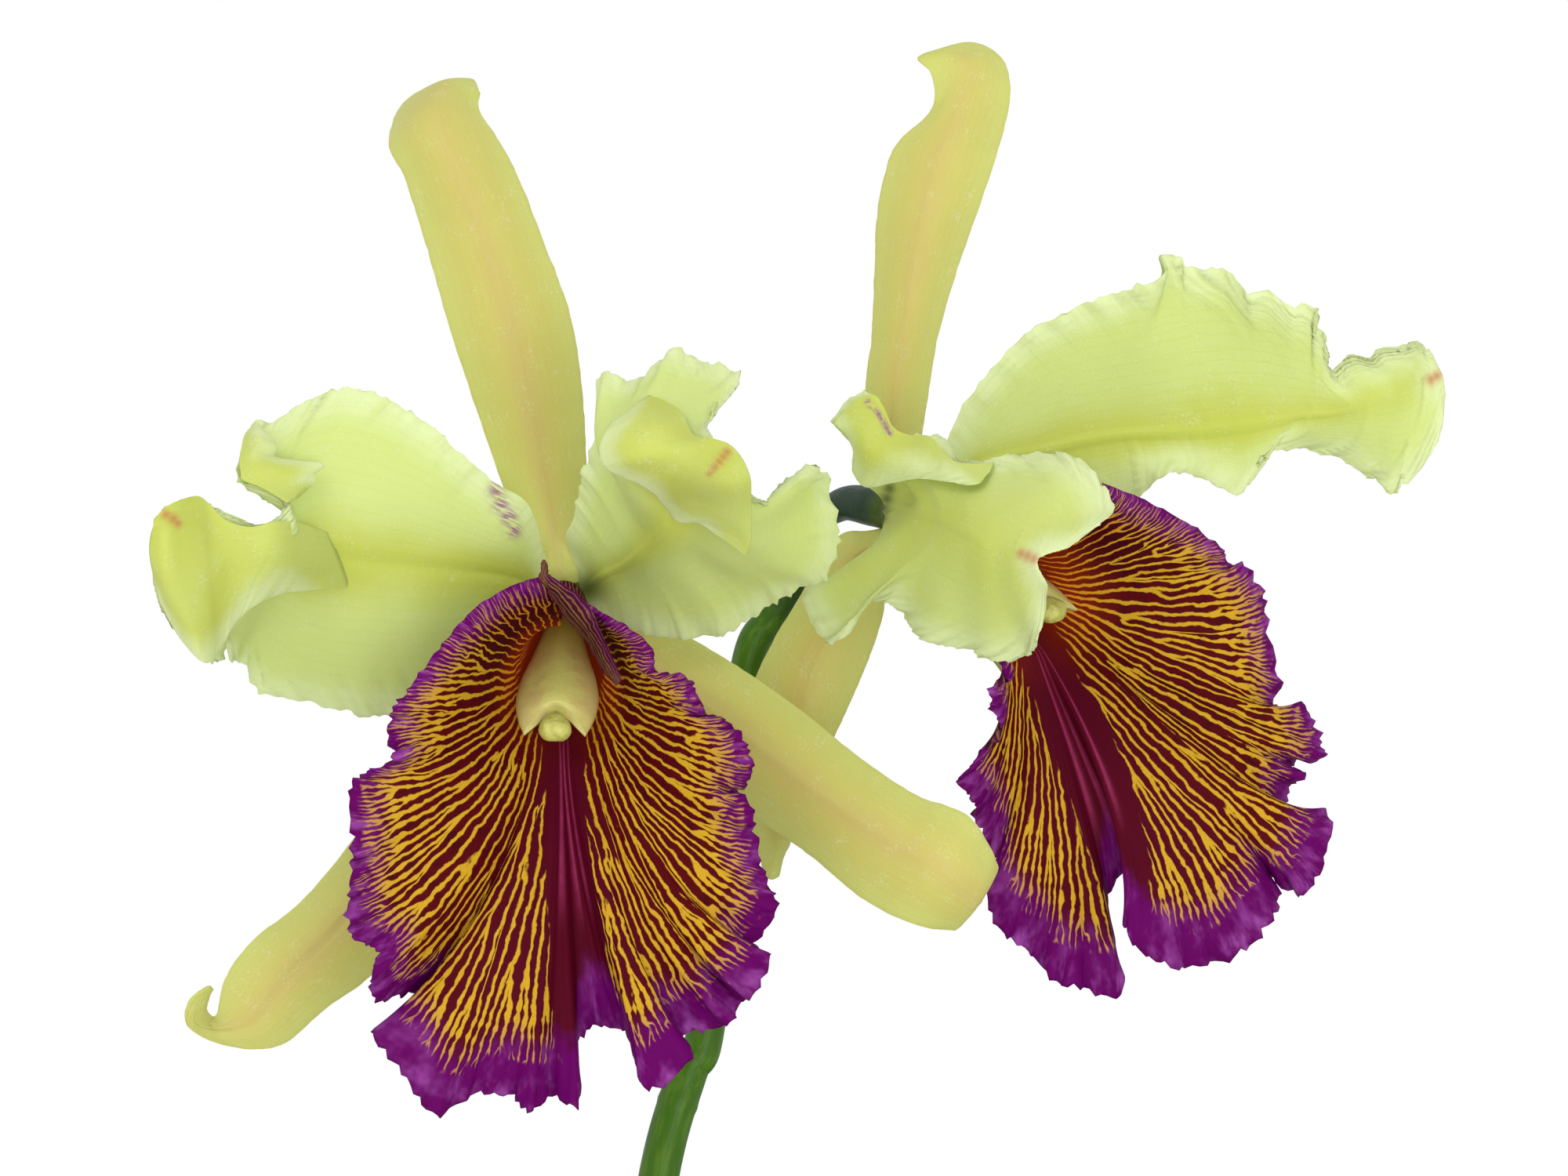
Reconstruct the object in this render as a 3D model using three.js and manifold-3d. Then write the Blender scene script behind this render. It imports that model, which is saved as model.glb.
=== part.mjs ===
// Potted cattleya dowiana with two open blooms. Millimetres, +Z up.
// The blooms look toward -Y, and the pot stands on the origin.

import * as THREE from "three";
import { mergeVertices } from "three/addons/utils/BufferGeometryUtils.js";
import Module from "manifold-3d";

const wasm = await Module();
wasm.setup();

// Sizes of the pot
const POT_HEIGHT = 112;
const POT_FOOT_RADIUS = 45;
const POT_BODY_TOP_RADIUS = 59;
const POT_RIM_RADIUS = 65;
const POT_RIM_HEIGHT = 20;
const POT_WALL = 4.5;
const POT_FLOOR = 7;
const POT_SIDES = 36;
const DRAIN_COUNT = 4;
const DRAIN_RADIUS = 4.5;
const DRAIN_CIRCLE = 25;

// Sizes of the planting
const BARK_TOP = 96;
const CHIP_COUNT = 20;
const RHIZOME_HEIGHT = 101;
const RHIZOME_RADIUS = 5.5;
const GAP = 0.35;

// Sizes of the blooms
const BLOOM_HEIGHT = 407;
const EYE_DISTANCE = 1042;
const BALL_RADIUS = 4;
const SEPAL_THICKNESS = [1.5, 0.8];
const PETAL_THICKNESS = [1.3, 0.65];
const LIP_THICKNESS = [0.9, 0.65];
const LEAF_THICKNESS = [2.4, 1.2];

const group = new THREE.Group();
group.name = "potted_cattleya";

const COLOURS = {
  clay: ["#b5623c", 0.9],
  bark: ["#5b3d29", 0.95],
  root: ["#c9c6a4", 0.8],
  stem: ["#6f9436", 0.55],
  leaf: ["#3f7a2c", 0.45],
  sheath: ["#a3ad62", 0.75],
  sepal: ["#d2c474", 0.5],
  petal: ["#d3e08a", 0.5],
  lip: ["#7d1246", 0.5],
  column: ["#b6ae62", 0.45],
  anther: ["#d3d07a", 0.5],
};

const materials = {};
for (const [name, [color, roughness]] of Object.entries(COLOURS)) {
  materials[name] = new THREE.MeshStandardMaterial({ color, roughness, metalness: 0 });
  materials[name].name = name;
}

function addNode(name, geometry, material, parent = group) {
  geometry.computeVertexNormals();
  const mesh = new THREE.Mesh(geometry, materials[material]);
  mesh.name = name;
  parent.add(mesh);
}

// Small sums
function mix(a, b, t) {
  return a + (b - a) * t;
}

function smooth(low, high, value) {
  const t = Math.min(1, Math.max(0, (value - low) / (high - low)));
  return t * t * (3 - 2 * t);
}

function vector([x, y, z]) {
  return new THREE.Vector3(x, y, z);
}

function along(keys, value) {
  for (let i = 1; i < keys.length; i += 1) {
    const [x0, y0] = keys[i - 1];
    const [x1, y1] = keys[i];
    if (value <= x1 || i === keys.length - 1) {
      return mix(y0, y1, (value - x0) / (x1 - x0));
    }
  }
  return keys[0][1];
}

// A bloom point is given as [across, up, toward the back] around the middle of the blooms.
// What stands nearer or farther is drawn in or out, so that it looks as wide from the front.
function place([across, up, back]) {
  const grow = 1 + back / EYE_DISTANCE;
  return new THREE.Vector3(across * grow, back, BLOOM_HEIGHT + up * grow);
}

function curveOf(points) {
  return new THREE.CatmullRomCurve3(points, false, "catmullrom", 0.5);
}

// Closed bodies
function bodyOf(points, triangles) {
  let volume = 0;
  for (const [a, b, c] of triangles) {
    volume += points[a].dot(points[b].clone().cross(points[c]));
  }
  const outward = volume > 0 ? triangles : triangles.map(([a, b, c]) => [a, c, b]);
  const geometry = new THREE.BufferGeometry();
  const flat = points.flatMap((point) => [point.x, point.y, point.z]);
  geometry.setAttribute("position", new THREE.Float32BufferAttribute(flat, 3));
  geometry.setIndex(outward.flat());
  return geometry;
}

function solidOf(geometry) {
  const bare = geometry.clone();
  bare.deleteAttribute("normal");
  bare.deleteAttribute("uv");
  const merged = mergeVertices(bare, 1e-4);
  return new wasm.Manifold(new wasm.Mesh({
    numProp: 3,
    vertProperties: new Float32Array(merged.attributes.position.array),
    triVerts: new Uint32Array(merged.index.array),
  }));
}

function geometryOf(solid) {
  const mesh = solid.getMesh();
  const geometry = new THREE.BufferGeometry();
  geometry.setAttribute("position", new THREE.Float32BufferAttribute(mesh.vertProperties, 3));
  geometry.setIndex([...mesh.triVerts]);
  return geometry;
}

function largestOf(solid) {
  const pieces = solid.decompose();
  return pieces.reduce((best, piece) => (piece.volume() > best.volume() ? piece : best));
}

function joined(geometries) {
  return geometries.map(solidOf).reduce((sum, next) => sum.add(next));
}

// A round body turned about a vertical axis from [radius, height] pairs
function turned(profile, sides) {
  const points = [];
  const rings = [];
  for (const [radius, height] of profile) {
    const ring = [];
    for (let i = 0; i < (radius > 0 ? sides : 1); i += 1) {
      const angle = (2 * Math.PI * i) / sides;
      ring.push(points.length);
      points.push(new THREE.Vector3(radius * Math.cos(angle), radius * Math.sin(angle), height));
    }
    rings.push(ring);
  }
  return bodyOf(points, bridged(rings, sides));
}

function bridged(rings, sides) {
  const triangles = [];
  for (let k = 1; k < rings.length; k += 1) {
    const low = rings[k - 1];
    const high = rings[k];
    for (let i = 0; i < sides; i += 1) {
      const next = (i + 1) % sides;
      if (low.length > 1) {
        triangles.push([low[i], low[next], high[high.length > 1 ? next : 0]]);
      }
      if (high.length > 1) {
        triangles.push([low[low.length > 1 ? i : 0], high[next], high[i]]);
      }
    }
  }
  return triangles;
}

// A stem with round sections: stops are [share of the curve, radius]
function stemBody(curve, stops, sides, flatten = 1, wide = new THREE.Vector3(1, 0, 0)) {
  const points = [];
  const rings = [];
  let side = wide.clone();
  for (const [share, radius] of stops) {
    const middle = curve.getPoint(share);
    const forward = curve.getTangent(share);
    side = side.clone().addScaledVector(forward, -side.dot(forward)).normalize();
    const other = forward.clone().cross(side);
    const ring = [];
    for (let i = 0; i < (radius > 0 ? sides : 1); i += 1) {
      const angle = (2 * Math.PI * i) / sides;
      const point = middle.clone().addScaledVector(side, radius * Math.cos(angle));
      point.addScaledVector(other, radius * flatten * Math.sin(angle));
      ring.push(points.length);
      points.push(point);
    }
    rings.push(ring);
  }
  return bodyOf(points, bridged(rings, sides));
}

// The same run with its ends drawn out a little
function drawnOut(points, extra) {
  const count = points.length;
  const start = points[0].clone().sub(points[1]).setLength(extra);
  const end = points[count - 1].clone().sub(points[count - 2]).setLength(extra);
  return [start.add(points[0]), ...points.slice(1, count - 1), end.add(points[count - 1])];
}

function roundStops(count, radiusAt) {
  const stops = [[0, 0]];
  for (let i = 0; i <= count; i += 1) {
    stops.push([i / count, radiusAt(i / count)]);
  }
  stops.push([1, 0]);
  return stops;
}

// A thin sheet: a grid of points is thickened by half to each side,
// and both faces are split into triangles alike
function sheetNormals(grid) {
  const last = grid.length - 1;
  const edge = grid[0].length - 1;
  const normals = grid.map((row, i) => row.map((_, j) => {
    const down = grid[Math.min(i + 1, last)][j].clone().sub(grid[Math.max(i - 1, 0)][j]);
    const over = grid[i][Math.min(j + 1, edge)].clone().sub(grid[i][Math.max(j - 1, 0)]);
    return down.cross(over).normalize();
  }));
  return evened(evened(normals));
}

// Each direction is evened out with the ones around it, so that the faces stay apart in a fold
function evened(normals) {
  return normals.map((row, i) => row.map((normal, j) => {
    const sum = normal.clone();
    for (const near of [normals[i - 1]?.[j], normals[i + 1]?.[j], row[j - 1], row[j + 1]]) {
      if (near) sum.add(near);
    }
    return sum.normalize();
  }));
}

function sheetGrid(surface, rows, columns, frill) {
  const grid = [];
  for (let i = 0; i <= rows; i += 1) {
    const row = [];
    for (let j = 0; j <= columns; j += 1) {
      row.push(surface(i / rows, j / columns));
    }
    grid.push(row);
  }
  if (frill) {
    const normals = sheetNormals(grid);
    grid.forEach((row, i) => row.forEach((point, j) => {
      point.addScaledVector(normals[i][j], frill(i / rows, j / columns));
    }));
  }
  return grid;
}

function sheetBody(surface, rows, columns, thickness, frill) {
  const grid = sheetGrid(surface, rows, columns, frill);
  const normals = sheetNormals(grid);
  const points = [];
  for (const face of [0.5, -0.5]) {
    grid.forEach((row, i) => row.forEach((point, j) => {
      const shift = face * thickness(i / rows, j / columns);
      points.push(point.clone().addScaledVector(normals[i][j], shift));
    }));
  }
  const width = columns + 1;
  const back = (rows + 1) * width;
  const triangles = [];
  for (let i = 0; i < rows; i += 1) {
    for (let j = 0; j < columns; j += 1) {
      const a = i * width + j;
      const b = a + width;
      const c = b + 1;
      const d = a + 1;
      triangles.push([a, b, c], [a, c, d]);
      triangles.push([a + back, c + back, b + back], [a + back, d + back, c + back]);
    }
  }
  const rim = [];
  for (let i = 0; i < rows; i += 1) rim.push(i * width);
  for (let j = 0; j < columns; j += 1) rim.push(rows * width + j);
  for (let i = rows; i > 0; i -= 1) rim.push(i * width + columns);
  for (let j = columns; j > 0; j -= 1) rim.push(j);
  rim.forEach((p, k) => {
    const q = rim[(k + 1) % rim.length];
    triangles.push([q, p, p + back], [q, p + back, q + back]);
  });
  return bodyOf(points, triangles);
}

// Petals and sepals: every row is a cut across the blade, from its upper or left edge
// over the rib to the other edge; rows run from the heart of the bloom to the tip
function bladeSurface(rows) {
  const rails = rows[0].map((_, k) => curveOf(rows.map((row) => place(row[k]))));
  return (u, v) => curveOf(rails.map((rail) => rail.getPoint(u))).getPoint(v);
}

function bladeBody(rows, { columns, thickness, waves = 0, wave = 0 }) {
  const [middle, margin] = thickness;
  const thick = (u, v) => mix(middle, margin, Math.max(smooth(0, 1, Math.abs(2 * v - 1)), u * 0.7));
  const frill = (u, v) => {
    const edge = Math.abs(2 * v - 1) ** 3 * smooth(0.15, 0.5, u) * (1 - smooth(0.9, 1, u));
    const turn = v < 0.5 ? 0 : 1.7;
    return wave * edge * Math.sin(2 * Math.PI * waves * u + turn);
  };
  return sheetBody(bladeSurface(rows), 2 * (rows.length - 1), columns, thick, waves ? frill : null);
}

const BLOOM_1_DORSAL_SEPAL = [
  [[-37.2, 1.5, -1.7], [-35, 1.4, -2.2], [-33, 1.5, -1.8]],
  [[-41, 5.5, 0.5], [-36, 6, -0.5], [-32, 6, 0.5]],
  [[-43, 11, 2], [-37.5, 12.5, 2], [-31.5, 14, 4]],
  [[-48, 25.5, 3], [-40.5, 27.5, 0], [-32, 29, 5]],
  [[-53, 40.5, 2], [-44, 43, -2], [-34, 43, 4]],
  [[-57, 54.5, 2], [-48, 56, -3], [-38.5, 55.5, 3]],
  [[-60.5, 65.5, 3], [-52.5, 67.5, -3], [-42, 64.5, 3]],
  [[-63, 71, 7], [-55.5, 76, 1], [-45, 70.5, 4]],
  [[-60, 78, 15], [-53.5, 80.5, 9], [-48.5, 76, 6]],
  [[-51, 81, 16], [-49.5, 81, 13], [-48.5, 79, 9]],
];

const BLOOM_1_LATERAL_SEPAL_LEFT = [
  [[-39.1, -2.2, 3.1], [-38.1, -4.1, 3.1], [-36.3, -5.3, 3.1]],
  [[-49, -12, 5], [-45, -15.5, 4], [-40, -19.5, 5]],
  [[-60, -27.5, 6], [-53, -31, 4], [-46, -35.5, 6]],
  [[-69, -40.5, 5], [-64, -45.5, 2], [-57, -50, 4]],
  [[-77, -50, 3], [-72, -55, 0], [-65, -61, 2]],
  [[-84.5, -56, 1], [-79.5, -62.5, -2], [-73, -67, 0]],
  [[-89, -62, 0], [-85, -69, -3], [-80.5, -73, -1]],
  [[-90.5, -68, -2], [-90.5, -70.5, -4], [-89, -73, -3]],
  [[-92, -67.3, -6.3], [-94, -69, -7], [-95, -70, -7]],
  [[-91.5, -65, -8], [-93, -65, -9], [-95, -66, -9]],
  [[-91, -64, -9], [-91.5, -63.5, -10], [-92, -63.5, -10]],
];

const BLOOM_1_LATERAL_SEPAL_RIGHT = [
  [[-30.4, -2.2, 3.1], [-31.4, -4.1, 3.1], [-33.3, -5.3, 3.1]],
  [[-19, -6, 2], [-21.5, -12, 0], [-25.5, -17.5, 1]],
  [[-9, -11.5, -3], [-11, -20, -6], [-15, -28, -4]],
  [[2, -19, -9], [-2, -27, -13], [-6, -35.5, -10]],
  [[12, -27, -16], [8, -34.5, -20], [4, -42.5, -17]],
  [[21, -33, -22], [17.5, -40.5, -26], [12.5, -49.5, -22]],
  [[29.5, -36.5, -25], [25.5, -45, -29], [20.5, -53.5, -25]],
  [[34, -44, -23], [31, -49.5, -25], [27, -54.5, -22]],
  [[33, -45, -18], [30, -49.5, -19], [27.5, -52.5, -18]],
  [[30, -46, -14], [29, -48, -14], [28, -49.5, -14]],
];

// The two petals of this bloom are folded over on themselves: five points a cut
const BLOOM_1_PETAL_LEFT = [
  [[-38.3, 1.1, 0], [-38.5, 0.6, 0], [-38.7, 0.1, 0.1], [-38.8, -0.4, 0.2], [-38.8, -1, 0.3]],
  [[-42.5, 12.5, -8], [-44, 7, -8], [-44.5, 2, -6], [-44.5, -5, -5], [-44, -13, -3]],
  [[-51, 21, -12], [-53, 12, -12], [-54, 3, -10], [-55, -8, -9], [-55, -19.5, -6]],
  [[-61, 28.5, -13], [-63, 16, -15], [-64, 4, -13], [-65, -8, -11], [-65.5, -20.5, -6]],
  [[-72, 32, -12], [-73.5, 18, -17], [-73, 5, -17], [-74.5, -7, -12], [-76, -18.5, -4]],
  [[-82.5, 26.5, -14], [-79, 15, -20], [-77.5, 5, -21], [-80, -4, -15], [-85, -14, 0]],
  [[-87, 18, -25], [-77.5, 10.5, -23], [-80, 5, -23.5], [-83.5, -2.5, -21], [-88.5, -11.5, -4]],
  [[-79.5, 13.4, -27.5], [-78.8, 8.5, -27.5], [-82.5, 4, -27.5], [-87, -5, -24], [-88.5, -9.5, -12]],
  [[-85, 10, -28], [-86.8, 8, -29.5], [-89.5, 7, -30], [-90, -3, -29], [-91.5, -11.5, -22]],
  [[-93, 14, -31], [-93.5, 11.5, -33], [-94, 9, -34], [-95, 1.5, -34], [-96.5, -7.5, -28]],
  [[-97.5, 13.5, -36], [-98, 11.5, -37], [-98.5, 9.5, -38], [-99.5, 5, -37], [-100.5, 0, -34]],
  [[-99.5, 12, -38], [-100, 11, -38], [-100, 10, -38.5], [-100.3, 9, -38], [-100.7, 8, -38]],
];

const BLOOM_1_PETAL_RIGHT = [
  [[-31.7, 1.5, 0], [-31.4, 0.8, 0], [-31.2, 0.2, 0.1], [-31.1, -0.4, 0.3], [-31.1, -1.1, 0.4]],
  [[-33.5, 7.5, -6], [-31, 5, -8], [-29, 2, -8], [-27.5, -1, -6], [-26.5, -5, -4]],
  [[-33, 14, -11], [-29.5, 7.5, -13], [-26, 3.5, -14], [-24, -0.5, -11], [-23, -7, -7]],
  [[-31.5, 20, -16], [-27.5, 11, -18], [-23.5, 5, -20], [-20.5, 0.5, -16], [-18, -8, -9]],
  [[-29.5, 25.5, -21], [-25.5, 14.5, -25], [-21, 7.5, -27], [-17, 2.5, -21], [-11.5, -7.5, -10]],
  [[-28, 30, -29], [-27, 18, -38], [-19, 10, -35], [-13, 4, -24], [-5, -5, -12]],
  [[-29.5, 33, -37], [-29, 21, -46], [-17.5, 14, -42], [-9.5, 4.5, -28], [1.5, 0, -16]],
  [[-24.5, 33, -38], [-27, 24, -49], [-16, 16.5, -48], [-8, 6, -33], [6.5, 1, -20]],
  [[-18, 37.5, -36], [-23, 25.5, -50], [-14.5, 18.5, -52], [-6, 7.5, -38], [8.5, 10.5, -24]],
  [[-12, 36.5, -36], [-20, 26, -49], [-13, 20, -55], [-5.5, 10, -43], [7, 18.5, -28]],
  [[-7, 33.5, -38], [-16.5, 25, -51], [-11, 20.5, -57], [-6, 13.5, -48], [-2, 14, -38]],
  [[-12, 27, -49], [-13.5, 24, -55], [-9.5, 21.5, -59.5], [-7, 18, -55], [-4.8, 14, -48.5]],
  [[-11.5, 24, -58], [-11, 23.2, -59.5], [-9, 22, -61], [-6.8, 20.3, -59.5], [-5.5, 18, -57]],
];

const BLOOM_2_DORSAL_SEPAL = [
  [[16.5, 16.2, 9.5], [19, 17.2, 9], [21, 16.2, 9.5]],
  [[14, 21, 9.5], [17.5, 21, 7.5], [21.5, 21, 8.5]],
  [[13, 31, 8], [17.5, 30.5, 4], [23, 31, 7]],
  [[14, 40, 7], [19, 40, 2], [24.5, 40, 6]],
  [[14.5, 50.5, 7], [20.5, 50, 1], [27.5, 50.5, 5]],
  [[15, 60.5, 7], [22.5, 60, 0], [31, 60.5, 4]],
  [[17.5, 70, 7], [25, 69.5, 1], [34, 69.5, 4]],
  [[22.5, 75, 4], [28, 77, 0], [36, 78, 3]],
  [[24, 78, 2], [29.5, 83, 0], [35, 84, 4]],
  [[23.5, 82, 1], [26, 85, 2], [30, 87, 5]],
  [[22.3, 83.4, 1], [21.3, 84.4, 2.2], [22.3, 85.2, 3.6]],
];

const BLOOM_2_LATERAL_SEPAL_LEFT = [
  [[16.5, 8, 9.5], [17.5, 7.3, 9], [19, 7.5, 9]],
  [[8, 7.5, 14], [11.5, 4.5, 10], [15.5, 2, 11]],
  [[2.5, -1.5, 15], [9, -4, 10], [16, -3, 11]],
  [[-2, -9, 16], [4.5, -11, 11], [14, -10, 12]],
  [[-5.5, -17.5, 17], [2, -20, 11], [10, -19.5, 13]],
  [[-6, -27.5, 16], [0, -29, 11], [5.5, -29, 13]],
  [[-5.5, -36, 15], [-1, -37, 11], [2.5, -37, 13]],
  [[-4, -42.5, 14], [-1.5, -43, 11], [0, -43, 13]],
  [[-3, -46, 12.5], [-2, -46.5, 11.5], [-0.8, -46, 12.5]],
];

const BLOOM_2_LATERAL_SEPAL_RIGHT = [
  [[22.6, 10.6, 11], [21.4, 9.3, 11], [20, 8.6, 10.6]],
  [[29.5, 4, 18], [27, 1, 15], [25, -0.5, 13]],
  [[39, -5, 25], [35.5, -8, 21], [32, -9.5, 17]],
  [[47, -15, 31], [43, -18, 27], [38, -19, 23]],
  [[53, -25, 34], [49, -28, 31], [44, -29.5, 27]],
  [[55, -34, 34], [51.5, -35.5, 32], [48, -37, 29]],
  [[55, -39.5, 32], [52.5, -40.5, 31], [50, -41, 29]],
  [[54, -43.5, 31], [52.5, -44, 30], [51, -43.5, 29.5]],
];

const BLOOM_2_PETAL_LEFT = [
  [[17.2, 14.5, 4.6], [15.7, 12, 3.7], [16.2, 9.5, 4.6]],
  [[13, 16.5, 1], [17, 12.5, -3], [14, 6, 2]],
  [[11, 19.5, -4], [18.5, 13, -9], [9, 0.5, -1]],
  [[11.5, 24, -8], [20.5, 12.5, -15], [3, -2, -6]],
  [[7.5, 26, -12], [22, 12, -21], [7.5, -9, -10.5]],
  [[13, 31, -13], [24, 11.5, -26], [12.5, -3.5, -14]],
  [[19, 24, -17], [25.5, 11, -31], [17, -2, -16]],
  [[25.5, 24, -22], [27.5, 10, -36], [19.5, -6, -20]],
  [[29.5, 19.5, -28], [29.5, 9, -41], [25, -9, -27]],
  [[39, 22, -34], [32, 7.5, -46], [31, -10.5, -34]],
  [[48, 19.5, -43], [35, 6.5, -50], [37, -11.5, -41]],
  [[52.5, 12.5, -51], [37.5, 5.5, -54], [41, -8, -49]],
  [[45.5, 6.5, -57], [40.5, 4.5, -58], [42, 0.5, -57]],
];

const BLOOM_2_PETAL_RIGHT = [
  [[21.5, 13.5, 12], [22, 12, 12], [22.5, 10.5, 12]],
  [[25.5, 20.5, 10], [27, 17.5, 12], [29, 14, 14]],
  [[28.5, 29, 9], [33, 20.5, 12], [37, 13, 15]],
  [[36, 39, 8], [41, 22, 14], [46, 12.5, 18]],
  [[45.5, 44, 6], [50, 24, 15], [56, 14.5, 18]],
  [[55, 47.5, 4], [59, 25, 15], [61.5, 19, 14]],
  [[65, 51, 4], [67.5, 25.5, 14], [66, 18.5, 14]],
  [[72.5, 50, 4], [75, 26, 12], [73, 14.5, 12]],
  [[83.5, 45, 2], [82, 27, 10], [77, 20, 12]],
  [[85.5, 38, 6], [87.5, 28, 8], [82.5, 22, 14]],
  [[90, 37, 8], [93, 29.5, 5], [92.5, 19, 8]],
  [[97, 38, 6], [99.5, 31.5, 2], [97, 15, 2]],
  [[102, 39, 2], [103, 33.5, 0], [104, 22.5, 0]],
  [[104, 35.5, 0], [105, 34, -1], [105.5, 31, -1]],
];

// Lips: the margin runs from the slit above the column down the left flank,
// round the notch at the foot and up the right flank. The flow pairs give
// [place in the margin, angle at which that place is reached from the rib].
const LIP_1 = {
  heart: [-34.75, -1, 2.5],
  mouth: [-35.6, -15, -15],
  column: [-36.6, -23.6, -23.5],
  turn: 0,
  lean: 3,
  wide: 8.6,
  high: 9.4,
  margin: [
    [-38, 2, -28.6], [-43, 0.5, -31], [-49, -3, -33], [-54.5, -9, -35], [-59, -15, -36],
    [-62.5, -19.5, -37], [-63, -24, -34], [-62, -27.5, -37], [-65.5, -29, -34], [-69, -31, -35],
    [-69, -39, -38], [-69, -45, -35], [-69.5, -51, -33], [-69, -55.5, -37], [-65, -58, -39],
    [-66, -62.5, -38], [-65, -66, -34], [-60, -64.5, -30], [-57, -67, -28], [-60, -70, -31],
    [-65.5, -71, -36], [-61, -77.5, -39], [-55.5, -84, -37], [-50, -81, -34], [-44, -81, -36],
    [-40.5, -83.5, -39], [-37.5, -81, -35], [-32.5, -82.5, -37], [-34, -74.5, -31],
    [-30.5, -70, -29], [-25, -71, -31], [-23.5, -75, -37], [-21, -80, -41], [-14.5, -74.5, -39],
    [-19, -72, -33], [-12.5, -70.5, -33], [-8, -69, -37], [-7, -64.5, -33], [-5.5, -65.5, -39],
    [-2, -59, -41], [-5, -57.5, -34], [-1, -51, -36], [-3, -46, -33], [-4.5, -39, -35],
    [-5, -35, -38], [-7, -32.5, -33], [-5, -29.5, -37], [-6, -25, -39], [-8, -22, -35],
    [-12, -20, -33], [-13.5, -18, -38], [-15, -14.5, -36], [-18.5, -13.5, -33], [-20.8, -13.4, -31],
    [-20.6, -10.8, -31], [-22.5, -8, -32], [-27, -5, -31], [-32.5, -2, -30], [-39, 2.4, -26],
  ],
  flow: [
    [0, -182], [3, -110], [5, -82], [9, -62], [13, -41], [17, -28], [22, -17], [26, -5],
    [29, 0], [31, 8], [35, 22], [39, 36], [43, 52], [47, 70], [51, 92], [54, 110],
    [56, 140], [58, 184],
  ],
};

const LIP_2 = {
  heart: [18.75, 12, 8],
  mouth: [39.5, -2, -5.5],
  column: [44, -4.4, -8],
  turn: 35,
  lean: 9.5,
  wide: 10.5,
  high: 9,
  margin: [
    [51.5, 16.5, -11.6], [45, 12.5, -15], [39, 5, -20], [35, -4, -22], [34, -10, -21],
    [35.5, -15, -18], [33, -15.5, -19], [33, -19, -18], [34.5, -23, -15], [30.5, -27.5, -16],
    [28, -31, -18], [30.5, -34.5, -15], [30.5, -37, -11], [33, -42, -9], [34.5, -45, -9],
    [32, -47.5, -13], [34.5, -54.5, -15], [39, -58, -13], [43, -62.5, -16], [48, -64, -13],
    [54, -65, -12], [51.2, -55, -10], [51.5, -49, -8.5], [55, -45, -9], [58.5, -46.5, -12.5],
    [56.5, -50, -15.5], [54.5, -54, -17.5], [57, -58, -17.5], [62.5, -60.5, -15], [70, -59.5, -11],
    [75.5, -56, -12], [79, -50, -8], [77.5, -46, -5], [82.5, -49, -8], [86, -44, -9],
    [87, -36, -6], [80, -37, 0], [80.5, -32.5, -2], [83, -29.5, -4], [80.5, -28, 0],
    [86, -27, -1], [85.5, -24, 0], [83, -19, 2], [78, -19.5, 4], [79, -15, 2], [77, -6, 2],
    [76.5, -1, 0], [73, 4, -3], [71, 3.5, -1], [70, 6, -4], [65, 10, -6], [57.5, 14, -9],
    [50.7, 16.8, -9],
  ],
  flow: [
    [0, -196], [1, -165], [2, -130], [3, -92], [4, -72], [6, -56], [8, -44], [10, -38],
    [12, -31], [14, -24], [17, -17], [20, -7], [22, -3], [23, 0], [26, 3], [28, 7],
    [30, 15], [33, 25], [35, 36], [39, 44], [42, 56], [45, 72], [47, 90], [50, 112],
    [51, 134], [52, 172],
  ],
};

// How the lines of flow leave the mouth ring, set out from it and reach the margin
const SAME_ANGLE = [[0, 0], [200, 200]];
const START_ANGLE = [[0, 0], [16, 4], [35, 10], [55, 25], [80, 70], [110, 108], [200, 200]];
const END_ANGLE = [[0, 0], [16, 24], [35, 62], [55, 86], [80, 97], [110, 112], [200, 200]];
const TUBE_SHARE = 0.28;
const TUBE_START = 3;
const COLUMN_START = 3.6;
const TUBE_RADIUS = 3.3;
const CALM_REACH = 2;
const SLIT_OVERLAP = 1.7;

function hermite(p0, d0, p1, d1, t) {
  const sum = p0.clone().multiplyScalar(2 * t ** 3 - 3 * t ** 2 + 1);
  sum.addScaledVector(d0, t ** 3 - 2 * t ** 2 + t);
  sum.addScaledVector(p1, 3 * t ** 2 - 2 * t ** 3);
  return sum.addScaledVector(d1, t ** 3 - t ** 2);
}

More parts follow.
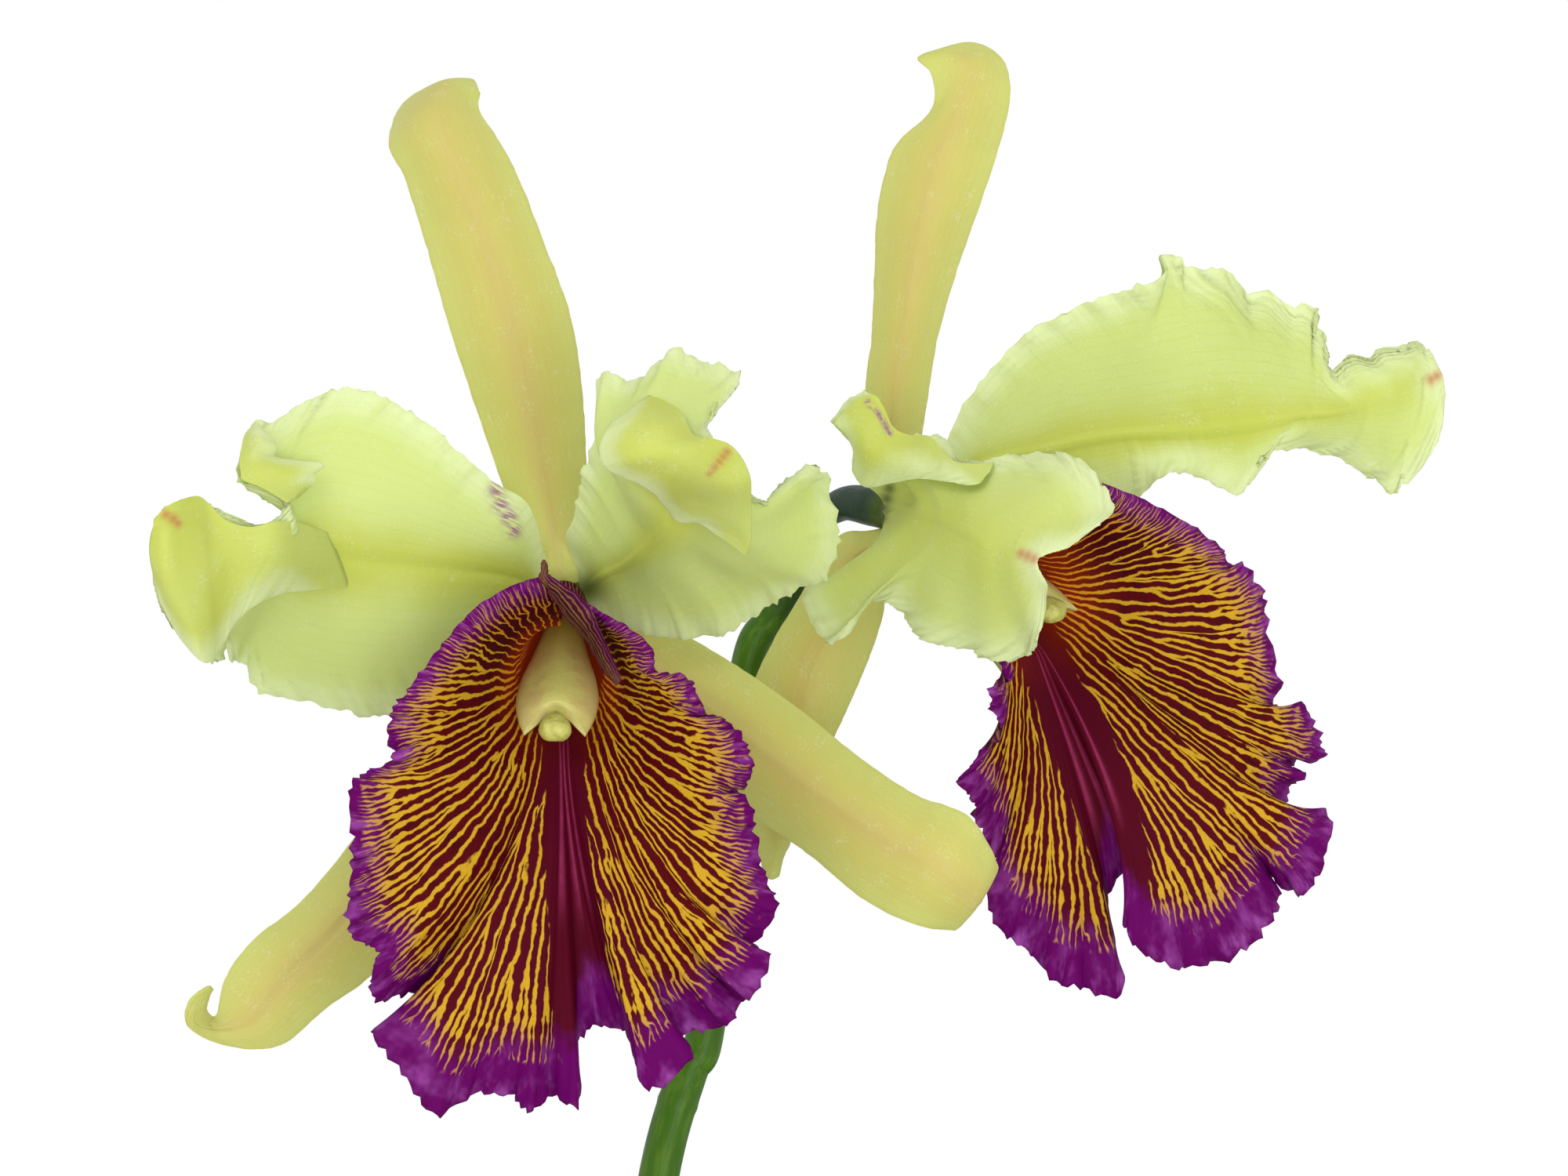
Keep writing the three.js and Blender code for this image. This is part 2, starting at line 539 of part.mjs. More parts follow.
function lipSurface(lip) {
  const margin = curveOf(lip.margin.map(place));
  const count = lip.margin.length - 1;
  const turn = THREE.MathUtils.degToRad(lip.turn);
  const side = new THREE.Vector3(Math.cos(turn), Math.sin(turn), 0);
  const out = new THREE.Vector3(Math.sin(turn), -Math.cos(turn), 0);
  const up = new THREE.Vector3(0, 0, 1);
  const heart = place(lip.heart);
  const mouth = place(lip.mouth);
  const axis = place(lip.column).sub(heart).normalize();
  const across = side.clone().addScaledVector(axis, -side.dot(axis)).normalize();
  const under = across.clone().cross(axis);
  if (under.z > 0) under.negate();
  const direction = (keys, angle) => {
    const bent = Math.sign(angle) * along(keys, Math.abs(angle)) + lip.lean;
    const turned = THREE.MathUtils.degToRad(bent);
    return side.clone().multiplyScalar(Math.sin(turned)).addScaledVector(up, -Math.cos(turned));
  };
  const calm = (u) => {
    const sum = new THREE.Vector3();
    for (let k = -CALM_REACH; k <= CALM_REACH; k += 1) {
      sum.add(margin.getPoint(Math.min(1, Math.max(0, u + k / count))));
    }
    return sum.divideScalar(2 * CALM_REACH + 1).lerp(margin.getPoint(u), Math.abs(2 * u - 1) ** 8);
  };
  return (u, s) => {
    const end = calm(u);
    const ruffle = margin.getPoint(u).sub(end);
    const angle = along(lip.flow, u * count);
    const spoke = direction(SAME_ANGLE, angle);
    const outer = SLIT_OVERLAP * smooth(110, 180, angle);
    const ring = mouth.clone().addScaledVector(side, (lip.wide + outer) * spoke.dot(side));
    ring.addScaledVector(up, (lip.high + outer) * spoke.dot(up));
    const reach = end.clone().sub(ring);
    const drop = reach.dot(out);
    const length = reach.addScaledVector(out, -drop).length();
    const start = direction(START_ANGLE, angle).multiplyScalar(length);
    start.addScaledVector(out, Math.max(4, 2 * drop));
    if (s < TUBE_SHARE) {
      const base = heart.clone().addScaledVector(axis, TUBE_START);
      base.addScaledVector(across, (TUBE_RADIUS + outer) * spoke.dot(side));
      base.addScaledVector(under, -(TUBE_RADIUS + outer) * spoke.dot(up));
      const tube = ring.distanceTo(base);
      const leave = start.normalize().multiplyScalar(tube * 0.8);
      return hermite(base, axis.clone().multiplyScalar(tube), ring, leave, s / TUBE_SHARE);
    }
    const finish = direction(END_ANGLE, angle).multiplyScalar(length * 0.8);
    finish.addScaledVector(out, -0.3 * drop);
    const t = (s - TUBE_SHARE) / (1 - TUBE_SHARE);
    const point = hermite(ring, start, end, finish, t);
    const keel = Math.exp(-((angle / 7) ** 2)) * Math.sin(Math.PI * t);
    return point.addScaledVector(out, -1.2 * keel).addScaledVector(ruffle, t ** 3);
  };
}

function lipBody(lip) {
  const [throat, margin] = LIP_THICKNESS;
  return sheetBody(lipSurface(lip), lip.margin.length - 1, 7, (u, s) => mix(throat, margin, s));
}

// Column: a narrow stalk that widens to a trowel with two wings at its end
function columnFrame(lip) {
  const heart = place(lip.heart);
  const tip = place(lip.column);
  const axis = tip.clone().sub(heart).normalize();
  const turn = THREE.MathUtils.degToRad(lip.turn);
  const side = new THREE.Vector3(Math.cos(turn), Math.sin(turn), 0);
  side.addScaledVector(axis, -side.dot(axis)).normalize();
  const face = side.clone().cross(axis);
  if (face.y > 0) face.negate();
  return { heart, tip, axis, side, face };
}

const COLUMN_CUTS = [
  [0, 2.2, 2.2, 0], [0.2, 2.6, 2.4, 0], [0.42, 4, 2.7, 0], [0.62, 5.8, 2.8, 0],
  [0.8, 6.5, 2.5, 0], [0.92, 6, 2, 2], [1, 4.8, 1.4, 5.5],
];

function columnBody(lip) {
  const { heart, tip, axis, side, face } = columnFrame(lip);
  const sides = 14;
  const length = heart.distanceTo(tip) - COLUMN_START - 2.5;
  const points = [];
  const rings = [];
  const addRing = (share, wide, deep, wings) => {
    const ring = [];
    for (let i = 0; i < (wide > 0 ? sides : 1); i += 1) {
      const angle = (2 * Math.PI * i) / sides;
      const out = COLUMN_START + length * share + wings * (Math.cos(angle) ** 2 - 0.55);
      const point = heart.clone().addScaledVector(axis, out);
      point.addScaledVector(side, wide * Math.cos(angle));
      point.addScaledVector(face, deep * Math.sin(angle));
      ring.push(points.length);
      points.push(point);
    }
    rings.push(ring);
  };
  addRing(0, 0, 0, 0);
  for (const cut of COLUMN_CUTS) addRing(...cut);
  points.push(heart.clone().addScaledVector(axis, COLUMN_START + length - 4.5));
  rings.push([points.length - 1]);
  return bodyOf(points, bridged(rings, sides));
}

function antherBody(lip) {
  const { heart, tip, axis, side } = columnFrame(lip);
  const start = heart.distanceTo(tip) - 4.6;
  const point = (out) => heart.clone().addScaledVector(axis, out);
  const run = curveOf([point(start), point(start + 2.5), point(start + 5)]);
  const stops = [[0, 0], [0, 1], [0.3, 2.1], [0.7, 2.6], [0.95, 1.5], [1, 0]];
  return stemBody(run, stops, 10, 0.8, side);
}

// Flower stem with its fork and the two flower stalks that end under the blooms
const STEM_BASE = [-27, 5.6, 238.8];
const STEM_RUN = [
  [-20, -94, 16], [-15.4, -77.5, 19], [-12.6, -71, 20], [-9.2, -42, 24], [-5.7, -12.5, 25],
  [-2, -5, 25], [3, 3, 24],
];
const STALK_1_RUN = [[-1, -2, 24.5], [-10, 5, 25], [-24, 7, 19], [-32.5, 3, 10], [-34.75, -1, 2.5]];
const STALK_2_RUN = [[-1, -2, 24.5], [4, 9, 23], [9, 13.2, 18], [13.5, 13.2, 13], [18.75, 12, 8]];

function stemCurve() {
  const low = vector(STEM_BASE);
  return curveOf([low, new THREE.Vector3(-25.5, 9, 275), ...STEM_RUN.map(place)]);
}

function stalkBody(run) {
  const curve = curveOf(run.map(place));
  const reach = BALL_RADIUS / curve.getLength();
  const stops = [[0, 0], [0, 2.2], [0.2, 2.3], [0.4, 2.4], [0.6, 2.9], [0.78, 3.3]];
  for (const [back, share] of [[1.2, 0.83], [0.6, 0.97], [0, 1], [-0.55, 0.83], [-0.87, 0.5]]) {
    stops.push([1 - reach * back * 0.78, share * BALL_RADIUS]);
  }
  const end = curve.getPoint(1);
  const forward = curve.getTangent(1);
  const longer = {
    getPoint: (t) => (t <= 1 ? curve.getPoint(t) : end.clone().addScaledVector(forward,
      ((t - 1) / reach) * BALL_RADIUS)),
    getTangent: (t) => curve.getTangent(Math.min(t, 1)),
  };
  stops.push([1 + reach * 0.85, 0]);
  return stemBody(longer, stops, 10);
}

function flowerStem() {
  const radiusAt = (u) => mix(3.5, 2.7, u) + 0.5 * smooth(0.94, 1, u) - 0.8 * smooth(0.985, 1, u);
  const main = stemBody(stemCurve(), roundStops(18, radiusAt), 10);
  return geometryOf(largestOf(joined([main, stalkBody(STALK_1_RUN), stalkBody(STALK_2_RUN)])));
}

// Sheath folded round the foot of the flower stem, open along its right side
function flowerSheath() {
  const curve = stemCurve();
  const surface = (u, v) => {
    const share = mix(0.002, 0.2, u);
    const middle = curve.getPoint(share);
    const angle = mix(-150, 150, v) * (Math.PI / 180) * mix(1, 0.86, u) + Math.PI;
    const wide = mix(4.5, 8, Math.sin(Math.PI * Math.min(1, u * 0.85)) ** 1.2);
    const deep = mix(4.5, 4.9, u);
    const peak = 9 * smooth(0.8, 1, u) * Math.cos(angle - Math.PI) ** 2;
    return middle.add(new THREE.Vector3(
      wide * Math.cos(angle), deep * Math.sin(angle), peak - 4.5 * smooth(0.8, 1, u),
    ));
  };
  return sheetBody(surface, 9, 9, () => 0.7);
}

// Creeping stem on the bark with four swollen upright stems grown from it
const BULBS = [
  { foot: [-24, 2], top: [-27, 9, 238], radius: 12.5 },
  { foot: [-3, 4], top: [-5, 20, 222], radius: 12 },
  { foot: [18, 0], top: [24, -10, 210], radius: 11.5 },
  { foot: [38, -3], top: [51, -2, 196], radius: 11 },
];
const BULB_PROFILE = [
  [0, 0], [0, 4.5], [0.08, 4.6], [0.2, 0.5], [0.36, 0.8], [0.52, 1], [0.7, 0.97],
  [0.84, 0.82], [0.94, 0.68], [1, 0.6], [1, 0],
];

function bulbCurve({ foot, top }) {
  const low = new THREE.Vector3(foot[0], foot[1], RHIZOME_HEIGHT);
  const high = vector(top);
  const middle = low.clone().lerp(high, 0.5);
  middle.x += (foot[0] - top[0]) * 0.12;
  middle.y += (foot[1] - top[1]) * 0.12;
  return curveOf([low, middle, high]);
}

function bulbBody(bulb) {
  const stops = BULB_PROFILE.map(([share, size]) => [share, size > 2 ? size : size * bulb.radius]);
  return stemBody(bulbCurve(bulb), stops, 10, 0.78);
}

function rhizomeBody(extra) {
  const run = curveOf(drawnOut([
    new THREE.Vector3(-47, -2, RHIZOME_HEIGHT - 3), new THREE.Vector3(-24, 2, RHIZOME_HEIGHT),
    new THREE.Vector3(-3, 4, RHIZOME_HEIGHT), new THREE.Vector3(18, 0, RHIZOME_HEIGHT),
    new THREE.Vector3(38, -3, RHIZOME_HEIGHT), new THREE.Vector3(48, -8, RHIZOME_HEIGHT - 1),
  ], extra));
  const radiusAt = (u) => RHIZOME_RADIUS * (1 - 0.35 * Math.abs(2 * u - 1) ** 4)
    + 0.4 * Math.cos(20 * Math.PI * u);
  return stemBody(run, roundStops(16, (u) => radiusAt(u) + extra), 10);
}

function pseudobulbs() {
  return geometryOf(largestOf(joined([rhizomeBody(0), ...BULBS.map(bulbBody)])));
}

// Leaves: one leathery strap on each swollen stem, folded along its midrib
const LEAVES = [
  { bulb: 0, run: [[0, 5.6, 0.4], [-1, 17, 27], [-10, 40, 48], [-30, 70, 56], [-56, 100, 44]] },
  { bulb: 1, run: [[0, 0, 0.6], [3, 6, 30], [14, 22, 58], [30, 52, 74], [44, 98, 66]] },
  { bulb: 2, run: [[0, 0, 0.6], [5, -8, 28], [17, -27, 52], [34, -60, 60], [47, -98, 44]] },
  { bulb: 3, run: [[0, 0, 0.6], [9, 4, 27], [30, 14, 50], [64, 26, 58], [106, 36, 42]] },
];
const LEAF_WIDTH = [
  [0, 4.5], [0.1, 6], [0.25, 13], [0.45, 22], [0.65, 25], [0.82, 21], [0.94, 12], [1, 4],
];

function leafBody({ bulb, run }) {
  const foot = vector(BULBS[bulb].top);
  const curve = curveOf(run.map((point) => vector(point).add(foot)));
  const surface = (u, v) => {
    const middle = curve.getPoint(u);
    const tangent = curve.getTangent(u);
    const side = new THREE.Vector3(-tangent.y, tangent.x, 0).normalize();
    const rise = side.clone().cross(tangent).negate().normalize();
    const half = along(LEAF_WIDTH, u);
    const cross = 2 * v - 1;
    const fold = mix(0.75, 0.22, smooth(0, 0.5, u));
    middle.addScaledVector(side, half * cross * Math.cos(fold));
    return middle.addScaledVector(rise, half * Math.abs(cross) * Math.sin(fold));
  };
  const [rib, margin] = LEAF_THICKNESS;
  return sheetBody(surface, 12, 4, (u, v) => mix(rib, margin, Math.max(Math.abs(2 * v - 1), u)));
}

// Roots: a crown under the creeping stem and runners over the bark
const ROOT_LEVEL = 90;
const ROOTS = [
  [[-36, 0, 91], [-39, -9, 96], [-40, -22, 98.5], [-30, -38, 97.5], [-12, -49, 94]],
  [[-12, 3, 90], [-12, -9, 95], [-10, -20, 98.8], [-18, -34, 98], [-34, -40, 93]],
  [[8, 3, 90], [8, -9, 95], [10, -18, 98.8], [3, -32, 98.6], [6, -46, 93]],
  [[30, -1, 90], [31, -12, 95], [34, -22, 98.6], [40, -27, 96.5], [41, -30, 92]],
  [[-16, 3, 90], [-20, 15, 95], [-24, 27, 98.8], [-38, 33, 97.5], [-47, 20, 93]],
  [[20, 1, 90], [19, 14, 95], [17, 27, 98.8], [28, 38, 98], [42, 30, 93]],
];

function rootBodies(extra) {
  const crown = curveOf(drawnOut([
    new THREE.Vector3(-40, 0, ROOT_LEVEL), new THREE.Vector3(-3, 3.5, ROOT_LEVEL),
    new THREE.Vector3(36, -3, ROOT_LEVEL),
  ], extra));
  const bodies = [stemBody(crown, roundStops(3, () => 2.4 + extra), 6)];
  for (const run of ROOTS) {
    const radiusAt = (u) => 1.9 - 0.7 * smooth(0.8, 1, u) + extra;
    const curve = curveOf(drawnOut(run.map(vector), extra));
    bodies.push(stemBody(curve, roundStops(7, radiusAt), 5));
  }
  return bodies;
}

function roots() {
  return geometryOf(largestOf(joined(rootBodies(0))));
}

// Bark: a filling with raised chips, cut clear of whatever lies or stands in it
function innerRadius(height) {
  const share = (height - POT_FLOOR) / (POT_HEIGHT - POT_FLOOR);
  return mix(POT_FOOT_RADIUS - POT_WALL, POT_BODY_TOP_RADIUS + 2 - POT_WALL, share);
}

function chipBody(index) {
  const reach = 47 * Math.sqrt((index + 0.4) / CHIP_COUNT);
  const angle = index * 2.39996;
  const length = 9.5 + 2.5 * Math.sin(index * 1.7);
  const width = 6 + 1.4 * Math.cos(index * 2.3);
  const height = 3.4 + 0.8 * Math.sin(index * 3.1);
  const spin = new THREE.Euler(
    0.32 * Math.sin(index * 2.1), 0.3 * Math.cos(index * 1.3), index * 1.9,
  );
  const middle = new THREE.Vector3(reach * Math.cos(angle), reach * Math.sin(angle), BARK_TOP);
  const corners = [];
  for (let k = 0; k < 8; k += 1) {
    const cut = 1 - 0.22 * Math.abs(Math.sin(index * 5.3 + k * 2.7));
    const corner = new THREE.Vector3(
      (k & 1 ? length : -length) * cut, (k & 2 ? width : -width) * cut, k & 4 ? height : -height,
    );
    corners.push(corner.applyEuler(spin).add(middle));
  }
  const faces = [
    [0, 2, 3], [0, 3, 1], [4, 5, 7], [4, 7, 6], [0, 1, 5], [0, 5, 4],
    [2, 6, 7], [2, 7, 3], [0, 4, 6], [0, 6, 2], [1, 3, 7], [1, 7, 5],
  ];
  return bodyOf(corners, faces);
}

function pottingBark() {
  const low = POT_FLOOR + GAP;
  const filling = turned([
    [0, low], [innerRadius(low) - GAP, low], [innerRadius(BARK_TOP) - GAP, BARK_TOP], [0, BARK_TOP],
  ], POT_SIDES);
  const chips = [];
  for (let i = 0; i < CHIP_COUNT; i += 1) chips.push(chipBody(i));
  const top = BARK_TOP + 12;
  const inside = turned([
    [0, low], [innerRadius(low) - GAP, low], [innerRadius(top) - GAP, top], [0, top],
  ], POT_SIDES);
  let bark = joined([filling, ...chips]).intersect(solidOf(inside));
  const stems = [rhizomeBody(GAP), ...rootBodies(1.3 * GAP)];
  for (const bulb of BULBS) {
    const stops = [[0, 0], [0, 4.5 + GAP], [0.3, 12], [0.3, 0]];
    stems.push(stemBody(bulbCurve(bulb), stops, 10, 0.85));
  }
  bark = bark.subtract(joined(stems));
  return geometryOf(largestOf(bark));
}

// Pot: turned body with a rim band, a foot and drain holes through the floor
function pot() {
  const rimLow = POT_HEIGHT - POT_RIM_HEIGHT;
  const outer = POT_BODY_TOP_RADIUS;
  const body = turned([
    [0, 0], [POT_FOOT_RADIUS - 1, 0], [POT_FOOT_RADIUS, 1], [outer, rimLow - 0.5],
    [POT_RIM_RADIUS - 1, rimLow], [POT_RIM_RADIUS, rimLow + 1.5],
    [POT_RIM_RADIUS + 0.8, POT_HEIGHT - 1.5], [POT_RIM_RADIUS - 0.5, POT_HEIGHT],
    [innerRadius(POT_HEIGHT) + 1, POT_HEIGHT], [innerRadius(POT_HEIGHT - 1.5), POT_HEIGHT - 1.5],
    [innerRadius(POT_FLOOR), POT_FLOOR], [0, POT_FLOOR],
  ], POT_SIDES);
  let solid = solidOf(body);
  for (let i = 0; i < DRAIN_COUNT; i += 1) {
    const angle = (2 * Math.PI * (i + 0.5)) / DRAIN_COUNT;
    const hole = turned([[0, -2], [DRAIN_RADIUS, -2], [DRAIN_RADIUS, 12], [0, 12]], 16);
    hole.translate(DRAIN_CIRCLE * Math.cos(angle), DRAIN_CIRCLE * Math.sin(angle), 0);
    solid = solid.subtract(solidOf(hole));
  }
  return geometryOf(solid);
}

// Put together
const sepal = { columns: 4, thickness: SEPAL_THICKNESS };
const petal = { columns: 6, thickness: PETAL_THICKNESS, waves: 7, wave: 0.9 };
const foldedPetal = { ...petal, columns: 8, wave: 0.6 };

addNode("pot", pot(), "clay");
addNode("potting_bark", pottingBark(), "bark");

const plant = new THREE.Group();
plant.name = "plant";
group.add(plant);
addNode("roots", roots(), "root", plant);
addNode("pseudobulbs", pseudobulbs(), "stem", plant);
LEAVES.forEach((leaf, i) => addNode(`leaf_${i + 1}`, leafBody(leaf), "leaf", plant));
addNode("flower_sheath", flowerSheath(), "sheath", plant);
addNode("flower_stem", flowerStem(), "stem", plant);

const bloom1 = new THREE.Group();
bloom1.name = "bloom_1";
plant.add(bloom1);
addNode("bloom_1_dorsal_sepal", bladeBody(BLOOM_1_DORSAL_SEPAL, sepal), "sepal", bloom1);
addNode("bloom_1_lateral_sepal_left", bladeBody(BLOOM_1_LATERAL_SEPAL_LEFT, sepal), "sepal", bloom1);
addNode("bloom_1_lateral_sepal_right", bladeBody(BLOOM_1_LATERAL_SEPAL_RIGHT, sepal), "sepal", bloom1);
addNode("bloom_1_petal_left", bladeBody(BLOOM_1_PETAL_LEFT, petal), "petal", bloom1);
addNode("bloom_1_petal_right", bladeBody(BLOOM_1_PETAL_RIGHT, foldedPetal), "petal", bloom1);
addNode("bloom_1_lip", lipBody(LIP_1), "lip", bloom1);
addNode("bloom_1_column", columnBody(LIP_1), "column", bloom1);
addNode("bloom_1_anther_cap", antherBody(LIP_1), "anther", bloom1);

const bloom2 = new THREE.Group();
bloom2.name = "bloom_2";
plant.add(bloom2);
addNode("bloom_2_dorsal_sepal", bladeBody(BLOOM_2_DORSAL_SEPAL, sepal), "sepal", bloom2);
addNode("bloom_2_lateral_sepal_left", bladeBody(BLOOM_2_LATERAL_SEPAL_LEFT, sepal), "sepal", bloom2);
addNode("bloom_2_lateral_sepal_right", bladeBody(BLOOM_2_LATERAL_SEPAL_RIGHT, sepal), "sepal", bloom2);
addNode("bloom_2_petal_left", bladeBody(BLOOM_2_PETAL_LEFT, petal), "petal", bloom2);
addNode("bloom_2_petal_right", bladeBody(BLOOM_2_PETAL_RIGHT, petal), "petal", bloom2);
addNode("bloom_2_lip", lipBody(LIP_2), "lip", bloom2);
addNode("bloom_2_column", columnBody(LIP_2), "column", bloom2);
addNode("bloom_2_anther_cap", antherBody(LIP_2), "anther", bloom2);

export default group;
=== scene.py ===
"""Looks of the potted cattleya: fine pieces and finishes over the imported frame."""

import math

import bpy
import numpy as np
from mathutils import Color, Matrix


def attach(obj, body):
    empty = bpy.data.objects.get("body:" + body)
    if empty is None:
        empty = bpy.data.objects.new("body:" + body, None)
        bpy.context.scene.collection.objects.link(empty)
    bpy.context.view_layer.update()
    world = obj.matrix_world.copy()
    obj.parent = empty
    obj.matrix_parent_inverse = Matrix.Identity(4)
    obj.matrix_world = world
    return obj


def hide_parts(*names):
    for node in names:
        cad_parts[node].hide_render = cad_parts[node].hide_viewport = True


bl_info = {
    "name": "Potted Cattleya",
    "version": (1, 0, 0),
    "blender": (4, 5, 0),
    "location": "View3D > Sidebar > Cattleya",
    "description": "Fine blooms, leaves, swollen stems, bark and pot of a potted cattleya",
    "category": "Add Mesh",
}

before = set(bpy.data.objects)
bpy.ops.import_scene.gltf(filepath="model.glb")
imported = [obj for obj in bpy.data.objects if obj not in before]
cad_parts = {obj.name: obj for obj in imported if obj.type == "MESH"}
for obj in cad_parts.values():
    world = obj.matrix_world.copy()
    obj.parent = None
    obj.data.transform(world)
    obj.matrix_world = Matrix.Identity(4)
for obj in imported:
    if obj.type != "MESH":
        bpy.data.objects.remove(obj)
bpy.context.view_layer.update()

# Lengths below are millimetres, as in the part's source
METRES = 0.001
BLOOM_HEIGHT = 407.0
EYE_DISTANCE = 1042.0
# Tables that say so hold points of the photograph instead, 2000 wide and 1500 high
PICTURE_MIDDLE = (1000.0, 750.0)
PICTURE_POINTS_PER_MM = 8.0


# Small sums
def mix(a, b, share):
    return a + (b - a) * share


def smooth(low, high, value):
    t = np.clip((value - low) / (high - low), 0.0, 1.0)
    return t * t * (3.0 - 2.0 * t)


def unit(vectors):
    return vectors / np.maximum(np.linalg.norm(vectors, axis=-1, keepdims=True), 1e-9)


def keyed(keys, value):
    """Straight lines through [place, size] pairs."""
    keys = np.asarray(keys, float)
    return np.interp(value, keys[:, 0], keys[:, 1])


# How many waves go into one length, and how high they are
WAVES = ((1.0, 0.55), (1.63, 0.35), (2.71, 0.25), (4.3, 0.15))


def wobble(distance, length, seed):
    """An uneven wave of about one millimetre high, with the given wave length."""
    dice = np.random.RandomState(seed)
    total = np.zeros_like(distance)
    for waves, weight in WAVES:
        turn = dice.uniform(0, 2 * math.pi)
        drift = 0.8 * np.sin(distance / (length * 3.7) + dice.uniform(0, 6))
        total += weight * np.sin(2 * math.pi * waves * distance / length + turn + drift)
    return total


def place(points):
    """[across, up, toward the back] around the middle of the blooms, as in the part's source."""
    points = np.asarray(points, float)
    grow = 1.0 + points[..., 2:3] / EYE_DISTANCE
    flat = points[..., :2] * grow
    return np.stack([flat[..., 0], points[..., 2], BLOOM_HEIGHT + flat[..., 1]], axis=-1)


def from_picture(points):
    """[across, up] in millimetres of points picked in the photograph; a depth stays as it is."""
    points = np.array(points, float)
    points[..., 0] = (points[..., 0] - PICTURE_MIDDLE[0]) / PICTURE_POINTS_PER_MM
    points[..., 1] = (PICTURE_MIDDLE[1] - points[..., 1]) / PICTURE_POINTS_PER_MM
    return points


def spline(points, shares):
    """A smooth curve through points of any shape, read at shares of its run."""
    points = np.asarray(points, float)
    last = len(points) - 1
    before = 2 * points[0] - points[1]
    after = 2 * points[-1] - points[-2]
    padded = np.concatenate([before[None], points, after[None]])
    at = np.clip(shares, 0.0, 1.0) * last
    step = np.minimum(at.astype(int), last - 1)
    t = (at - step).reshape((-1,) + (1,) * (points.ndim - 1))
    p0, p1, p2, p3 = (padded[step + k] for k in range(4))
    leave, arrive = (p2 - p0) / 2, (p3 - p1) / 2
    bend = -3 * p1 + 3 * p2 - 2 * leave - arrive
    return p1 + leave * t + bend * t**2 + (2 * p1 - 2 * p2 + leave + arrive) * t**3


def tangents(points, shares):
    ahead = spline(points, np.minimum(shares + 1e-3, 1.0))
    behind = spline(points, np.maximum(shares - 1e-3, 0.0))
    return unit(ahead - behind)


def runs(points, axis=0):
    """How far from the start each point lies, measured along one axis of a grid."""
    steps = np.linalg.norm(np.diff(points, axis=axis), axis=-1)
    return np.cumsum(np.insert(steps, 0, 0.0, axis=axis), axis=axis)


def softened(values):
    """Each value as the mean of nine neighbours."""
    return np.convolve(np.pad(values, 4, mode="edge"), np.ones(9) / 9, mode="valid")


def ring_angles(sides):
    return np.linspace(0, 2 * math.pi, sides, endpoint=False)


# Meshes
def sheet_normals(grid, passes=2):
    normals = unit(np.cross(*np.gradient(grid, axis=(0, 1))))
    for _ in range(passes):
        total = normals.copy()
        total[1:] += normals[:-1]
        total[:-1] += normals[1:]
        total[:, 1:] += normals[:, :-1]
        total[:, :-1] += normals[:, 1:]
        normals = unit(total)
    return normals


def grid_faces(rows, columns, around=False):
    """Quads over a grid of points; around closes the last column to the first."""
    spans = columns if around else columns - 1
    i, j = np.meshgrid(np.arange(rows - 1), np.arange(spans), indexing="ij")
    k = (j + 1) % columns
    quads = [i * columns + j, (i + 1) * columns + j, (i + 1) * columns + k, i * columns + k]
    return np.stack(quads, axis=-1).reshape(-1, 4)


def facing_out(points, quads):
    """The quads, turned so that the closed body has its faces outward."""
    a, b, c, d = (points[quads[:, k]] for k in range(4))
    volume = np.einsum("ij,ij->i", a, np.cross(b, c)) + np.einsum("ij,ij->i", a, np.cross(c, d))
    return quads if volume.sum() > 0 else quads[:, ::-1]


def add_piece(name, points, faces, traits=None):
    """A smooth mesh object; traits are numbers per point that the finishes read."""
    mesh = bpy.data.meshes.new(name)
    mesh.from_pydata((np.asarray(points) * METRES).tolist(), [], [list(f) for f in faces])
    for trait, values in (traits or {}).items():
        layer = mesh.attributes.new(trait, "FLOAT", "POINT")
        layer.data.foreach_set("value", np.ascontiguousarray(values, np.float32).ravel())
    mesh.polygons.foreach_set("use_smooth", np.ones(len(mesh.polygons), bool))
    mesh.update()
    piece = bpy.data.objects.new(name, mesh)
    bpy.context.scene.collection.objects.link(piece)
    return piece


def sheet_parts(grid, thick, traits, front=(0.0, -1.0, 0.0)):
    """A grid thickened to both sides and closed at its rim: points, quads, traits."""
    rows, columns = grid.shape[:2]
    normals = sheet_normals(grid)
    if (normals @ np.asarray(front)).sum() < 0:
        normals = -normals
    half = (thick / 2)[..., None] * normals
    points = np.concatenate([(grid + half).reshape(-1, 3), (grid - half).reshape(-1, 3)])
    back = rows * columns
    front_quads = grid_faces(rows, columns)
    back_quads = front_quads[:, ::-1] + back
    rim = np.concatenate([
        np.arange(rows - 1) * columns,
        (rows - 1) * columns + np.arange(columns - 1),
        np.arange(rows - 1, 0, -1) * columns + columns - 1,
        np.arange(columns - 1, 0, -1),
    ])
    after = np.roll(rim, -1)
    rim_quads = np.stack([after, rim, rim + back, after + back], axis=-1)
    quads = facing_out(points, np.concatenate([front_quads, back_quads, rim_quads]))
    doubled = {key: np.tile(np.ravel(value), 2) for key, value in traits.items()}
    doubled["back"] = np.concatenate([np.zeros(back), np.ones(back)])
    return points, quads, doubled


def close_rings(rings):
    """Quads along rings of points, with a point put into both ends."""
    rows, columns = rings.shape[:2]
    points = np.concatenate([rings.reshape(-1, 3), [rings[0].mean(0)], [rings[-1].mean(0)]])
    quads = grid_faces(rows, columns, around=True)
    first, last = rows * columns, rows * columns + 1
    k = np.arange(columns)
    after = (k + 1) % columns
    low = np.stack([np.full(columns, first), k, after, after], axis=-1)
    top = (rows - 1) * columns
    high = np.stack([np.full(columns, last), top + after, top + k, top + k], axis=-1)
    faces = facing_out(points, np.concatenate([quads, low, high]))
    return points, [tuple(dict.fromkeys(f)) for f in faces.tolist()]


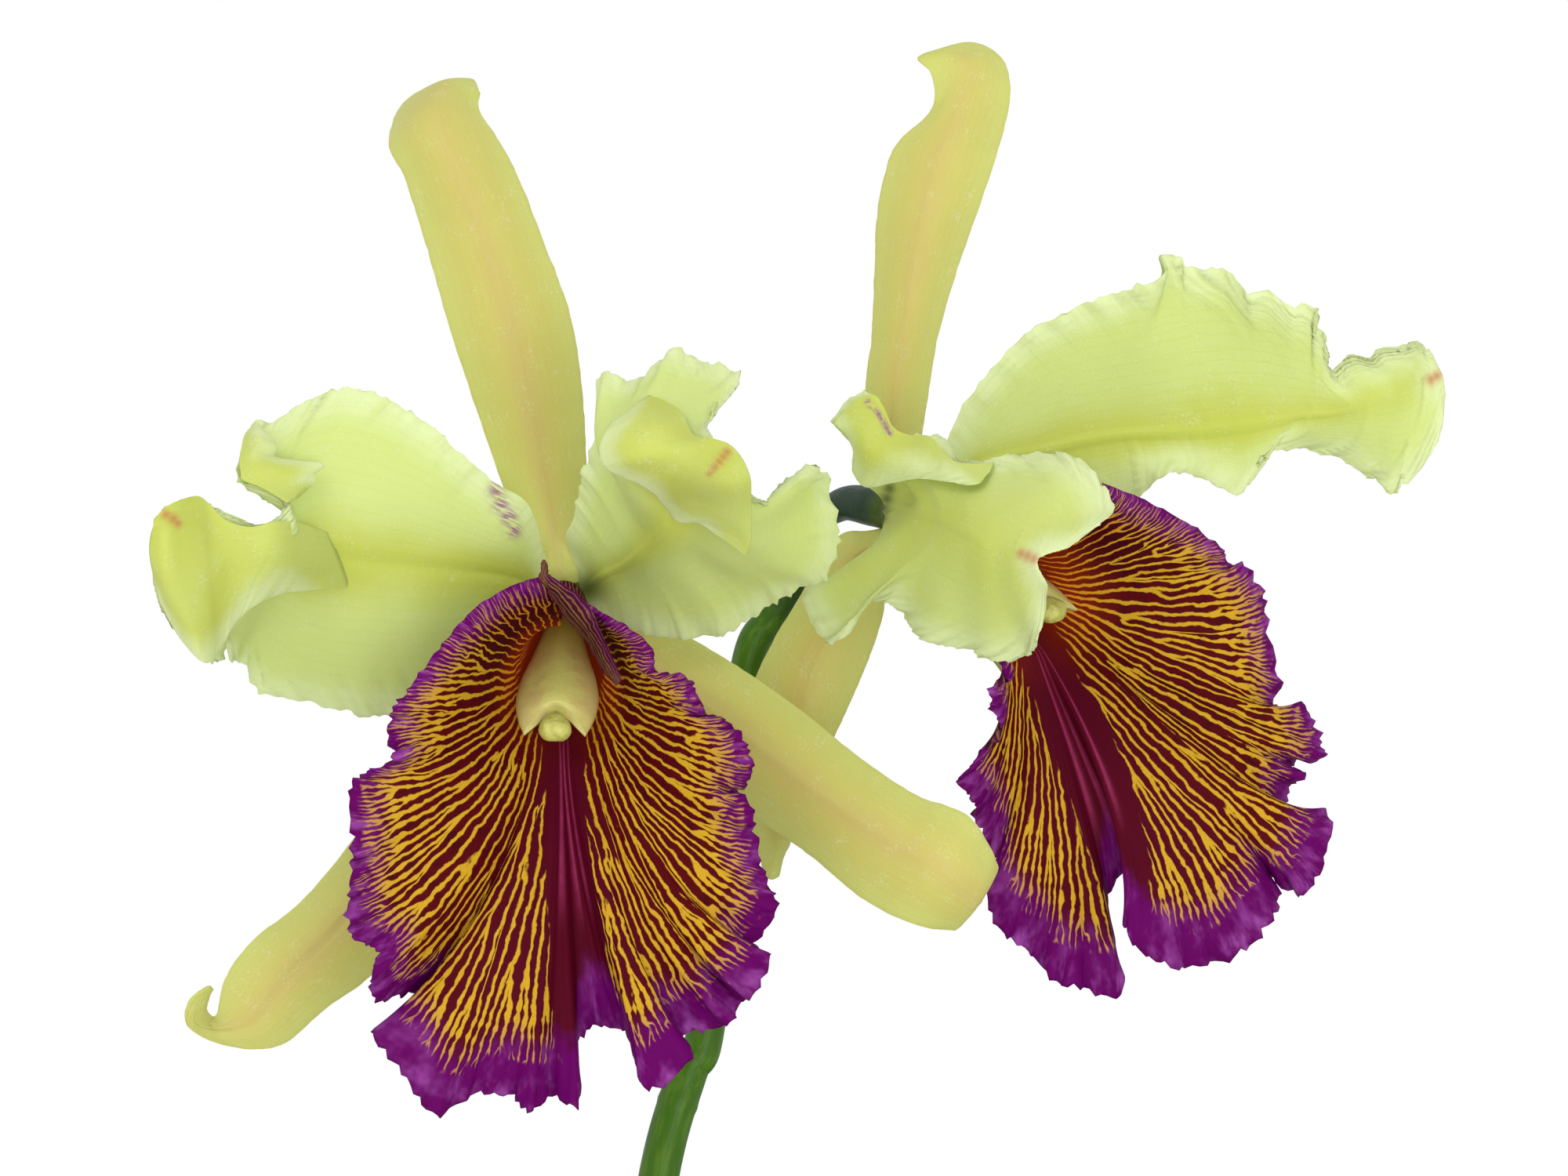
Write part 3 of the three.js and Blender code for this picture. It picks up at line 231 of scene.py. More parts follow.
def stem_rings(run, shares, radii, sides, flatten=1.0):
    """Rings along a run; radii may differ round the stem, one row per share."""
    centres = spline(run, shares)
    forward = tangents(run, shares)
    side = np.array([1.0, 0.0, 0.0])
    side_at = np.empty_like(centres)
    for k, way in enumerate(forward):
        side = unit(side - way * side.dot(way))
        side_at[k] = side
    other_at = np.cross(forward, side_at)
    angles = ring_angles(sides)
    radii = np.broadcast_to(np.reshape(radii, (len(shares), -1)), (len(shares), sides))[..., None]
    rings = centres[:, None] + radii * side_at[:, None] * np.cos(angles)[None, :, None]
    return rings + radii * flatten * other_at[:, None] * np.sin(angles)[None, :, None]


def per_ring(values, sides, ends=(0.0, 0.0)):
    """Numbers per ring as numbers per point, the middles of both ends included."""
    return np.append(np.repeat(values, sides), ends)


def rounded_off(place_share, power):
    """1 over most of a length and a third at its end, for ends that close softly."""
    return np.sqrt(np.clip(1.02 - place_share**power, 0.1, 1))


class Heap:
    """Several closed bodies gathered into one piece."""

    def __init__(self):
        self.points, self.faces, self.traits, self.count = [], [], [], 0

    def add(self, points, faces, **traits):
        self.points.append(points)
        self.faces += [tuple(int(k) + self.count for k in f) for f in faces]
        full = {key: np.broadcast_to(value, (len(points),)) for key, value in traits.items()}
        self.traits.append(full)
        self.count += len(points)

    def add_rings(self, rings, **traits):
        self.add(*close_rings(rings), **traits)

    def piece(self, name):
        keys = {key for traits in self.traits for key in traits}
        joined = {}
        for key in sorted(keys):
            layers = [t.get(key, np.zeros(len(p))) for t, p in zip(self.traits, self.points)]
            joined[key] = np.concatenate(layers)
        return add_piece(name, np.concatenate(self.points), self.faces, joined)


# Finishes
def tint(colour):
    """A picked colour as the shader's light values."""
    straight_part, power = 0.04045, 2.4
    flat = [c / 12.92 if c <= straight_part else ((c + 0.055) / 1.055) ** power for c in colour[:3]]
    return (*flat, 1.0)


class Amount:
    """A number in a finish; sums on it add the nodes they need."""

    def __init__(self, finish, socket):
        self.finish, self.socket = finish, socket

    def _sum(self, operation, *values):
        node = self.finish.node("ShaderNodeMath", {"operation": operation}, dict(enumerate(values)))
        return Amount(self.finish, node.outputs[0])

    def __add__(self, other):
        return self._sum("ADD", self, other)

    def __sub__(self, other):
        return self._sum("SUBTRACT", self, other)

    def __rsub__(self, other):
        return self._sum("SUBTRACT", other, self)

    def __mul__(self, other):
        return self._sum("MULTIPLY", self, other)

    def __truediv__(self, other):
        return self._sum("DIVIDE", self, other)

    def __rtruediv__(self, other):
        return self._sum("DIVIDE", other, self)

    __radd__ = __add__
    __rmul__ = __mul__

    def floor(self):
        return self._sum("FLOOR", self)

    def fraction(self):
        return self._sum("FRACT", self)

    def size(self):
        return self._sum("ABSOLUTE", self)

    def least(self, other):
        return self._sum("MINIMUM", self, other)

    def most(self, other):
        return self._sum("MAXIMUM", self, other)

    def above(self, limit):
        return self._sum("GREATER_THAN", self, limit)

    def ramp(self, low, high, start=0.0, end=1.0):
        """start below low, end above high, smooth between; low may be the larger one."""
        if not isinstance(low, Amount) and not isinstance(high, Amount) and low > high:
            low, high, start, end = high, low, end, start
        names = dict(zip(("Value", "From Min", "From Max", "To Min", "To Max"),
                         (self, low, high, start, end)))
        node = self.finish.node("ShaderNodeMapRange", {"interpolation_type": "SMOOTHSTEP"}, names)
        return Amount(self.finish, node.outputs[0])


class Shading:
    """The nodes of a material or of the sky."""

    def __init__(self, owner, output):
        owner.use_nodes = True
        self.tree = owner.node_tree
        self.tree.nodes.clear()
        self.output = self.node(output)

    def node(self, kind, settings=None, values=None):
        """A node with its settings and inputs; what another node gives is linked."""
        node = self.tree.nodes.new(kind)
        for key, value in (settings or {}).items():
            setattr(node, key, value)
        for key, value in (values or {}).items():
            if value is None:
                continue
            if isinstance(value, Amount):
                value = value.socket
            if isinstance(value, bpy.types.NodeSocket):
                self.tree.links.new(value, node.inputs[key])
            else:
                node.inputs[key].default_value = tint(value) if isinstance(value, Color) else value
        return node

    def show(self, shader):
        self.tree.links.new(shader, self.output.inputs["Surface"])


class Finish(Shading):
    """A material made of nodes."""

    def __init__(self, name):
        self.material = bpy.data.materials.new(name)
        super().__init__(self.material, "ShaderNodeOutputMaterial")

    def trait(self, name):
        node = self.node("ShaderNodeAttribute", {"attribute_name": name})
        return Amount(self, node.outputs["Fac"])

    def _noise(self, where, scale, detail, rough):
        values = {"Vector": where, "Scale": scale, "Detail": detail, "Roughness": rough}
        return Amount(self, self.node("ShaderNodeTexNoise", values=values).outputs["Fac"])

    def speckle(self, grain, detail=2.0, rough=0.5):
        """Soft noise from 0 to 1 whose grains are about that many millimetres wide."""
        where = self.node("ShaderNodeTexCoord").outputs["Object"]
        return self._noise(where, 1.0 / (grain * METRES), detail, rough)

    def streaks(self, x, y, z=0.0, detail=2.0, rough=0.5):
        """Soft noise from 0 to 1 over places that traits give, drawn out along the smaller one."""
        where = self.node("ShaderNodeCombineXYZ", values={0: x, 1: y, 2: z}).outputs[0]
        return self._noise(where, 1.0, detail, rough)

    def chance(self, number):
        """An even chance from 0 to 1 for every whole number."""
        node = self.node("ShaderNodeTexWhiteNoise", {"noise_dimensions": "1D"}, {"W": number})
        return Amount(self, node.outputs["Value"])

    def blend(self, under, over, share):
        values = {0: share, 6: under, 7: over}
        return self.node("ShaderNodeMix", {"data_type": "RGBA"}, values).outputs[2]

    def layers(self, colour, *coats):
        """A colour under coats, each one a colour and its share."""
        for over, share in coats:
            colour = self.blend(colour, over, share)
        return colour

    def bump(self, height, depth, strength=1.0):
        """Relief of that many millimetres where height is 1."""
        values = {"Height": height, "Distance": depth * METRES, "Strength": strength}
        return self.node("ShaderNodeBump", values=values).outputs[0]

    def close(self, colour, roughness, relief=None, glow=None, share=0.0, **fixed):
        """The surface shader, with a share of light let through in the glow colour."""
        values = {"Base Color": colour, "Roughness": roughness, "Normal": relief, **fixed}
        shader = self.node("ShaderNodeBsdfPrincipled", values=values).outputs[0]
        if share:
            through = self.node("ShaderNodeBsdfTranslucent", values={"Color": glow}).outputs[0]
            shader = self.node("ShaderNodeMixShader", values={0: share, 1: shader, 2: through}).outputs[0]
        self.show(shader)
        return self.material


def vein_distance(finish, flow, spacing, levels, opening):
    """Millimetres to the nearest of a set of lines that fork wherever there is room.

    Lines stand at whole numbers of flow. Where the room between two of them passes
    opening millimetres, a new line leaves one of them for the middle between both.
    """
    nearest = ((flow + 0.5).fraction() - 0.5).size() * spacing
    cell = 1.0
    for level in range(levels):
        share = flow / cell
        number = share.floor() + 31.7 * (level + 1)
        inside = share.fraction()
        flip = finish.chance(number).above(0.5)
        inside = inside + flip * (1.0 - 2.0 * inside)
        room = spacing * cell * (0.86 + 0.28 * finish.chance(number + 0.37))
        apart = room.ramp(opening, opening * 1.45)
        line = (inside - 0.5 * apart).size() * spacing * cell
        # A line that has no room yet counts as far away
        nearest = nearest.least(line + apart.ramp(0.02, 0.0, 0.0, 9.0))
        cell /= 2.0
    return nearest


def lip_finish(colours, sizes):
    f = Finish("lip_velvet")
    flow, spacing = f.trait("flow"), f.trait("spacing").most(0.2)
    gold_run, inside, turn = f.trait("gold"), f.trait("inside"), f.trait("turn").size()
    throat, back = f.trait("throat"), f.trait("back")
    broad, middle, fine = f.speckle(7.0), f.speckle(2.2), f.speckle(0.8)
    shift = ((broad - 0.5) * 1.7 + (middle - 0.5) * 0.9 + (fine - 0.5) * 0.22) / spacing
    pitch = sizes.vein_pitch / METRES
    opening = f.trait("edge").ramp(2.5, 11.0, pitch * 0.68, pitch * 1.42)
    distance = vein_distance(f, flow + shift, spacing, 5, opening)
    outer = inside.ramp(16.0, 5.0)
    along = f.streaks(flow * 2.0, f.trait("out") * 0.55, detail=1.0)
    wide = pitch * (0.19 + 0.06 * throat + 0.06 * outer) + (along - 0.5) * (0.25 + 0.6 * outer)
    wide = wide * inside.ramp(-0.5, 6.0, 0.3, 1.0) * gold_run.ramp(0.0, 7.0, 0.5, 1.0)
    wide = wide * turn.ramp(85.0, 130.0, 1.0, 0.5)
    line = (wide - distance).ramp(-0.1, 0.1)
    start = (gold_run + (broad - 0.5) * 8.0 + (along - 0.5) * 3.0).ramp(-1.0, 1.5)
    fade = (inside + (middle - 0.5) * 5.0 + (along - 0.5) * 5.0).ramp(-0.8, 1.4)
    gold = line * start * fade

    ground = f.layers(
        colours.lip_ground,
        (colours.lip_crimson, turn.ramp(34.0, 6.0)),
        (colours.lip_shade, (middle * turn.ramp(12.0, 40.0)).ramp(0.4, 0.75, 0.0, 0.55)),
        # Painted shade: the top of the lip, where it turns into the tube, is darkened with the deep velvet
        # colour
        (colours.lip_shade, turn.ramp(85.0, 130.0, 0.0, 0.6)),
        (colours.lip_glow, throat * 0.75),
    )
    rim = (inside + (middle - 0.5) * 5.0).ramp(5.5, -0.5)
    ground = f.blend(ground, colours.lip_margin, rim)
    streak = f.streaks(flow * 3.4, f.trait("out") * 0.12, detail=3.0, rough=0.65)
    pale = streak.ramp(0.45, 0.8) * rim
    ground = f.blend(ground, colours.lip_lilac, pale * f.trait("edge").ramp(5.0, 0.2, 0.38, 0.9))
    faint = f.trait("rib_line")
    ground = f.blend(ground, colours.lip_pink, faint * (0.35 + 0.4 * along))

    bright = f.blend(colours.lip_gold, colours.lip_amber, throat.most(turn.ramp(110.0, 150.0)))
    bright = f.blend(bright, colours.lip_tan, inside.ramp(6.5, 0.8))
    front = f.blend(ground, bright, gold)
    under = f.blend(colours.lip_back, colours.lip_margin, f.trait("edge").ramp(1.6, 0.1, 0.0, 0.5))
    under = f.blend(under, colours.lip_tan, line * 0.35)
    colour = f.blend(front, under, back)
    grain = f.speckle(0.35, detail=3.0)
    colour = f.blend(colour, colours.lip_shade, grain.ramp(0.5, 0.8, 0.0, 0.18))
    relief = f.bump(gold * 0.3 + grain * 0.4 + streak * 0.6, 0.16)
    # Painted light: the throat glows faintly in its own colour, as if light reached deep into it
    painted_throat_glow = f.blend((0.0, 0.0, 0.0, 1.0), colour, throat)
    return f.close(colour, 0.6 + 0.1 * grain, relief, colours.lip_light, 0.1,
                   **{"Specular IOR Level": 0.06, "Emission Color": painted_throat_glow, "Emission Strength": 0.3})


def blade_finish(name, colours, sepal):
    """Petals and sepals: fine lengthwise veins, a deeper band over the rib, paler margins."""
    f = Finish(name)
    across, along, edge = f.trait("across"), f.trait("along"), f.trait("edge")
    back = f.trait("back")
    broad, middle, grain = f.speckle(14.0), f.speckle(3.0, detail=3.0), f.speckle(0.45, detail=2.0)
    rib = across.size() + (broad - 0.5) * 0.35
    if sepal:
        base, deep, margin = colours.sepal, colours.sepal_band, colours.sepal_margin
    else:
        base, deep, margin = colours.petal, colours.petal_rib, colours.petal_margin_painted_light
    colour = f.layers(
        base,
        (deep, rib.ramp(0.42, 0.03, 0.0, 0.5 if sepal else 0.75) * along.ramp(0.95, 0.45, 0.55, 1.0)),
        # On petals the paler margins are painted light let through the thin edges; sepal margins are greener
        (margin, (edge + (middle - 0.5) * 3.0).ramp(7.0, 0.5, 0.0, 0.85)),
    )
    if sepal:
        tip = (along + (broad - 0.5) * 0.2).ramp(0.78, 0.98)
        colour = f.blend(colour, colours.sepal_tip, tip * 0.75)
        colour = f.blend(colour, colours.sepal_tip, along.ramp(0.14, 0.0) * 0.5)
    veins = vein_distance(f, f.trait("vein") + (middle - 0.5) * 0.5, f.trait("spacing").most(0.1), 1, 2.0)
    line = veins.ramp(0.3, 0.03) * (0.3 + 0.7 * middle)
    colour = f.layers(
        colour,
        (deep, line * 0.14),
        (colours.petal_light, (grain * middle).ramp(0.28, 0.5, 0.0, 0.35)),
        (colours.petal_shade, middle.ramp(0.55, 0.9, 0.0, 0.18)),
    )
    flecks = f.streaks(f.trait("vein") * 3.0, f.trait("out") * 0.35, detail=3.0)
    colour = f.layers(
        colour,
        (colours.fleck, f.trait("fleck") * flecks.ramp(0.38, 0.53)),
        (colours.blush, f.trait("blush") * (0.45 + 0.55 * flecks)),
        # Painted shade: dark olive marks in the heart of a bloom and along the crevice at a petal's foot
        (colours.olive_painted_shade, f.trait("shade")),
        (colours.petal_back, back * 0.3),
    )
    pleat = f.streaks(f.trait("out") * 0.42, edge * 0.05, across.above(0.0) * 7.0, detail=3.0)
    pleat = pleat * edge.ramp(12.0, 0.5) * along.ramp(0.95, 0.82)
    # Painted shade: on petals the creases that run in from the margins are darkened with the rib colour
    if not sepal:
        colour = f.blend(colour, colours.petal_rib, pleat.ramp(0.4, 0.75, 0.0, 0.3))
    relief = f.bump(line * -0.08 + grain * 0.12 + pleat * (0.3 if sepal else 1.4), 0.25)
    glow = colours.sepal_light if sepal else colours.petal_glow
    return f.close(colour, 0.46 + 0.14 * middle, relief, glow, 0.26,
                   **{"Sheen Weight": 0.08, "Specular IOR Level": 0.3})


def column_finish(colours):
    f = Finish("column_flesh")
    along, middle, fine = f.trait("along"), f.speckle(2.5), f.speckle(0.5)
    colour = f.blend(colours.column_top, colours.column, along.ramp(0.1, 0.6))
    pink = (f.trait("across").size() * 0.5 + middle).ramp(0.55, 0.95) * along.ramp(0.2, 0.6)
    colour = f.layers(
        colour,
        (colours.column_pink, pink * 0.6),
        (colours.column_rim, along.ramp(0.86, 1.0, 0.0, 0.6)),
    )
    relief = f.bump(fine * 0.5 + middle, 0.15)
    return f.close(colour, 0.38 + 0.15 * fine, relief, colours.petal_glow, 0.12,
                   **{"Specular IOR Level": 0.45})


def anther_finish(colours):
    f = Finish("anther_wax")
    middle, fine = f.speckle(1.2), f.speckle(0.3)
    colour = f.layers(
        colours.anther,
        (colours.anther_shade, middle.ramp(0.4, 0.75, 0.0, 0.7)),
        (colours.column_pink, f.trait("along").ramp(0.25, 0.0) * 0.4),
    )
    return f.close(colour, 0.35 + 0.2 * fine, f.bump(middle + fine * 0.4, 0.2), colours.petal_glow, 0.1)


def stem_finish(colours):
    f = Finish("flower_stem_green")
    broad, middle, fine = f.speckle(9.0), f.speckle(2.0), f.speckle(0.35)
    stripes = f.streaks(f.trait("round") * 9.0, f.trait("along") * 0.12, detail=2.0)
    colour = f.layers(
        colours.stem,
        (colours.stem_light, stripes.ramp(0.4, 0.75, 0.0, 0.7)),
        (colours.stem_dark, broad.ramp(0.5, 0.8, 0.0, 0.35)),
        (colours.stalk_blue, f.trait("cool")),
        # Painted shade: the stalk ends deep in the heart of a bloom are darkened olive
        (colours.olive_painted_shade, f.trait("heart") * 0.7),
        (colours.stem_light, fine.ramp(0.62, 0.75, 0.0, 0.3)),
    )
    relief = f.bump(stripes + fine * 0.3, 0.12)
    return f.close(colour, 0.34 + 0.2 * middle, relief, **{"Specular IOR Level": 0.25})


def bulb_finish(colours):
    f = Finish("swollen_stem_skin")
    broad, middle, fine = f.speckle(11.0, detail=3.0), f.speckle(2.5, detail=3.0), f.speckle(0.4)
    stripes = f.streaks(f.trait("round") * 7.0, f.trait("up") * 0.03, detail=3.0)
    colour = f.layers(
        colours.bulb,
        (colours.bulb_dark, stripes.ramp(0.42, 0.7, 0.0, 0.75)),
        (colours.bulb_old, (f.trait("age") + broad - 0.5).ramp(0.3, 1.0, 0.0, 0.8)),
        (colours.rhizome, (f.trait("low") + (middle - 0.5) * 0.5).ramp(0.3, 0.8)),
        (colours.bulb_scar, f.trait("scar") * (0.4 + 0.6 * middle)),
    )
    relief = f.bump(stripes * 0.8 + middle * 0.3 + fine * 0.15, 0.4)
    return f.close(colour, 0.38 + 0.3 * middle, relief, **{"Specular IOR Level": 0.4})


def leaf_finish(colours):
    f = Finish("leaf_leather")
    across, along, back = f.trait("across"), f.trait("along"), f.trait("back")
    broad, middle, fine = f.speckle(16.0), f.speckle(3.0, detail=3.0), f.speckle(0.3)
    fibres = f.streaks(across * 26.0, f.trait("out") * 0.02, detail=3.0, rough=0.6)
    colour = f.layers(
        colours.leaf,
        (colours.leaf_dark, (broad + fibres * 0.5).ramp(0.55, 1.0, 0.0, 0.8)),
        (colours.leaf_light, fibres.ramp(0.5, 0.8, 0.0, 0.35)),
        (colours.leaf_rib, across.size().ramp(0.09, 0.01, 0.0, 0.65)),
        (colours.leaf_light, across.size().ramp(0.93, 1.0, 0.0, 0.6)),
        (colours.leaf_back, back * 0.75),
        (colours.bulb, along.ramp(0.12, 0.0, 0.0, 0.7)),
    )
    relief = f.bump(fibres * 0.6 + middle * 0.3 + fine * 0.12, 0.3)
    return f.close(colour, 0.30 + 0.22 * middle, relief, colours.leaf_glow, 0.06,
                   **{"Specular IOR Level": 0.5, "Coat Weight": 0.08, "Coat Roughness": 0.35})


def sheath_finish(colours):
    f = Finish("dry_sheath")
    along = f.trait("along")
    fibres = f.streaks(f.trait("across") * 16.0, f.trait("out") * 0.05, detail=4.0, rough=0.7)
    middle, fine = f.speckle(4.0, detail=3.0), f.speckle(0.4)
    colour = f.layers(
        colours.sheath,
        (colours.sheath_dry, (along + middle - 0.5).ramp(0.2, 0.9)),
        (colours.sheath_vein, fibres.ramp(0.5, 0.75, 0.0, 0.6)),
        (colours.sheath_vein, along.ramp(0.93, 1.0, 0.0, 0.5)),
    )
    relief = f.bump(fibres + fine * 0.3, 0.3)
    return f.close(colour, 0.6 + 0.2 * middle, relief, colours.sheath_dry, 0.25)


def root_finish(colours):
    f = Finish("root_velamen")
    broad, middle, fine = f.speckle(6.0, detail=3.0), f.speckle(1.5, detail=3.0), f.speckle(0.35)
    colour = f.layers(
        colours.root,
        (colours.root_dark, middle.ramp(0.45, 0.75, 0.0, 0.6)),
        (colours.root_brown, broad.ramp(0.55, 0.75, 0.0, 0.6)),
        (colours.root_tip, f.trait("along").ramp(0.82, 0.98, 0.0, 0.8)),
    )
    relief = f.bump(middle * 0.6 + fine * 0.5, 0.3)
    return f.close(colour, 0.72 + 0.2 * fine, relief)


def bark_finish(colours):
    f = Finish("fir_bark")
    chip = f.trait("chip")
    layers = f.streaks(f.trait("grain") * 1.3, f.trait("length") * 0.15, chip * 9.0, detail=4.0)
    broad, middle, fine = f.speckle(5.0, detail=3.0), f.speckle(1.4, detail=4.0, rough=0.7), f.speckle(0.3)
    colour = f.layers(
        colours.bark,
        (colours.bark_red, chip.ramp(0.2, 0.8)),
        (colours.bark_dark, layers.ramp(0.45, 0.62, 0.0, 0.85)),
        (colours.bark_pale, (middle * broad).ramp(0.3, 0.5, 0.0, 0.6)),
    )
    relief = f.bump(layers + middle * 0.6 + fine * 0.2, 0.9)
    return f.close(colour, 0.78 + 0.18 * fine, relief)


def clay_finish(colours):
    f = Finish("fired_clay")
    height = f.trait("up")
    broad, middle = f.speckle(26.0, detail=4.0, rough=0.6), f.speckle(5.0, detail=4.0, rough=0.65)
    fine, grit = f.speckle(1.0, detail=3.0), f.speckle(0.35)
    turning = f.streaks(height * 0.9, broad * 0.6, detail=3.0, rough=0.7)
    colour = f.blend(colours.clay, colours.clay_dark, (broad + turning * 0.3).ramp(0.5, 0.9, 0.0, 0.75))
    bloom = (middle * 0.6 + broad * 0.6 - height.ramp(20.0, 100.0) * 0.12).ramp(0.56, 0.78)
    colour = f.layers(
        colour,
        (colours.clay_bloom, bloom * 0.5),
        # Darker toward the foot of the pot
        (colours.clay_damp_and_shade, (height + middle * 16.0).ramp(22.0, 4.0, 0.0, 0.5)),
        # Painted shade: the inside of the pot is darkened
        (colours.clay_damp_and_shade, f.trait("inner") * 0.55),
        (colours.clay_bloom, (fine * grit).ramp(0.36, 0.46, 0.0, 0.5)),
    )
    relief = f.bump(turning * 0.5 + fine * 0.3 + grit * 0.2, 0.35)
    return f.close(colour, 0.82 + 0.14 * fine, relief, **{"Specular IOR Level": 0.25})


# Blooms
# Rows of points [across, up, back] from the foot of each sepal to its tip
SEPALS = {
    "bloom_1_dorsal_sepal": [
        [[-37.2, 1.5, -1.7], [-35, 1.4, -2.2], [-33, 1.5, -1.8]],
        [[-41, 5.5, 0.5], [-36, 6, -0.5], [-32, 6, 0.5]],
        [[-43, 11, 2], [-37.5, 12.5, 2], [-31.5, 14, 4]],
        [[-48, 25.5, 3], [-40.5, 27.5, 0], [-32, 29, 5]],
        [[-53, 40.5, 2], [-44, 43, -2], [-34, 43, 4]],
        [[-57, 54.5, 2], [-48, 56, -3], [-38.5, 55.5, 3]],
        [[-60.5, 65.5, 3], [-52.5, 67.5, -3], [-42, 64.5, 3]],
        [[-63, 71, 7], [-55.5, 76, 1], [-45, 70.5, 4]],
        [[-60, 78, 15], [-53.5, 80.5, 9], [-48.5, 76, 6]],
        [[-51, 81, 16], [-49.5, 81, 13], [-48.5, 79, 9]],
    ],
    "bloom_1_lateral_sepal_left": [
        [[-39.1, -2.2, 3.1], [-38.1, -4.1, 3.1], [-36.3, -5.3, 3.1]],
        [[-49, -12, 5], [-45, -15.5, 4], [-40, -19.5, 5]],
        [[-60, -27.5, 6], [-53, -31, 4], [-46, -35.5, 6]],
        [[-69, -40.5, 5], [-64, -45.5, 2], [-57, -50, 4]],
        [[-77, -50, 3], [-72, -55, 0], [-65, -61, 2]],
        [[-84.5, -56, 1], [-79.5, -62.5, -2], [-73, -67, 0]],
        [[-89, -62, 0], [-85, -69, -3], [-80.5, -73, -1]],
        [[-90.5, -68, -2], [-90.5, -70.5, -4], [-89, -73, -3]],
        [[-92, -67.3, -6.3], [-94, -69, -7], [-95, -70, -7]],
        [[-91.5, -65, -8], [-93, -65, -9], [-95, -66, -9]],
        [[-91, -64, -9], [-91.5, -63.5, -10], [-92, -63.5, -10]],
    ],
    "bloom_1_lateral_sepal_right": [
        [[-30.4, -2.2, 3.1], [-31.4, -4.1, 3.1], [-33.3, -5.3, 3.1]],
        [[-19, -6, 2], [-21.5, -12, 0], [-25.5, -17.5, 1]],
        [[-9, -11.5, -3], [-11, -20, -6], [-15, -28, -4]],
        [[2, -19, -9], [-2, -27, -13], [-6, -35.5, -10]],
        [[12, -27, -16], [8, -34.5, -20], [4, -42.5, -17]],
        [[21, -33, -22], [17.5, -40.5, -26], [12.5, -49.5, -22]],
        [[29.5, -36.5, -25], [25.5, -45, -29], [20.5, -53.5, -25]],
        [[34, -44, -23], [31, -49.5, -25], [27, -54.5, -22]],
        [[33, -45, -18], [30, -49.5, -19], [27.5, -52.5, -18]],
        [[30, -46, -14], [29, -48, -14], [28, -49.5, -14]],
    ],
    "bloom_2_dorsal_sepal": [
        [[16.5, 16.2, 9.5], [19, 17.2, 9], [21, 16.2, 9.5]],
        [[14, 21, 9.5], [17.5, 21, 7.5], [21.5, 21, 8.5]],
        [[13, 31, 8], [17.5, 30.5, 4], [23, 31, 7]],
        [[14, 40, 7], [19, 40, 2], [24.5, 40, 6]],
        [[14.5, 50.5, 7], [20.5, 50, 1], [27.5, 50.5, 5]],
        [[15, 60.5, 7], [22.5, 60, 0], [31, 60.5, 4]],
        [[17.5, 70, 7], [25, 69.5, 1], [34, 69.5, 4]],
        [[22.5, 75, 4], [28, 77, 0], [36, 78, 3]],
        [[24, 78, 2], [29.5, 83, 0], [35, 84, 4]],
        [[23.5, 82, 1], [26, 85, 2], [30, 87, 5]],
        [[22.3, 83.4, 1], [21.3, 84.4, 2.2], [22.3, 85.2, 3.6]],
    ],
    "bloom_2_lateral_sepal_left": [
        [[16.5, 8, 9.5], [17.5, 7.3, 9], [19, 7.5, 9]],
        [[8, 7.5, 14], [11.5, 4.5, 10], [15.5, 2, 11]],
        [[2.5, -1.5, 15], [9, -4, 10], [16, -3, 11]],
        [[-2, -9, 16], [4.5, -11, 11], [14, -10, 12]],
        [[-5.5, -17.5, 17], [2, -20, 11], [10, -19.5, 13]],
        [[-6, -27.5, 16], [0, -29, 11], [5.5, -29, 13]],
        [[-5.5, -36, 15], [-1, -37, 11], [2.5, -37, 13]],
        [[-4, -42.5, 14], [-1.5, -43, 11], [0, -43, 13]],
        [[-3, -46, 12.5], [-2, -46.5, 11.5], [-0.8, -46, 12.5]],
    ],
    "bloom_2_lateral_sepal_right": [
        [[22.6, 10.6, 11], [21.4, 9.3, 11], [20, 8.6, 10.6]],
        [[29.5, 4, 18], [27, 1, 15], [25, -0.5, 13]],
        [[39, -5, 25], [35.5, -8, 21], [32, -9.5, 17]],
        [[47, -15, 31], [43, -18, 27], [38, -19, 23]],
        [[53, -25, 34], [49, -28, 31], [44, -29.5, 27]],
        [[55, -34, 34], [51.5, -35.5, 32], [48, -37, 29]],
        [[55, -39.5, 32], [52.5, -40.5, 31], [50, -41, 29]],
        [[54, -43.5, 31], [52.5, -44, 30], [51, -43.5, 29.5]],
    ],
}

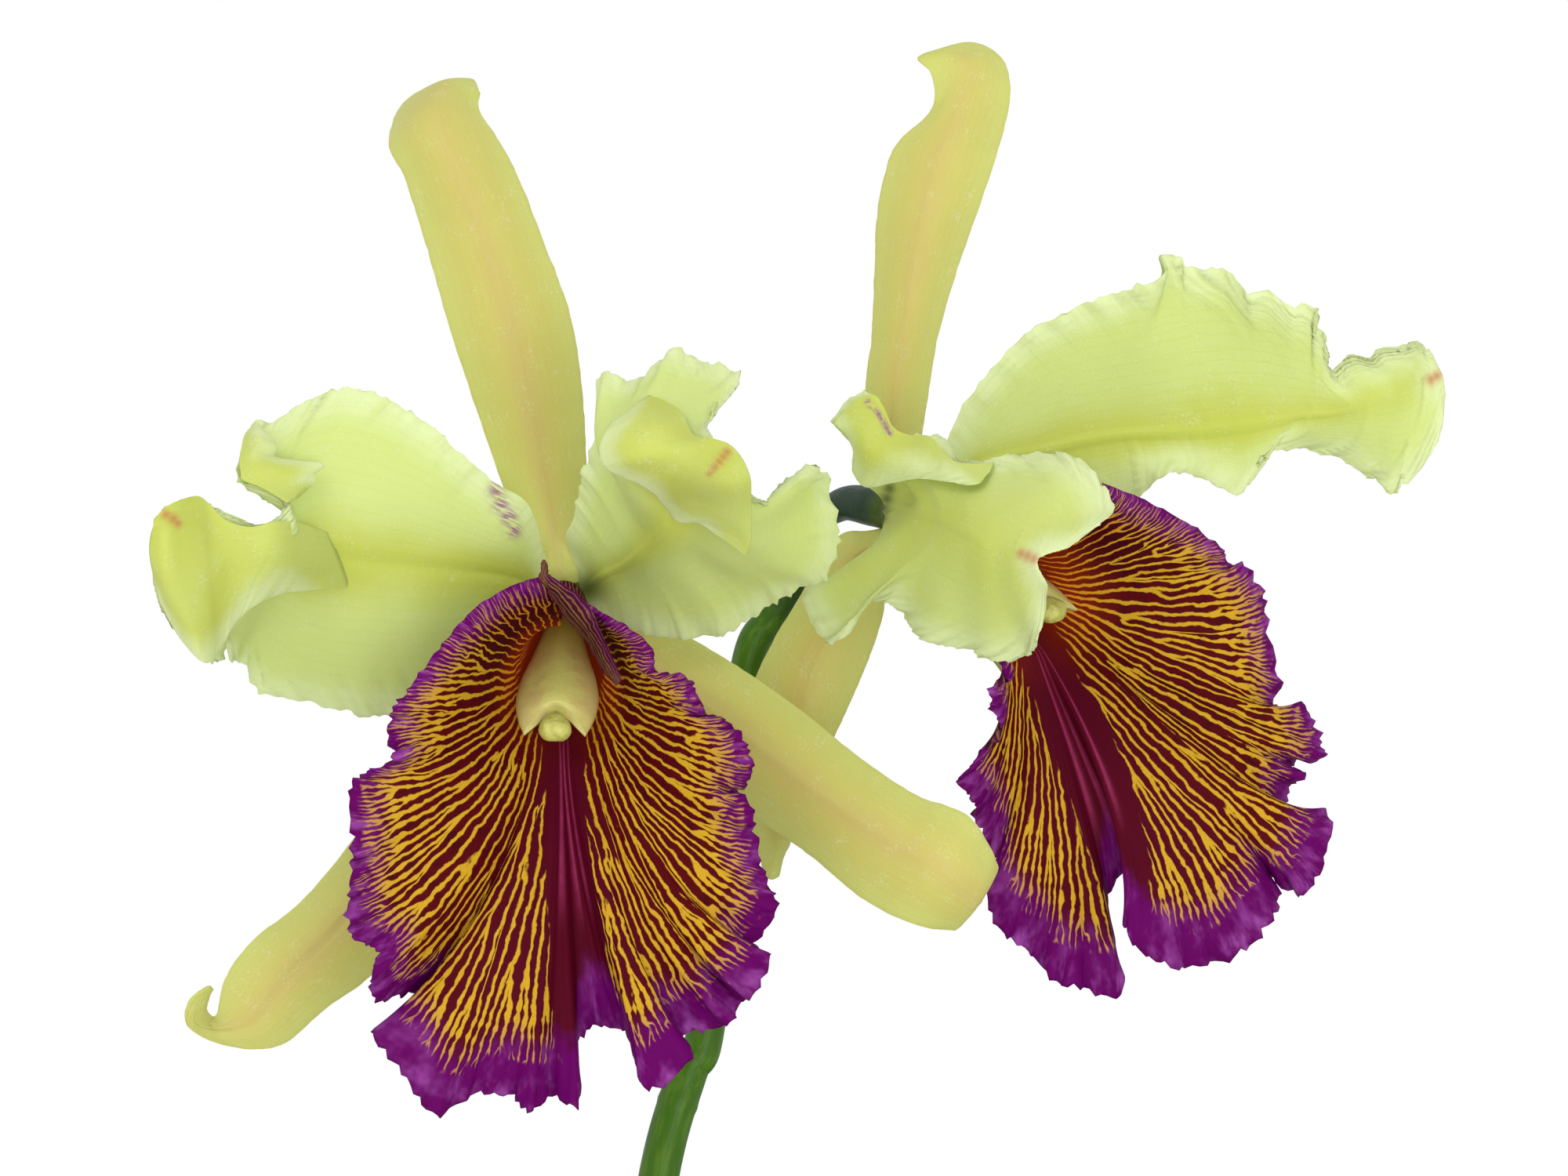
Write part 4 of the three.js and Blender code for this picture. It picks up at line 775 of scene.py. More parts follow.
# The same for the petals
PETAL_CUTS = {
    "bloom_1_petal_left": [
        [[-38.3, 1.1, 0], [-38.5, 0.6, 0], [-38.7, 0.1, 0.1], [-38.8, -0.4, 0.2], [-38.8, -1, 0.3]],
        [[-42.5, 12.5, -8], [-44, 7, -8], [-44.5, 2, -6], [-44.5, -5, -5], [-44, -13, -3]],
        [[-51, 21, -12], [-53, 12, -12], [-54, 3, -10], [-55, -8, -9], [-55, -19.5, -6]],
        [[-61, 28.5, -13], [-63, 16, -15], [-64, 4, -13], [-65, -8, -11], [-65.5, -20.5, -6]],
        [[-72, 32, -12], [-73.5, 18, -17], [-73, 5, -17], [-74.5, -7, -12], [-76, -18.5, -4]],
        [[-82.5, 26.5, -14], [-79, 15, -20], [-77.5, 5, -21], [-80, -4, -15], [-85, -14, 0]],
        [[-87, 18, -25], [-77.5, 10.5, -23], [-80, 5, -23.5], [-83.5, -2.5, -21], [-88.5, -11.5, -4]],
        [[-79.5, 13.4, -27.5], [-78.8, 8.5, -27.5], [-82.5, 4, -27.5], [-87, -5, -24], [-88.5, -9.5, -12]],
        [[-85, 10, -28], [-86.8, 8, -29.5], [-89.5, 7, -30], [-90, -3, -29], [-91.5, -11.5, -22]],
        [[-93, 14, -31], [-93.5, 11.5, -33], [-94, 9, -34], [-95, 1.5, -34], [-96.5, -7.5, -28]],
        [[-97.5, 13.5, -36], [-98, 11.5, -37], [-98.5, 9.5, -38], [-99.5, 5, -37], [-100.5, 0, -34]],
        [[-99.5, 12, -38], [-100, 11, -38], [-100, 10, -38.5], [-100.3, 9, -38], [-100.7, 8, -38]],
    ],
    "bloom_1_petal_right": [
        [[-31.7, 1.5, 0], [-31.4, 0.8, 0], [-31.2, 0.2, 0.1], [-31.1, -0.4, 0.3], [-31.1, -1.1, 0.4]],
        [[-33.5, 7.5, -6], [-31, 5, -8], [-29, 2, -8], [-27.5, -1, -6], [-26.5, -5, -4]],
        [[-33, 14, -11], [-29.5, 7.5, -13], [-26, 3.5, -14], [-24, -0.5, -11], [-23, -7, -7]],
        [[-31.5, 20, -16], [-27.5, 11, -18], [-23.5, 5, -20], [-20.5, 0.5, -16], [-18, -8, -9]],
        [[-29.5, 25.5, -21], [-25.5, 14.5, -25], [-21, 7.5, -27], [-17, 2.5, -21], [-11.5, -7.5, -10]],
        [[-28, 30, -29], [-27, 18, -38], [-19, 10, -35], [-13, 4, -24], [-5, -5, -12]],
        [[-29.5, 33, -37], [-29, 21, -46], [-17.5, 14, -42], [-9.5, 4.5, -28], [1.5, 0, -16]],
        [[-24.5, 33, -38], [-27, 24, -49], [-16, 16.5, -48], [-8, 6, -33], [6.5, 1, -20]],
        [[-18, 37.5, -36], [-23, 25.5, -50], [-14.5, 18.5, -52], [-6, 7.5, -38], [8.5, 10.5, -24]],
        [[-12, 36.5, -36], [-20, 26, -49], [-13, 20, -55], [-5.5, 10, -43], [7, 18.5, -28]],
        [[-7, 33.5, -38], [-16.5, 25, -51], [-11, 20.5, -57], [-6, 13.5, -48], [-2, 14, -38]],
        [[-12, 27, -49], [-13.5, 24, -55], [-9.5, 21.5, -59.5], [-7, 18, -55], [-4.8, 14, -48.5]],
        [[-11.5, 24, -58], [-11, 23.2, -59.5], [-9, 22, -61], [-6.8, 20.3, -59.5], [-5.5, 18, -57]],
    ],
    "bloom_2_petal_left": [
        [[17.2, 14.5, 4.6], [15.7, 12, 3.7], [16.2, 9.5, 4.6]],
        [[13, 16.5, 1], [17, 12.5, -3], [14, 6, 2]],
        [[11, 19.5, -4], [18.5, 13, -9], [9, 0.5, -1]],
        [[11.5, 24, -8], [20.5, 12.5, -15], [3, -2, -6]],
        [[7.5, 26, -12], [22, 12, -21], [7.5, -9, -10.5]],
        [[13, 31, -13], [24, 11.5, -26], [12.5, -3.5, -14]],
        [[19, 24, -17], [25.5, 11, -31], [17, -2, -16]],
        [[25.5, 24, -22], [27.5, 10, -36], [19.5, -6, -20]],
        [[29.5, 19.5, -28], [29.5, 9, -41], [25, -9, -27]],
        [[39, 22, -34], [32, 7.5, -46], [31, -10.5, -34]],
        [[48, 19.5, -43], [35, 6.5, -50], [37, -11.5, -41]],
        [[52.5, 12.5, -51], [37.5, 5.5, -54], [41, -8, -49]],
        [[45.5, 6.5, -57], [40.5, 4.5, -58], [42, 0.5, -57]],
    ],
    "bloom_2_petal_right": [
        [[21.5, 13.5, 12], [22, 12, 12], [22.5, 10.5, 12]],
        [[25.5, 20.5, 10], [27, 17.5, 12], [29, 14, 14]],
        [[28.5, 29, 9], [33, 20.5, 12], [37, 13, 15]],
        [[36, 39, 8], [41, 22, 14], [46, 12.5, 18]],
        [[45.5, 44, 6], [50, 24, 15], [56, 14.5, 18]],
        [[55, 47.5, 4], [59, 25, 15], [61.5, 19, 14]],
        [[65, 51, 4], [67.5, 25.5, 14], [66, 18.5, 14]],
        [[72.5, 50, 4], [75, 26, 12], [73, 14.5, 12]],
        [[83.5, 45, 2], [82, 27, 10], [77, 20, 12]],
        [[85.5, 38, 6], [87.5, 28, 8], [82.5, 22, 14]],
        [[90, 37, 8], [93, 29.5, 5], [92.5, 19, 8]],
        [[97, 38, 6], [99.5, 31.5, 2], [97, 15, 2]],
        [[102, 39, 2], [103, 33.5, 0], [104, 22.5, 0]],
        [[104, 35.5, 0], [105, 34, -1], [105.5, 31, -1]],
    ],
}

# Places inside each lip, its margin, and in flow [margin point, degrees round the mouth]
LIP_1 = {
    "heart": [-34.75, -1, 2.5],
    "mouth": [-35.6, -15, -15],
    "column": [-36.6, -23.6, -23.5],
    "turn": 0,
    "lean": 3,
    "wide": 8.6,
    "high": 9.4,
    "margin": [
        [-38, 2, -28.6], [-43, 0.5, -31], [-49, -3, -33], [-54.5, -9, -35], [-59, -15, -36],
        [-62.5, -19.5, -37], [-63, -24, -34], [-62, -27.5, -37], [-65.5, -29, -34], [-69, -31, -35],
        [-69, -39, -38], [-69, -45, -35], [-69.5, -51, -33], [-69, -55.5, -37], [-65, -58, -39],
        [-66, -62.5, -38], [-65, -66, -34], [-60, -64.5, -30], [-57, -67, -28], [-60, -70, -31],
        [-65.5, -71, -36], [-61, -77.5, -39], [-55.5, -84, -37], [-50, -81, -34], [-44, -81, -36],
        [-40.5, -83.5, -39], [-37.5, -81, -35], [-32.5, -82.5, -37], [-34, -74.5, -31],
        [-30.5, -70, -29], [-25, -71, -31], [-23.5, -75, -37], [-21, -80, -41], [-14.5, -74.5, -39],
        [-19, -72, -33], [-12.5, -70.5, -33], [-8, -69, -37], [-7, -64.5, -33], [-5.5, -65.5, -39],
        [-2, -59, -41], [-5, -57.5, -34], [-1, -51, -36], [-3, -46, -33], [-4.5, -39, -35],
        [-5, -35, -38], [-7, -32.5, -33], [-5, -29.5, -37], [-6, -25, -39], [-8, -22, -35],
        [-12, -20, -33], [-13.5, -18, -38], [-15, -14.5, -36], [-18.5, -13.5, -33], [-20.8, -13.4, -31],
        [-20.6, -10.8, -31], [-22.5, -8, -32], [-27, -5, -31], [-32.5, -2, -30], [-39, 2.4, -26],
    ],
    "flow": [
        [0, -182], [3, -110], [5, -82], [9, -62], [13, -41], [17, -28], [22, -17], [26, -5],
        [29, 0], [31, 8], [35, 22], [39, 36], [43, 52], [47, 70], [51, 92], [54, 110],
        [56, 140], [58, 184],
    ],
}

LIP_2 = {
    "heart": [18.75, 12, 8],
    "mouth": [39.5, -2, -5.5],
    "column": [44, -4.4, -8],
    "turn": 35,
    "lean": 9.5,
    "wide": 10.5,
    "high": 9,
    "margin": [
        [51.5, 16.5, -11.6], [45, 12.5, -15], [39, 5, -20], [35, -4, -22], [34, -10, -21],
        [35.5, -15, -18], [33, -15.5, -19], [33, -19, -18], [34.5, -23, -15], [30.5, -27.5, -16],
        [28, -31, -18], [30.5, -34.5, -15], [30.5, -37, -11], [33, -42, -9], [34.5, -45, -9],
        [32, -47.5, -13], [34.5, -54.5, -15], [39, -58, -13], [43, -62.5, -16], [48, -64, -13],
        [54, -65, -12], [51.2, -55, -10], [51.5, -49, -8.5], [55, -45, -9], [58.5, -46.5, -12.5],
        [56.5, -50, -15.5], [54.5, -54, -17.5], [57, -58, -17.5], [62.5, -60.5, -15], [70, -59.5, -11],
        [75.5, -56, -12], [79, -50, -8], [77.5, -46, -5], [82.5, -49, -8], [86, -44, -9],
        [87, -36, -6], [80, -37, 0], [80.5, -32.5, -2], [83, -29.5, -4], [80.5, -28, 0],
        [86, -27, -1], [85.5, -24, 0], [83, -19, 2], [78, -19.5, 4], [79, -15, 2], [77, -6, 2],
        [76.5, -1, 0], [73, 4, -3], [71, 3.5, -1], [70, 6, -4], [65, 10, -6], [57.5, 14, -9],
        [50.7, 16.8, -9],
    ],
    "flow": [
        [0, -196], [1, -165], [2, -130], [3, -92], [4, -72], [6, -56], [8, -44], [10, -38],
        [12, -31], [14, -24], [17, -17], [20, -7], [22, -3], [23, 0], [26, 3], [28, 7],
        [30, 15], [33, 25], [35, 36], [39, 44], [42, 56], [45, 72], [47, 90], [50, 112],
        [51, 134], [52, 172],
    ],
}


# Reach of frills and creases into a blade, and how far its foot is drawn to the heart
FRILL_REACH = 2.6
PLEAT_REACH = 7.0
FOOT_PULL = 2.2
TOOTH_COLUMNS = 5


def blade_grid(cuts, rows, columns):
    """Shares down and over a blade, and its grid of points."""
    u = np.linspace(0.0, 1.0, rows)
    # Columns are closer together toward the margins, where the frills are
    turn = math.pi * np.linspace(0.0, 1.0, columns)
    v = 0.5 - 0.5 * np.cos(turn) * (1.0 - 0.18 * np.sin(turn) ** 2)
    rails = spline(place(cuts), u)
    return u, v, spline(np.swapaxes(rails, 0, 1), v).swapaxes(0, 1)


def as_seen(points):
    """[across, up] of points as seen from the front, and the growth with depth that place gave."""
    grow = 1.0 + points[..., 1] / EYE_DISTANCE
    flat = [points[..., 0] / grow, (points[..., 2] - BLOOM_HEIGHT) / grow]
    return np.stack(flat, axis=-1), grow


def spread(grid, spots):
    """How far each point lies in round spots given as [across, up, radius], seen from the front."""
    seen, _ = as_seen(grid)
    total = np.zeros(grid.shape[:2])
    for across, height, radius in spots:
        apart = (seen[..., 0] - across) ** 2 + (seen[..., 1] - height) ** 2
        total = np.maximum(total, np.exp(-apart / radius**2))
    return total


def tooth_margin(grid, distance, reach, size, length, seed):
    """Draws the first columns of a grid in and out along the sheet, for a toothed margin."""
    way = unit(grid[:, 0] - grid[:, 4])
    teeth = size * (wobble(distance, length, seed) + 0.6 * wobble(distance, length * 0.41, seed + 1))
    for k in range(reach):
        grid[:, k] += way * (teeth * (1.0 - k / reach) ** 1.5)[:, None]


def fit_rims(grid, rims, reach=7.0, most=4.5):
    """Moves margins onto lines picked in the photograph; the sheet follows nearby."""
    for picked_line in rims:
        line = from_picture(picked_line)
        seen, grow = as_seen(grid)
        ends = []
        for column in (0, grid.shape[1] - 1):
            apart = np.linalg.norm(seen[:, column, None] - line[None, [0, -1]], axis=-1)
            ends.append((apart.min(0).sum(), column, *apart.argmin(0)))
        _, column, first, last = min(ends)
        if first > last:
            first, last, line = last, first, line[::-1]
        edge = seen[first:last + 1, column]
        gone, wanted = runs(edge), runs(line)
        share = gone / gone[-1] * wanted[-1]
        target = np.stack([np.interp(share, wanted, line[:, k]) for k in range(2)], axis=-1)
        move = target - edge
        far = np.linalg.norm(move, axis=1, keepdims=True)
        move = move * np.minimum(1.0, most / np.maximum(far, 1e-6))
        part = grid[first:last + 1]
        inward = np.linalg.norm(part - part[:, column:column + 1], axis=2)
        weight = np.exp(-((inward / reach) ** 2)) * grow[first:last + 1]
        part[..., 0] += move[:, None, 0] * weight
        part[..., 2] += move[:, None, 1] * weight


def blade(node, cuts, sizes, finish, *, rows, columns, waves, wave, thick, veins, seed,
          fleck=(), blush=(), shade=(), fold="", deep=1.0):
    """A sepal or petal; with fold, a part of a petal that folds over toward the front."""
    if fold:
        cuts = from_picture(cuts)
    u, v, grid = blade_grid(cuts, rows, columns)
    fit_rims(grid, () if fold else MARGINS_IN_PICTURE.get(node, ()))
    U, V = np.meshgrid(u, v, indexing="ij")
    cross = np.abs(2 * V - 1)
    # The foot widens and runs into the end of the flower stalk
    foot = (1 - smooth(0.0, 0.14, U))[..., None] * (not fold)
    middle_line = grid[:, columns // 2:columns // 2 + 1]
    grid = middle_line + (grid - middle_line) * (1 + 0.7 * foot)
    heart = place(LIP_1["heart"] if node.startswith("bloom_1") else LIP_2["heart"])
    grid = grid + unit(heart - grid) * (1 - smooth(0.0, 0.05, U))[..., None] * FOOT_PULL * (not fold)
    if waves:
        turn = np.where(V < 0.5, 0.0, 1.7)
        edge = cross**3 * smooth(0.15, 0.5, U) * (1 - smooth(0.9, 1.0, U))
        lift = wave * edge * np.sin(2 * math.pi * waves * U + turn)
        grid = grid + sheet_normals(grid) * lift[..., None]
    run, reach = runs(grid), runs(grid, axis=1)
    edge_mm = np.minimum(reach, reach[:, -1:] - reach)
    edge_mm = np.minimum(edge_mm, run[-1:] - run)
    if fold:
        edge_mm = reach + 9.0 * smooth(0.8, 1.0, U)
    fine = sizes.frill / METRES * waves_near(edge_mm, FRILL_REACH) * (1.0 if waves else 0.25)
    side = np.where(V < 0.5, 0.0, 40.0)
    pleats = np.maximum(wobble(run * 1.3 + side, 7.5, seed + 9), 0.0) ** 2
    pleats = pleats * waves_near(edge_mm, PLEAT_REACH)
    relief = fine * wobble(run + side, 6.5, seed) - sizes.pleat / METRES * pleats * (1.0 if waves else 0.2)
    relief = relief * smooth(0.08, 0.25, U) * (1 - 0.85 * smooth(0.84, 0.97, U))
    grid = grid + sheet_normals(grid) * relief[..., None]
    tooth = sizes.tooth / METRES * (1.0 if waves else 0.12)
    hold = smooth(0.08, 0.2, u)
    tooth_margin(grid, run[:, 0], TOOTH_COLUMNS, tooth * hold, 3.6, seed + 2)
    tooth_margin(grid[:, ::-1], run[:, -1], TOOTH_COLUMNS, tooth * hold * (not fold), 3.6, seed + 3)
    middle, margin = thick
    rim = np.sqrt(np.clip(edge_mm / 0.8, 0.12, 1.0))
    thickness = mix(middle, margin, np.maximum(smooth(0.0, 1.0, cross), 0.7 * U)) * rim
    rib_relief = np.exp(-((2 * V - 1) / 0.05) ** 2) * (1 - smooth(0.5, 0.95, U)) * (not fold)
    grid = grid - sheet_normals(grid) * (0.35 * rib_relief)[..., None]
    span = np.gradient(reach, axis=1) / np.maximum(np.gradient(V, axis=1), 1e-6)
    # The shade trait holds the spots of painted shade
    traits = {
        "across": 0 * V + 0.12 if fold else (2 * V - 1) * deep, "along": U, "edge": edge_mm,
        "out": run, "vein": V * veins, "spacing": span / veins, "fleck": spread(grid, fleck),
        "blush": spread(grid, blush), "shade": spread(grid, shade),
    }
    slot = "sepal" if "sepal" in node else "petal"
    return sheet(node + (fold or "_fine"), grid, thickness, traits, finish, slot, node)


def waves_near(edge_mm, reach):
    return np.exp(-((edge_mm / reach) ** 2))


def settle(piece, finish, slot, *nodes):
    """Gives the piece its finish and its place on the plant."""
    piece.data.materials.append(finish)
    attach(piece, "root")
    if nodes:
        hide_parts(*nodes)
    return piece


def sheet(name, grid, thick, traits, finish, slot, node, front=(0.0, -1.0, 0.0)):
    """A thickened grid as a finished piece of the plant."""
    piece = add_piece(name, *sheet_parts(grid, thick, traits, front))
    return settle(piece, finish, slot, node)


# Lips
START_ANGLE = [[0, 0], [16, 4], [35, 10], [55, 25], [80, 70], [110, 108], [200, 200]]
END_ANGLE = [[0, 0], [16, 24], [35, 62], [55, 86], [80, 97], [110, 112], [200, 200]]
TUBE_SHARE = 0.28
TUBE_START = 3.0
TUBE_RADIUS = 3.3
CALM_REACH = 2
SLIT_OVERLAP = 1.7


def hermite(p0, d0, p1, d1, t):
    """Bends from p0 to p1, one per row of points, each read at the same shares."""
    p0, d0, p1, d1 = (row[:, None] for row in (p0, d0, p1, d1))
    t = t[None, :, None]
    return (p0 * (2 * t**3 - 3 * t**2 + 1) + d0 * (t**3 - 2 * t**2 + t)
            + p1 * (3 * t**2 - 2 * t**3) + d1 * (t**3 - t**2))


def lip_frame(lip):
    """Directions and places round which a lip and its column are built."""
    turn = math.radians(lip["turn"])
    side = np.array([math.cos(turn), math.sin(turn), 0.0])
    out = np.array([math.sin(turn), -math.cos(turn), 0.0])
    heart, mouth, tip = (place(lip[key]) for key in ("heart", "mouth", "column"))
    axis = unit(tip - heart)
    across = unit(side - axis * side.dot(axis))
    under = np.cross(across, axis)
    return side, out, heart, mouth, tip, axis, across, (-under if under[2] > 0 else under)


def lip_grid(lip, u, s):
    """The lip as a grid, round its margin and from the throat outward, and each line's angle."""
    side, out, heart, mouth, _, axis, across, under = lip_frame(lip)
    up = np.array([0.0, 0.0, 1.0])
    margin_points = place(lip["margin"])
    count = len(margin_points) - 1
    margin = spline(margin_points, u)
    calm = sum(spline(margin_points, np.clip(u + k / count, 0, 1))
               for k in range(-CALM_REACH, CALM_REACH + 1)) / (2 * CALM_REACH + 1)
    calm = mix(calm, margin, (np.abs(2 * u - 1) ** 8)[:, None])
    ruffle = margin - calm
    angle = keyed(lip["flow"], u * count)

    def direction(keys):
        size = keyed(keys, np.abs(angle)) if keys else np.abs(angle)
        bent = np.radians(np.sign(angle) * size + lip["lean"])
        return np.sin(bent)[:, None] * side - np.cos(bent)[:, None] * up

    spoke = direction(None)
    outer = SLIT_OVERLAP * smooth(110, 180, angle)
    along_side, along_up = spoke @ side, spoke @ up
    ring = (mouth + ((lip["wide"] + outer) * along_side)[:, None] * side
            + ((lip["high"] + outer) * along_up)[:, None] * up)
    gap = calm - ring
    drop = gap @ out
    length = np.linalg.norm(gap - drop[:, None] * out, axis=1)
    start = direction(START_ANGLE) * length[:, None] + out * np.maximum(4, 2 * drop)[:, None]
    finish = direction(END_ANGLE) * (length * 0.8)[:, None] - out * (0.3 * drop)[:, None]
    base = heart + axis * TUBE_START
    base = (base + ((TUBE_RADIUS + outer) * along_side)[:, None] * across
            - ((TUBE_RADIUS + outer) * along_up)[:, None] * under)
    tube = np.linalg.norm(ring - base, axis=1)
    grid = np.empty((len(u), len(s), 3))
    low = s < TUBE_SHARE
    arrive = unit(start) * (tube * 0.8)[:, None]
    grid[:, low] = hermite(base, axis * tube[:, None], ring, arrive, s[low] / TUBE_SHARE)
    t = (s[~low] - TUBE_SHARE) / (1 - TUBE_SHARE)
    blade_part = hermite(ring, start, calm, finish, t)
    keel = np.exp(-((angle / 7) ** 2))[:, None] * np.sin(math.pi * t)[None]
    blade_part = blade_part - (1.2 * keel)[..., None] * out
    grid[:, ~low] = blade_part + ruffle[:, None] * (t**3)[None, :, None]
    return grid, angle


PURPLE_BAND = [[0, 7.5], [25, 6], [40, 3.4], [60, 1.5], [90, 0.9], [120, 0.7], [200, 0.6]]
GOLD_START = [[0, 90], [2.5, 72], [4, 56], [6.5, 38], [10, 22], [15, 10], [22, 3], [34, -3], [200, -8]]
FRILL_SHARE = [[80, 1], [115, 0.3], [200, 0.2]]
THROAT_SHARE = [[0, 0.25], [30, 0.6], [70, 1], [200, 1]]
RIB_LINES = (-4.2, 0.0, 4.6)


def lip(node, data, sizes, finish, seed):
    """A lip with its throat and frilled margin, and the traits that its veins follow."""
    count = len(data["margin"]) - 1
    u = np.linspace(0.0, 1.0, count * sizes.lip_rows + 1)
    columns = 88
    s = np.linspace(0.0, 1.0, columns) ** 0.9
    grid, angle = lip_grid(data, u, s)
    run = runs(grid, axis=1)
    ring_at = np.array([np.interp(TUBE_SHARE, s, line) for line in run])
    edge_mm = run[:, -1:] - run
    t = np.clip((s - TUBE_SHARE) / (1 - TUBE_SHARE), 0, 1)[None, :]
    margin_run = runs(grid[:, -1])
    hold = smooth(0.0, 0.02, u) * smooth(1.0, 0.98, u) * keyed(FRILL_SHARE, np.abs(angle))
    near = waves_near(edge_mm, 3.4) * hold[:, None]
    frill = sizes.lip_frill / METRES
    wave = frill * near * wobble(margin_run, 5.2, seed)[:, None]
    wave = wave + 0.3 * (t**2) * hold[:, None] * wobble(margin_run * 0.8, 3.4, seed + 3)[:, None]
    grid = grid + sheet_normals(grid) * wave[..., None]
    tooth_margin(grid[:, ::-1], margin_run, 6, sizes.lip_tooth / METRES * hold, 2.9, seed + 1)
    # Lines of flow start evenly spaced round the mouth
    flow = runs(grid[:, np.searchsorted(s, TUBE_SHARE)]) / (sizes.vein_pitch / METRES)
    between = np.linalg.norm(np.gradient(grid, axis=0), axis=2)
    spacing = between / np.maximum(np.gradient(flow)[:, None], 1e-4)
    turn = np.abs(angle)
    gold_start = keyed(GOLD_START, turn)
    purple = keyed(PURPLE_BAND, turn)
    out = run - ring_at[:, None]
    traits = {
        "flow": np.broadcast_to(flow[:, None], run.shape), "spacing": spacing,
        "gold": out - gold_start[:, None], "inside": edge_mm - purple[:, None],
        "turn": np.broadcast_to(angle[:, None], run.shape), "out": out, "edge": edge_mm,
        "throat": smooth(9.0, -4.0, out) * keyed(THROAT_SHARE, turn)[:, None],
        "rib_line": sum(np.exp(-((angle - a) / 0.7) ** 2) for a in RIB_LINES)[:, None]
        * smooth(-6, 2, out) * smooth(34, 22, out),
    }
    throat, margin = 0.85, 0.5
    thick = mix(throat, margin, s)[None, :] * np.sqrt(np.clip(edge_mm / 0.7, 0.15, 1.0))
    return sheet(node + "_fine", grid, thick, traits, finish, "lip", node)


def lip_roll(node, cuts, finish):
    """The margin that rolls to the front over the throat and shows the outer side of the lip."""
    rows, columns = 110, 22
    _, v, grid = blade_grid(from_picture(cuts), rows, columns)
    reach = runs(grid, axis=1)
    run = np.broadcast_to(runs(grid[:, columns // 2])[:, None], reach.shape)
    edge = np.minimum(reach, reach[:, -1:] - reach)
    grid = grid + sheet_normals(grid) * (0.16 * waves_near(edge, 1.0) * wobble(run, 4.0, 380))[..., None]
    lines = 7.0
    traits = {
        "flow": v * lines + 0.2 * wobble(run, 9.0, 381), "spacing": reach[:, -1:] / lines + 0 * reach,
        "gold": 9.0 + 0 * reach, "inside": edge * 4.0, "turn": 180.0 + 0 * reach, "out": run,
        "edge": edge, "throat": 0 * reach, "rib_line": 0 * reach,
    }
    thick = 0.4 * np.sqrt(np.clip(edge / 0.4, 0.2, 1.0))
    return sheet(node + "_roll", grid, thick, traits, finish, "lip", node, front=(0.0, 1.0, 0.0))


# Column and anther
COLUMN_START = 3.6
COLUMN_CUTS = [
    [0, 2.2, 2.2, 0], [0.2, 3.1, 2.4, 0], [0.42, 4.4, 2.7, 0], [0.62, 5.9, 2.8, 0],
    [0.8, 6.5, 2.5, 0], [0.92, 6, 2, 2], [1, 4.8, 1.4, 5.5],
]
ANTHER_PROFILE = [[0, 1], [0.08, 1.5], [0.3, 2.15], [0.5, 2.5], [0.7, 2.6], [0.85, 2.2], [0.95, 1.5],
                  [1, 0.7]]


def column(node, data, finish):
    """The column, from the heart of its bloom to the wings round its end."""
    _, _, heart, _, tip, axis, side, _ = lip_frame(data)
    face = np.cross(side, axis)
    face = -face if face[1] > 0 else face
    length = np.linalg.norm(tip - heart) - COLUMN_START - 2.5
    cuts = spline(np.asarray(COLUMN_CUTS, float), np.linspace(0, 1, 70))
    angles = ring_angles(56)
    share, wide, deep, wings = (cuts[:, k:k + 1] for k in range(4))
    # A keel along the back and a shallow hollow on the face that looks down
    hollow = 1.0 - 0.35 * smooth(0.45, 0.9, share) * np.exp(-((angles[None] - 1.5 * math.pi) / 0.55) ** 2)
    ridge = 1.0 + 0.16 * smooth(0.1, 0.5, share) * np.exp(-((angles[None] - 0.5 * math.pi) / 0.35) ** 2)
    out = COLUMN_START + length * share + wings * (np.cos(angles[None]) ** 2 - 0.55)
    rings = (heart + out[..., None] * axis + (wide * np.cos(angles[None]))[..., None] * side
             + (deep * hollow * ridge * np.sin(angles[None]))[..., None] * face)
    rings = np.concatenate([rings, mix(rings[-1:], heart + axis * (COLUMN_START + length - 4.0), 0.55)])
    points, faces = close_rings(rings)
    along = per_ring(np.append(share[:, 0], 0.9), len(angles), (0.0, 0.85))
    across = np.concatenate([np.tile(np.cos(angles), len(rings)), [0.0, 0.0]])
    piece = add_piece(node + "_fine", points, faces, {"along": along, "across": across})
    return settle(piece, finish, "column", node)


def anther(node, data, finish):
    """The cap at the end of the column."""
    _, _, heart, _, tip, axis, side, _ = lip_frame(data)
    start = np.linalg.norm(tip - heart) - 4.6
    shares = np.linspace(0, 1, 26)
    radii = keyed(ANTHER_PROFILE, shares)
    angles = ring_angles(40)
    # Two lobes with a crease between them
    crease = 0.16 * np.exp(-((np.abs(np.sin(angles)) - 1.0) / 0.12) ** 2)[None]
    lobes = 1.0 - crease * smooth(0.2, 0.7, shares)[:, None]
    other = np.cross(axis, side)
    centres = heart + (start + 5.0 * shares)[:, None] * axis
    reach = radii[:, None] * lobes
    rings = (centres[:, None] + (reach * np.cos(angles))[..., None] * side
             + (0.8 * reach * np.sin(angles))[..., None] * other)
    points, faces = close_rings(rings)
    traits = {"along": per_ring(shares, len(angles), (0.0, 1.0))}
    return settle(add_piece(node + "_fine", points, faces, traits), finish, "anther", node)


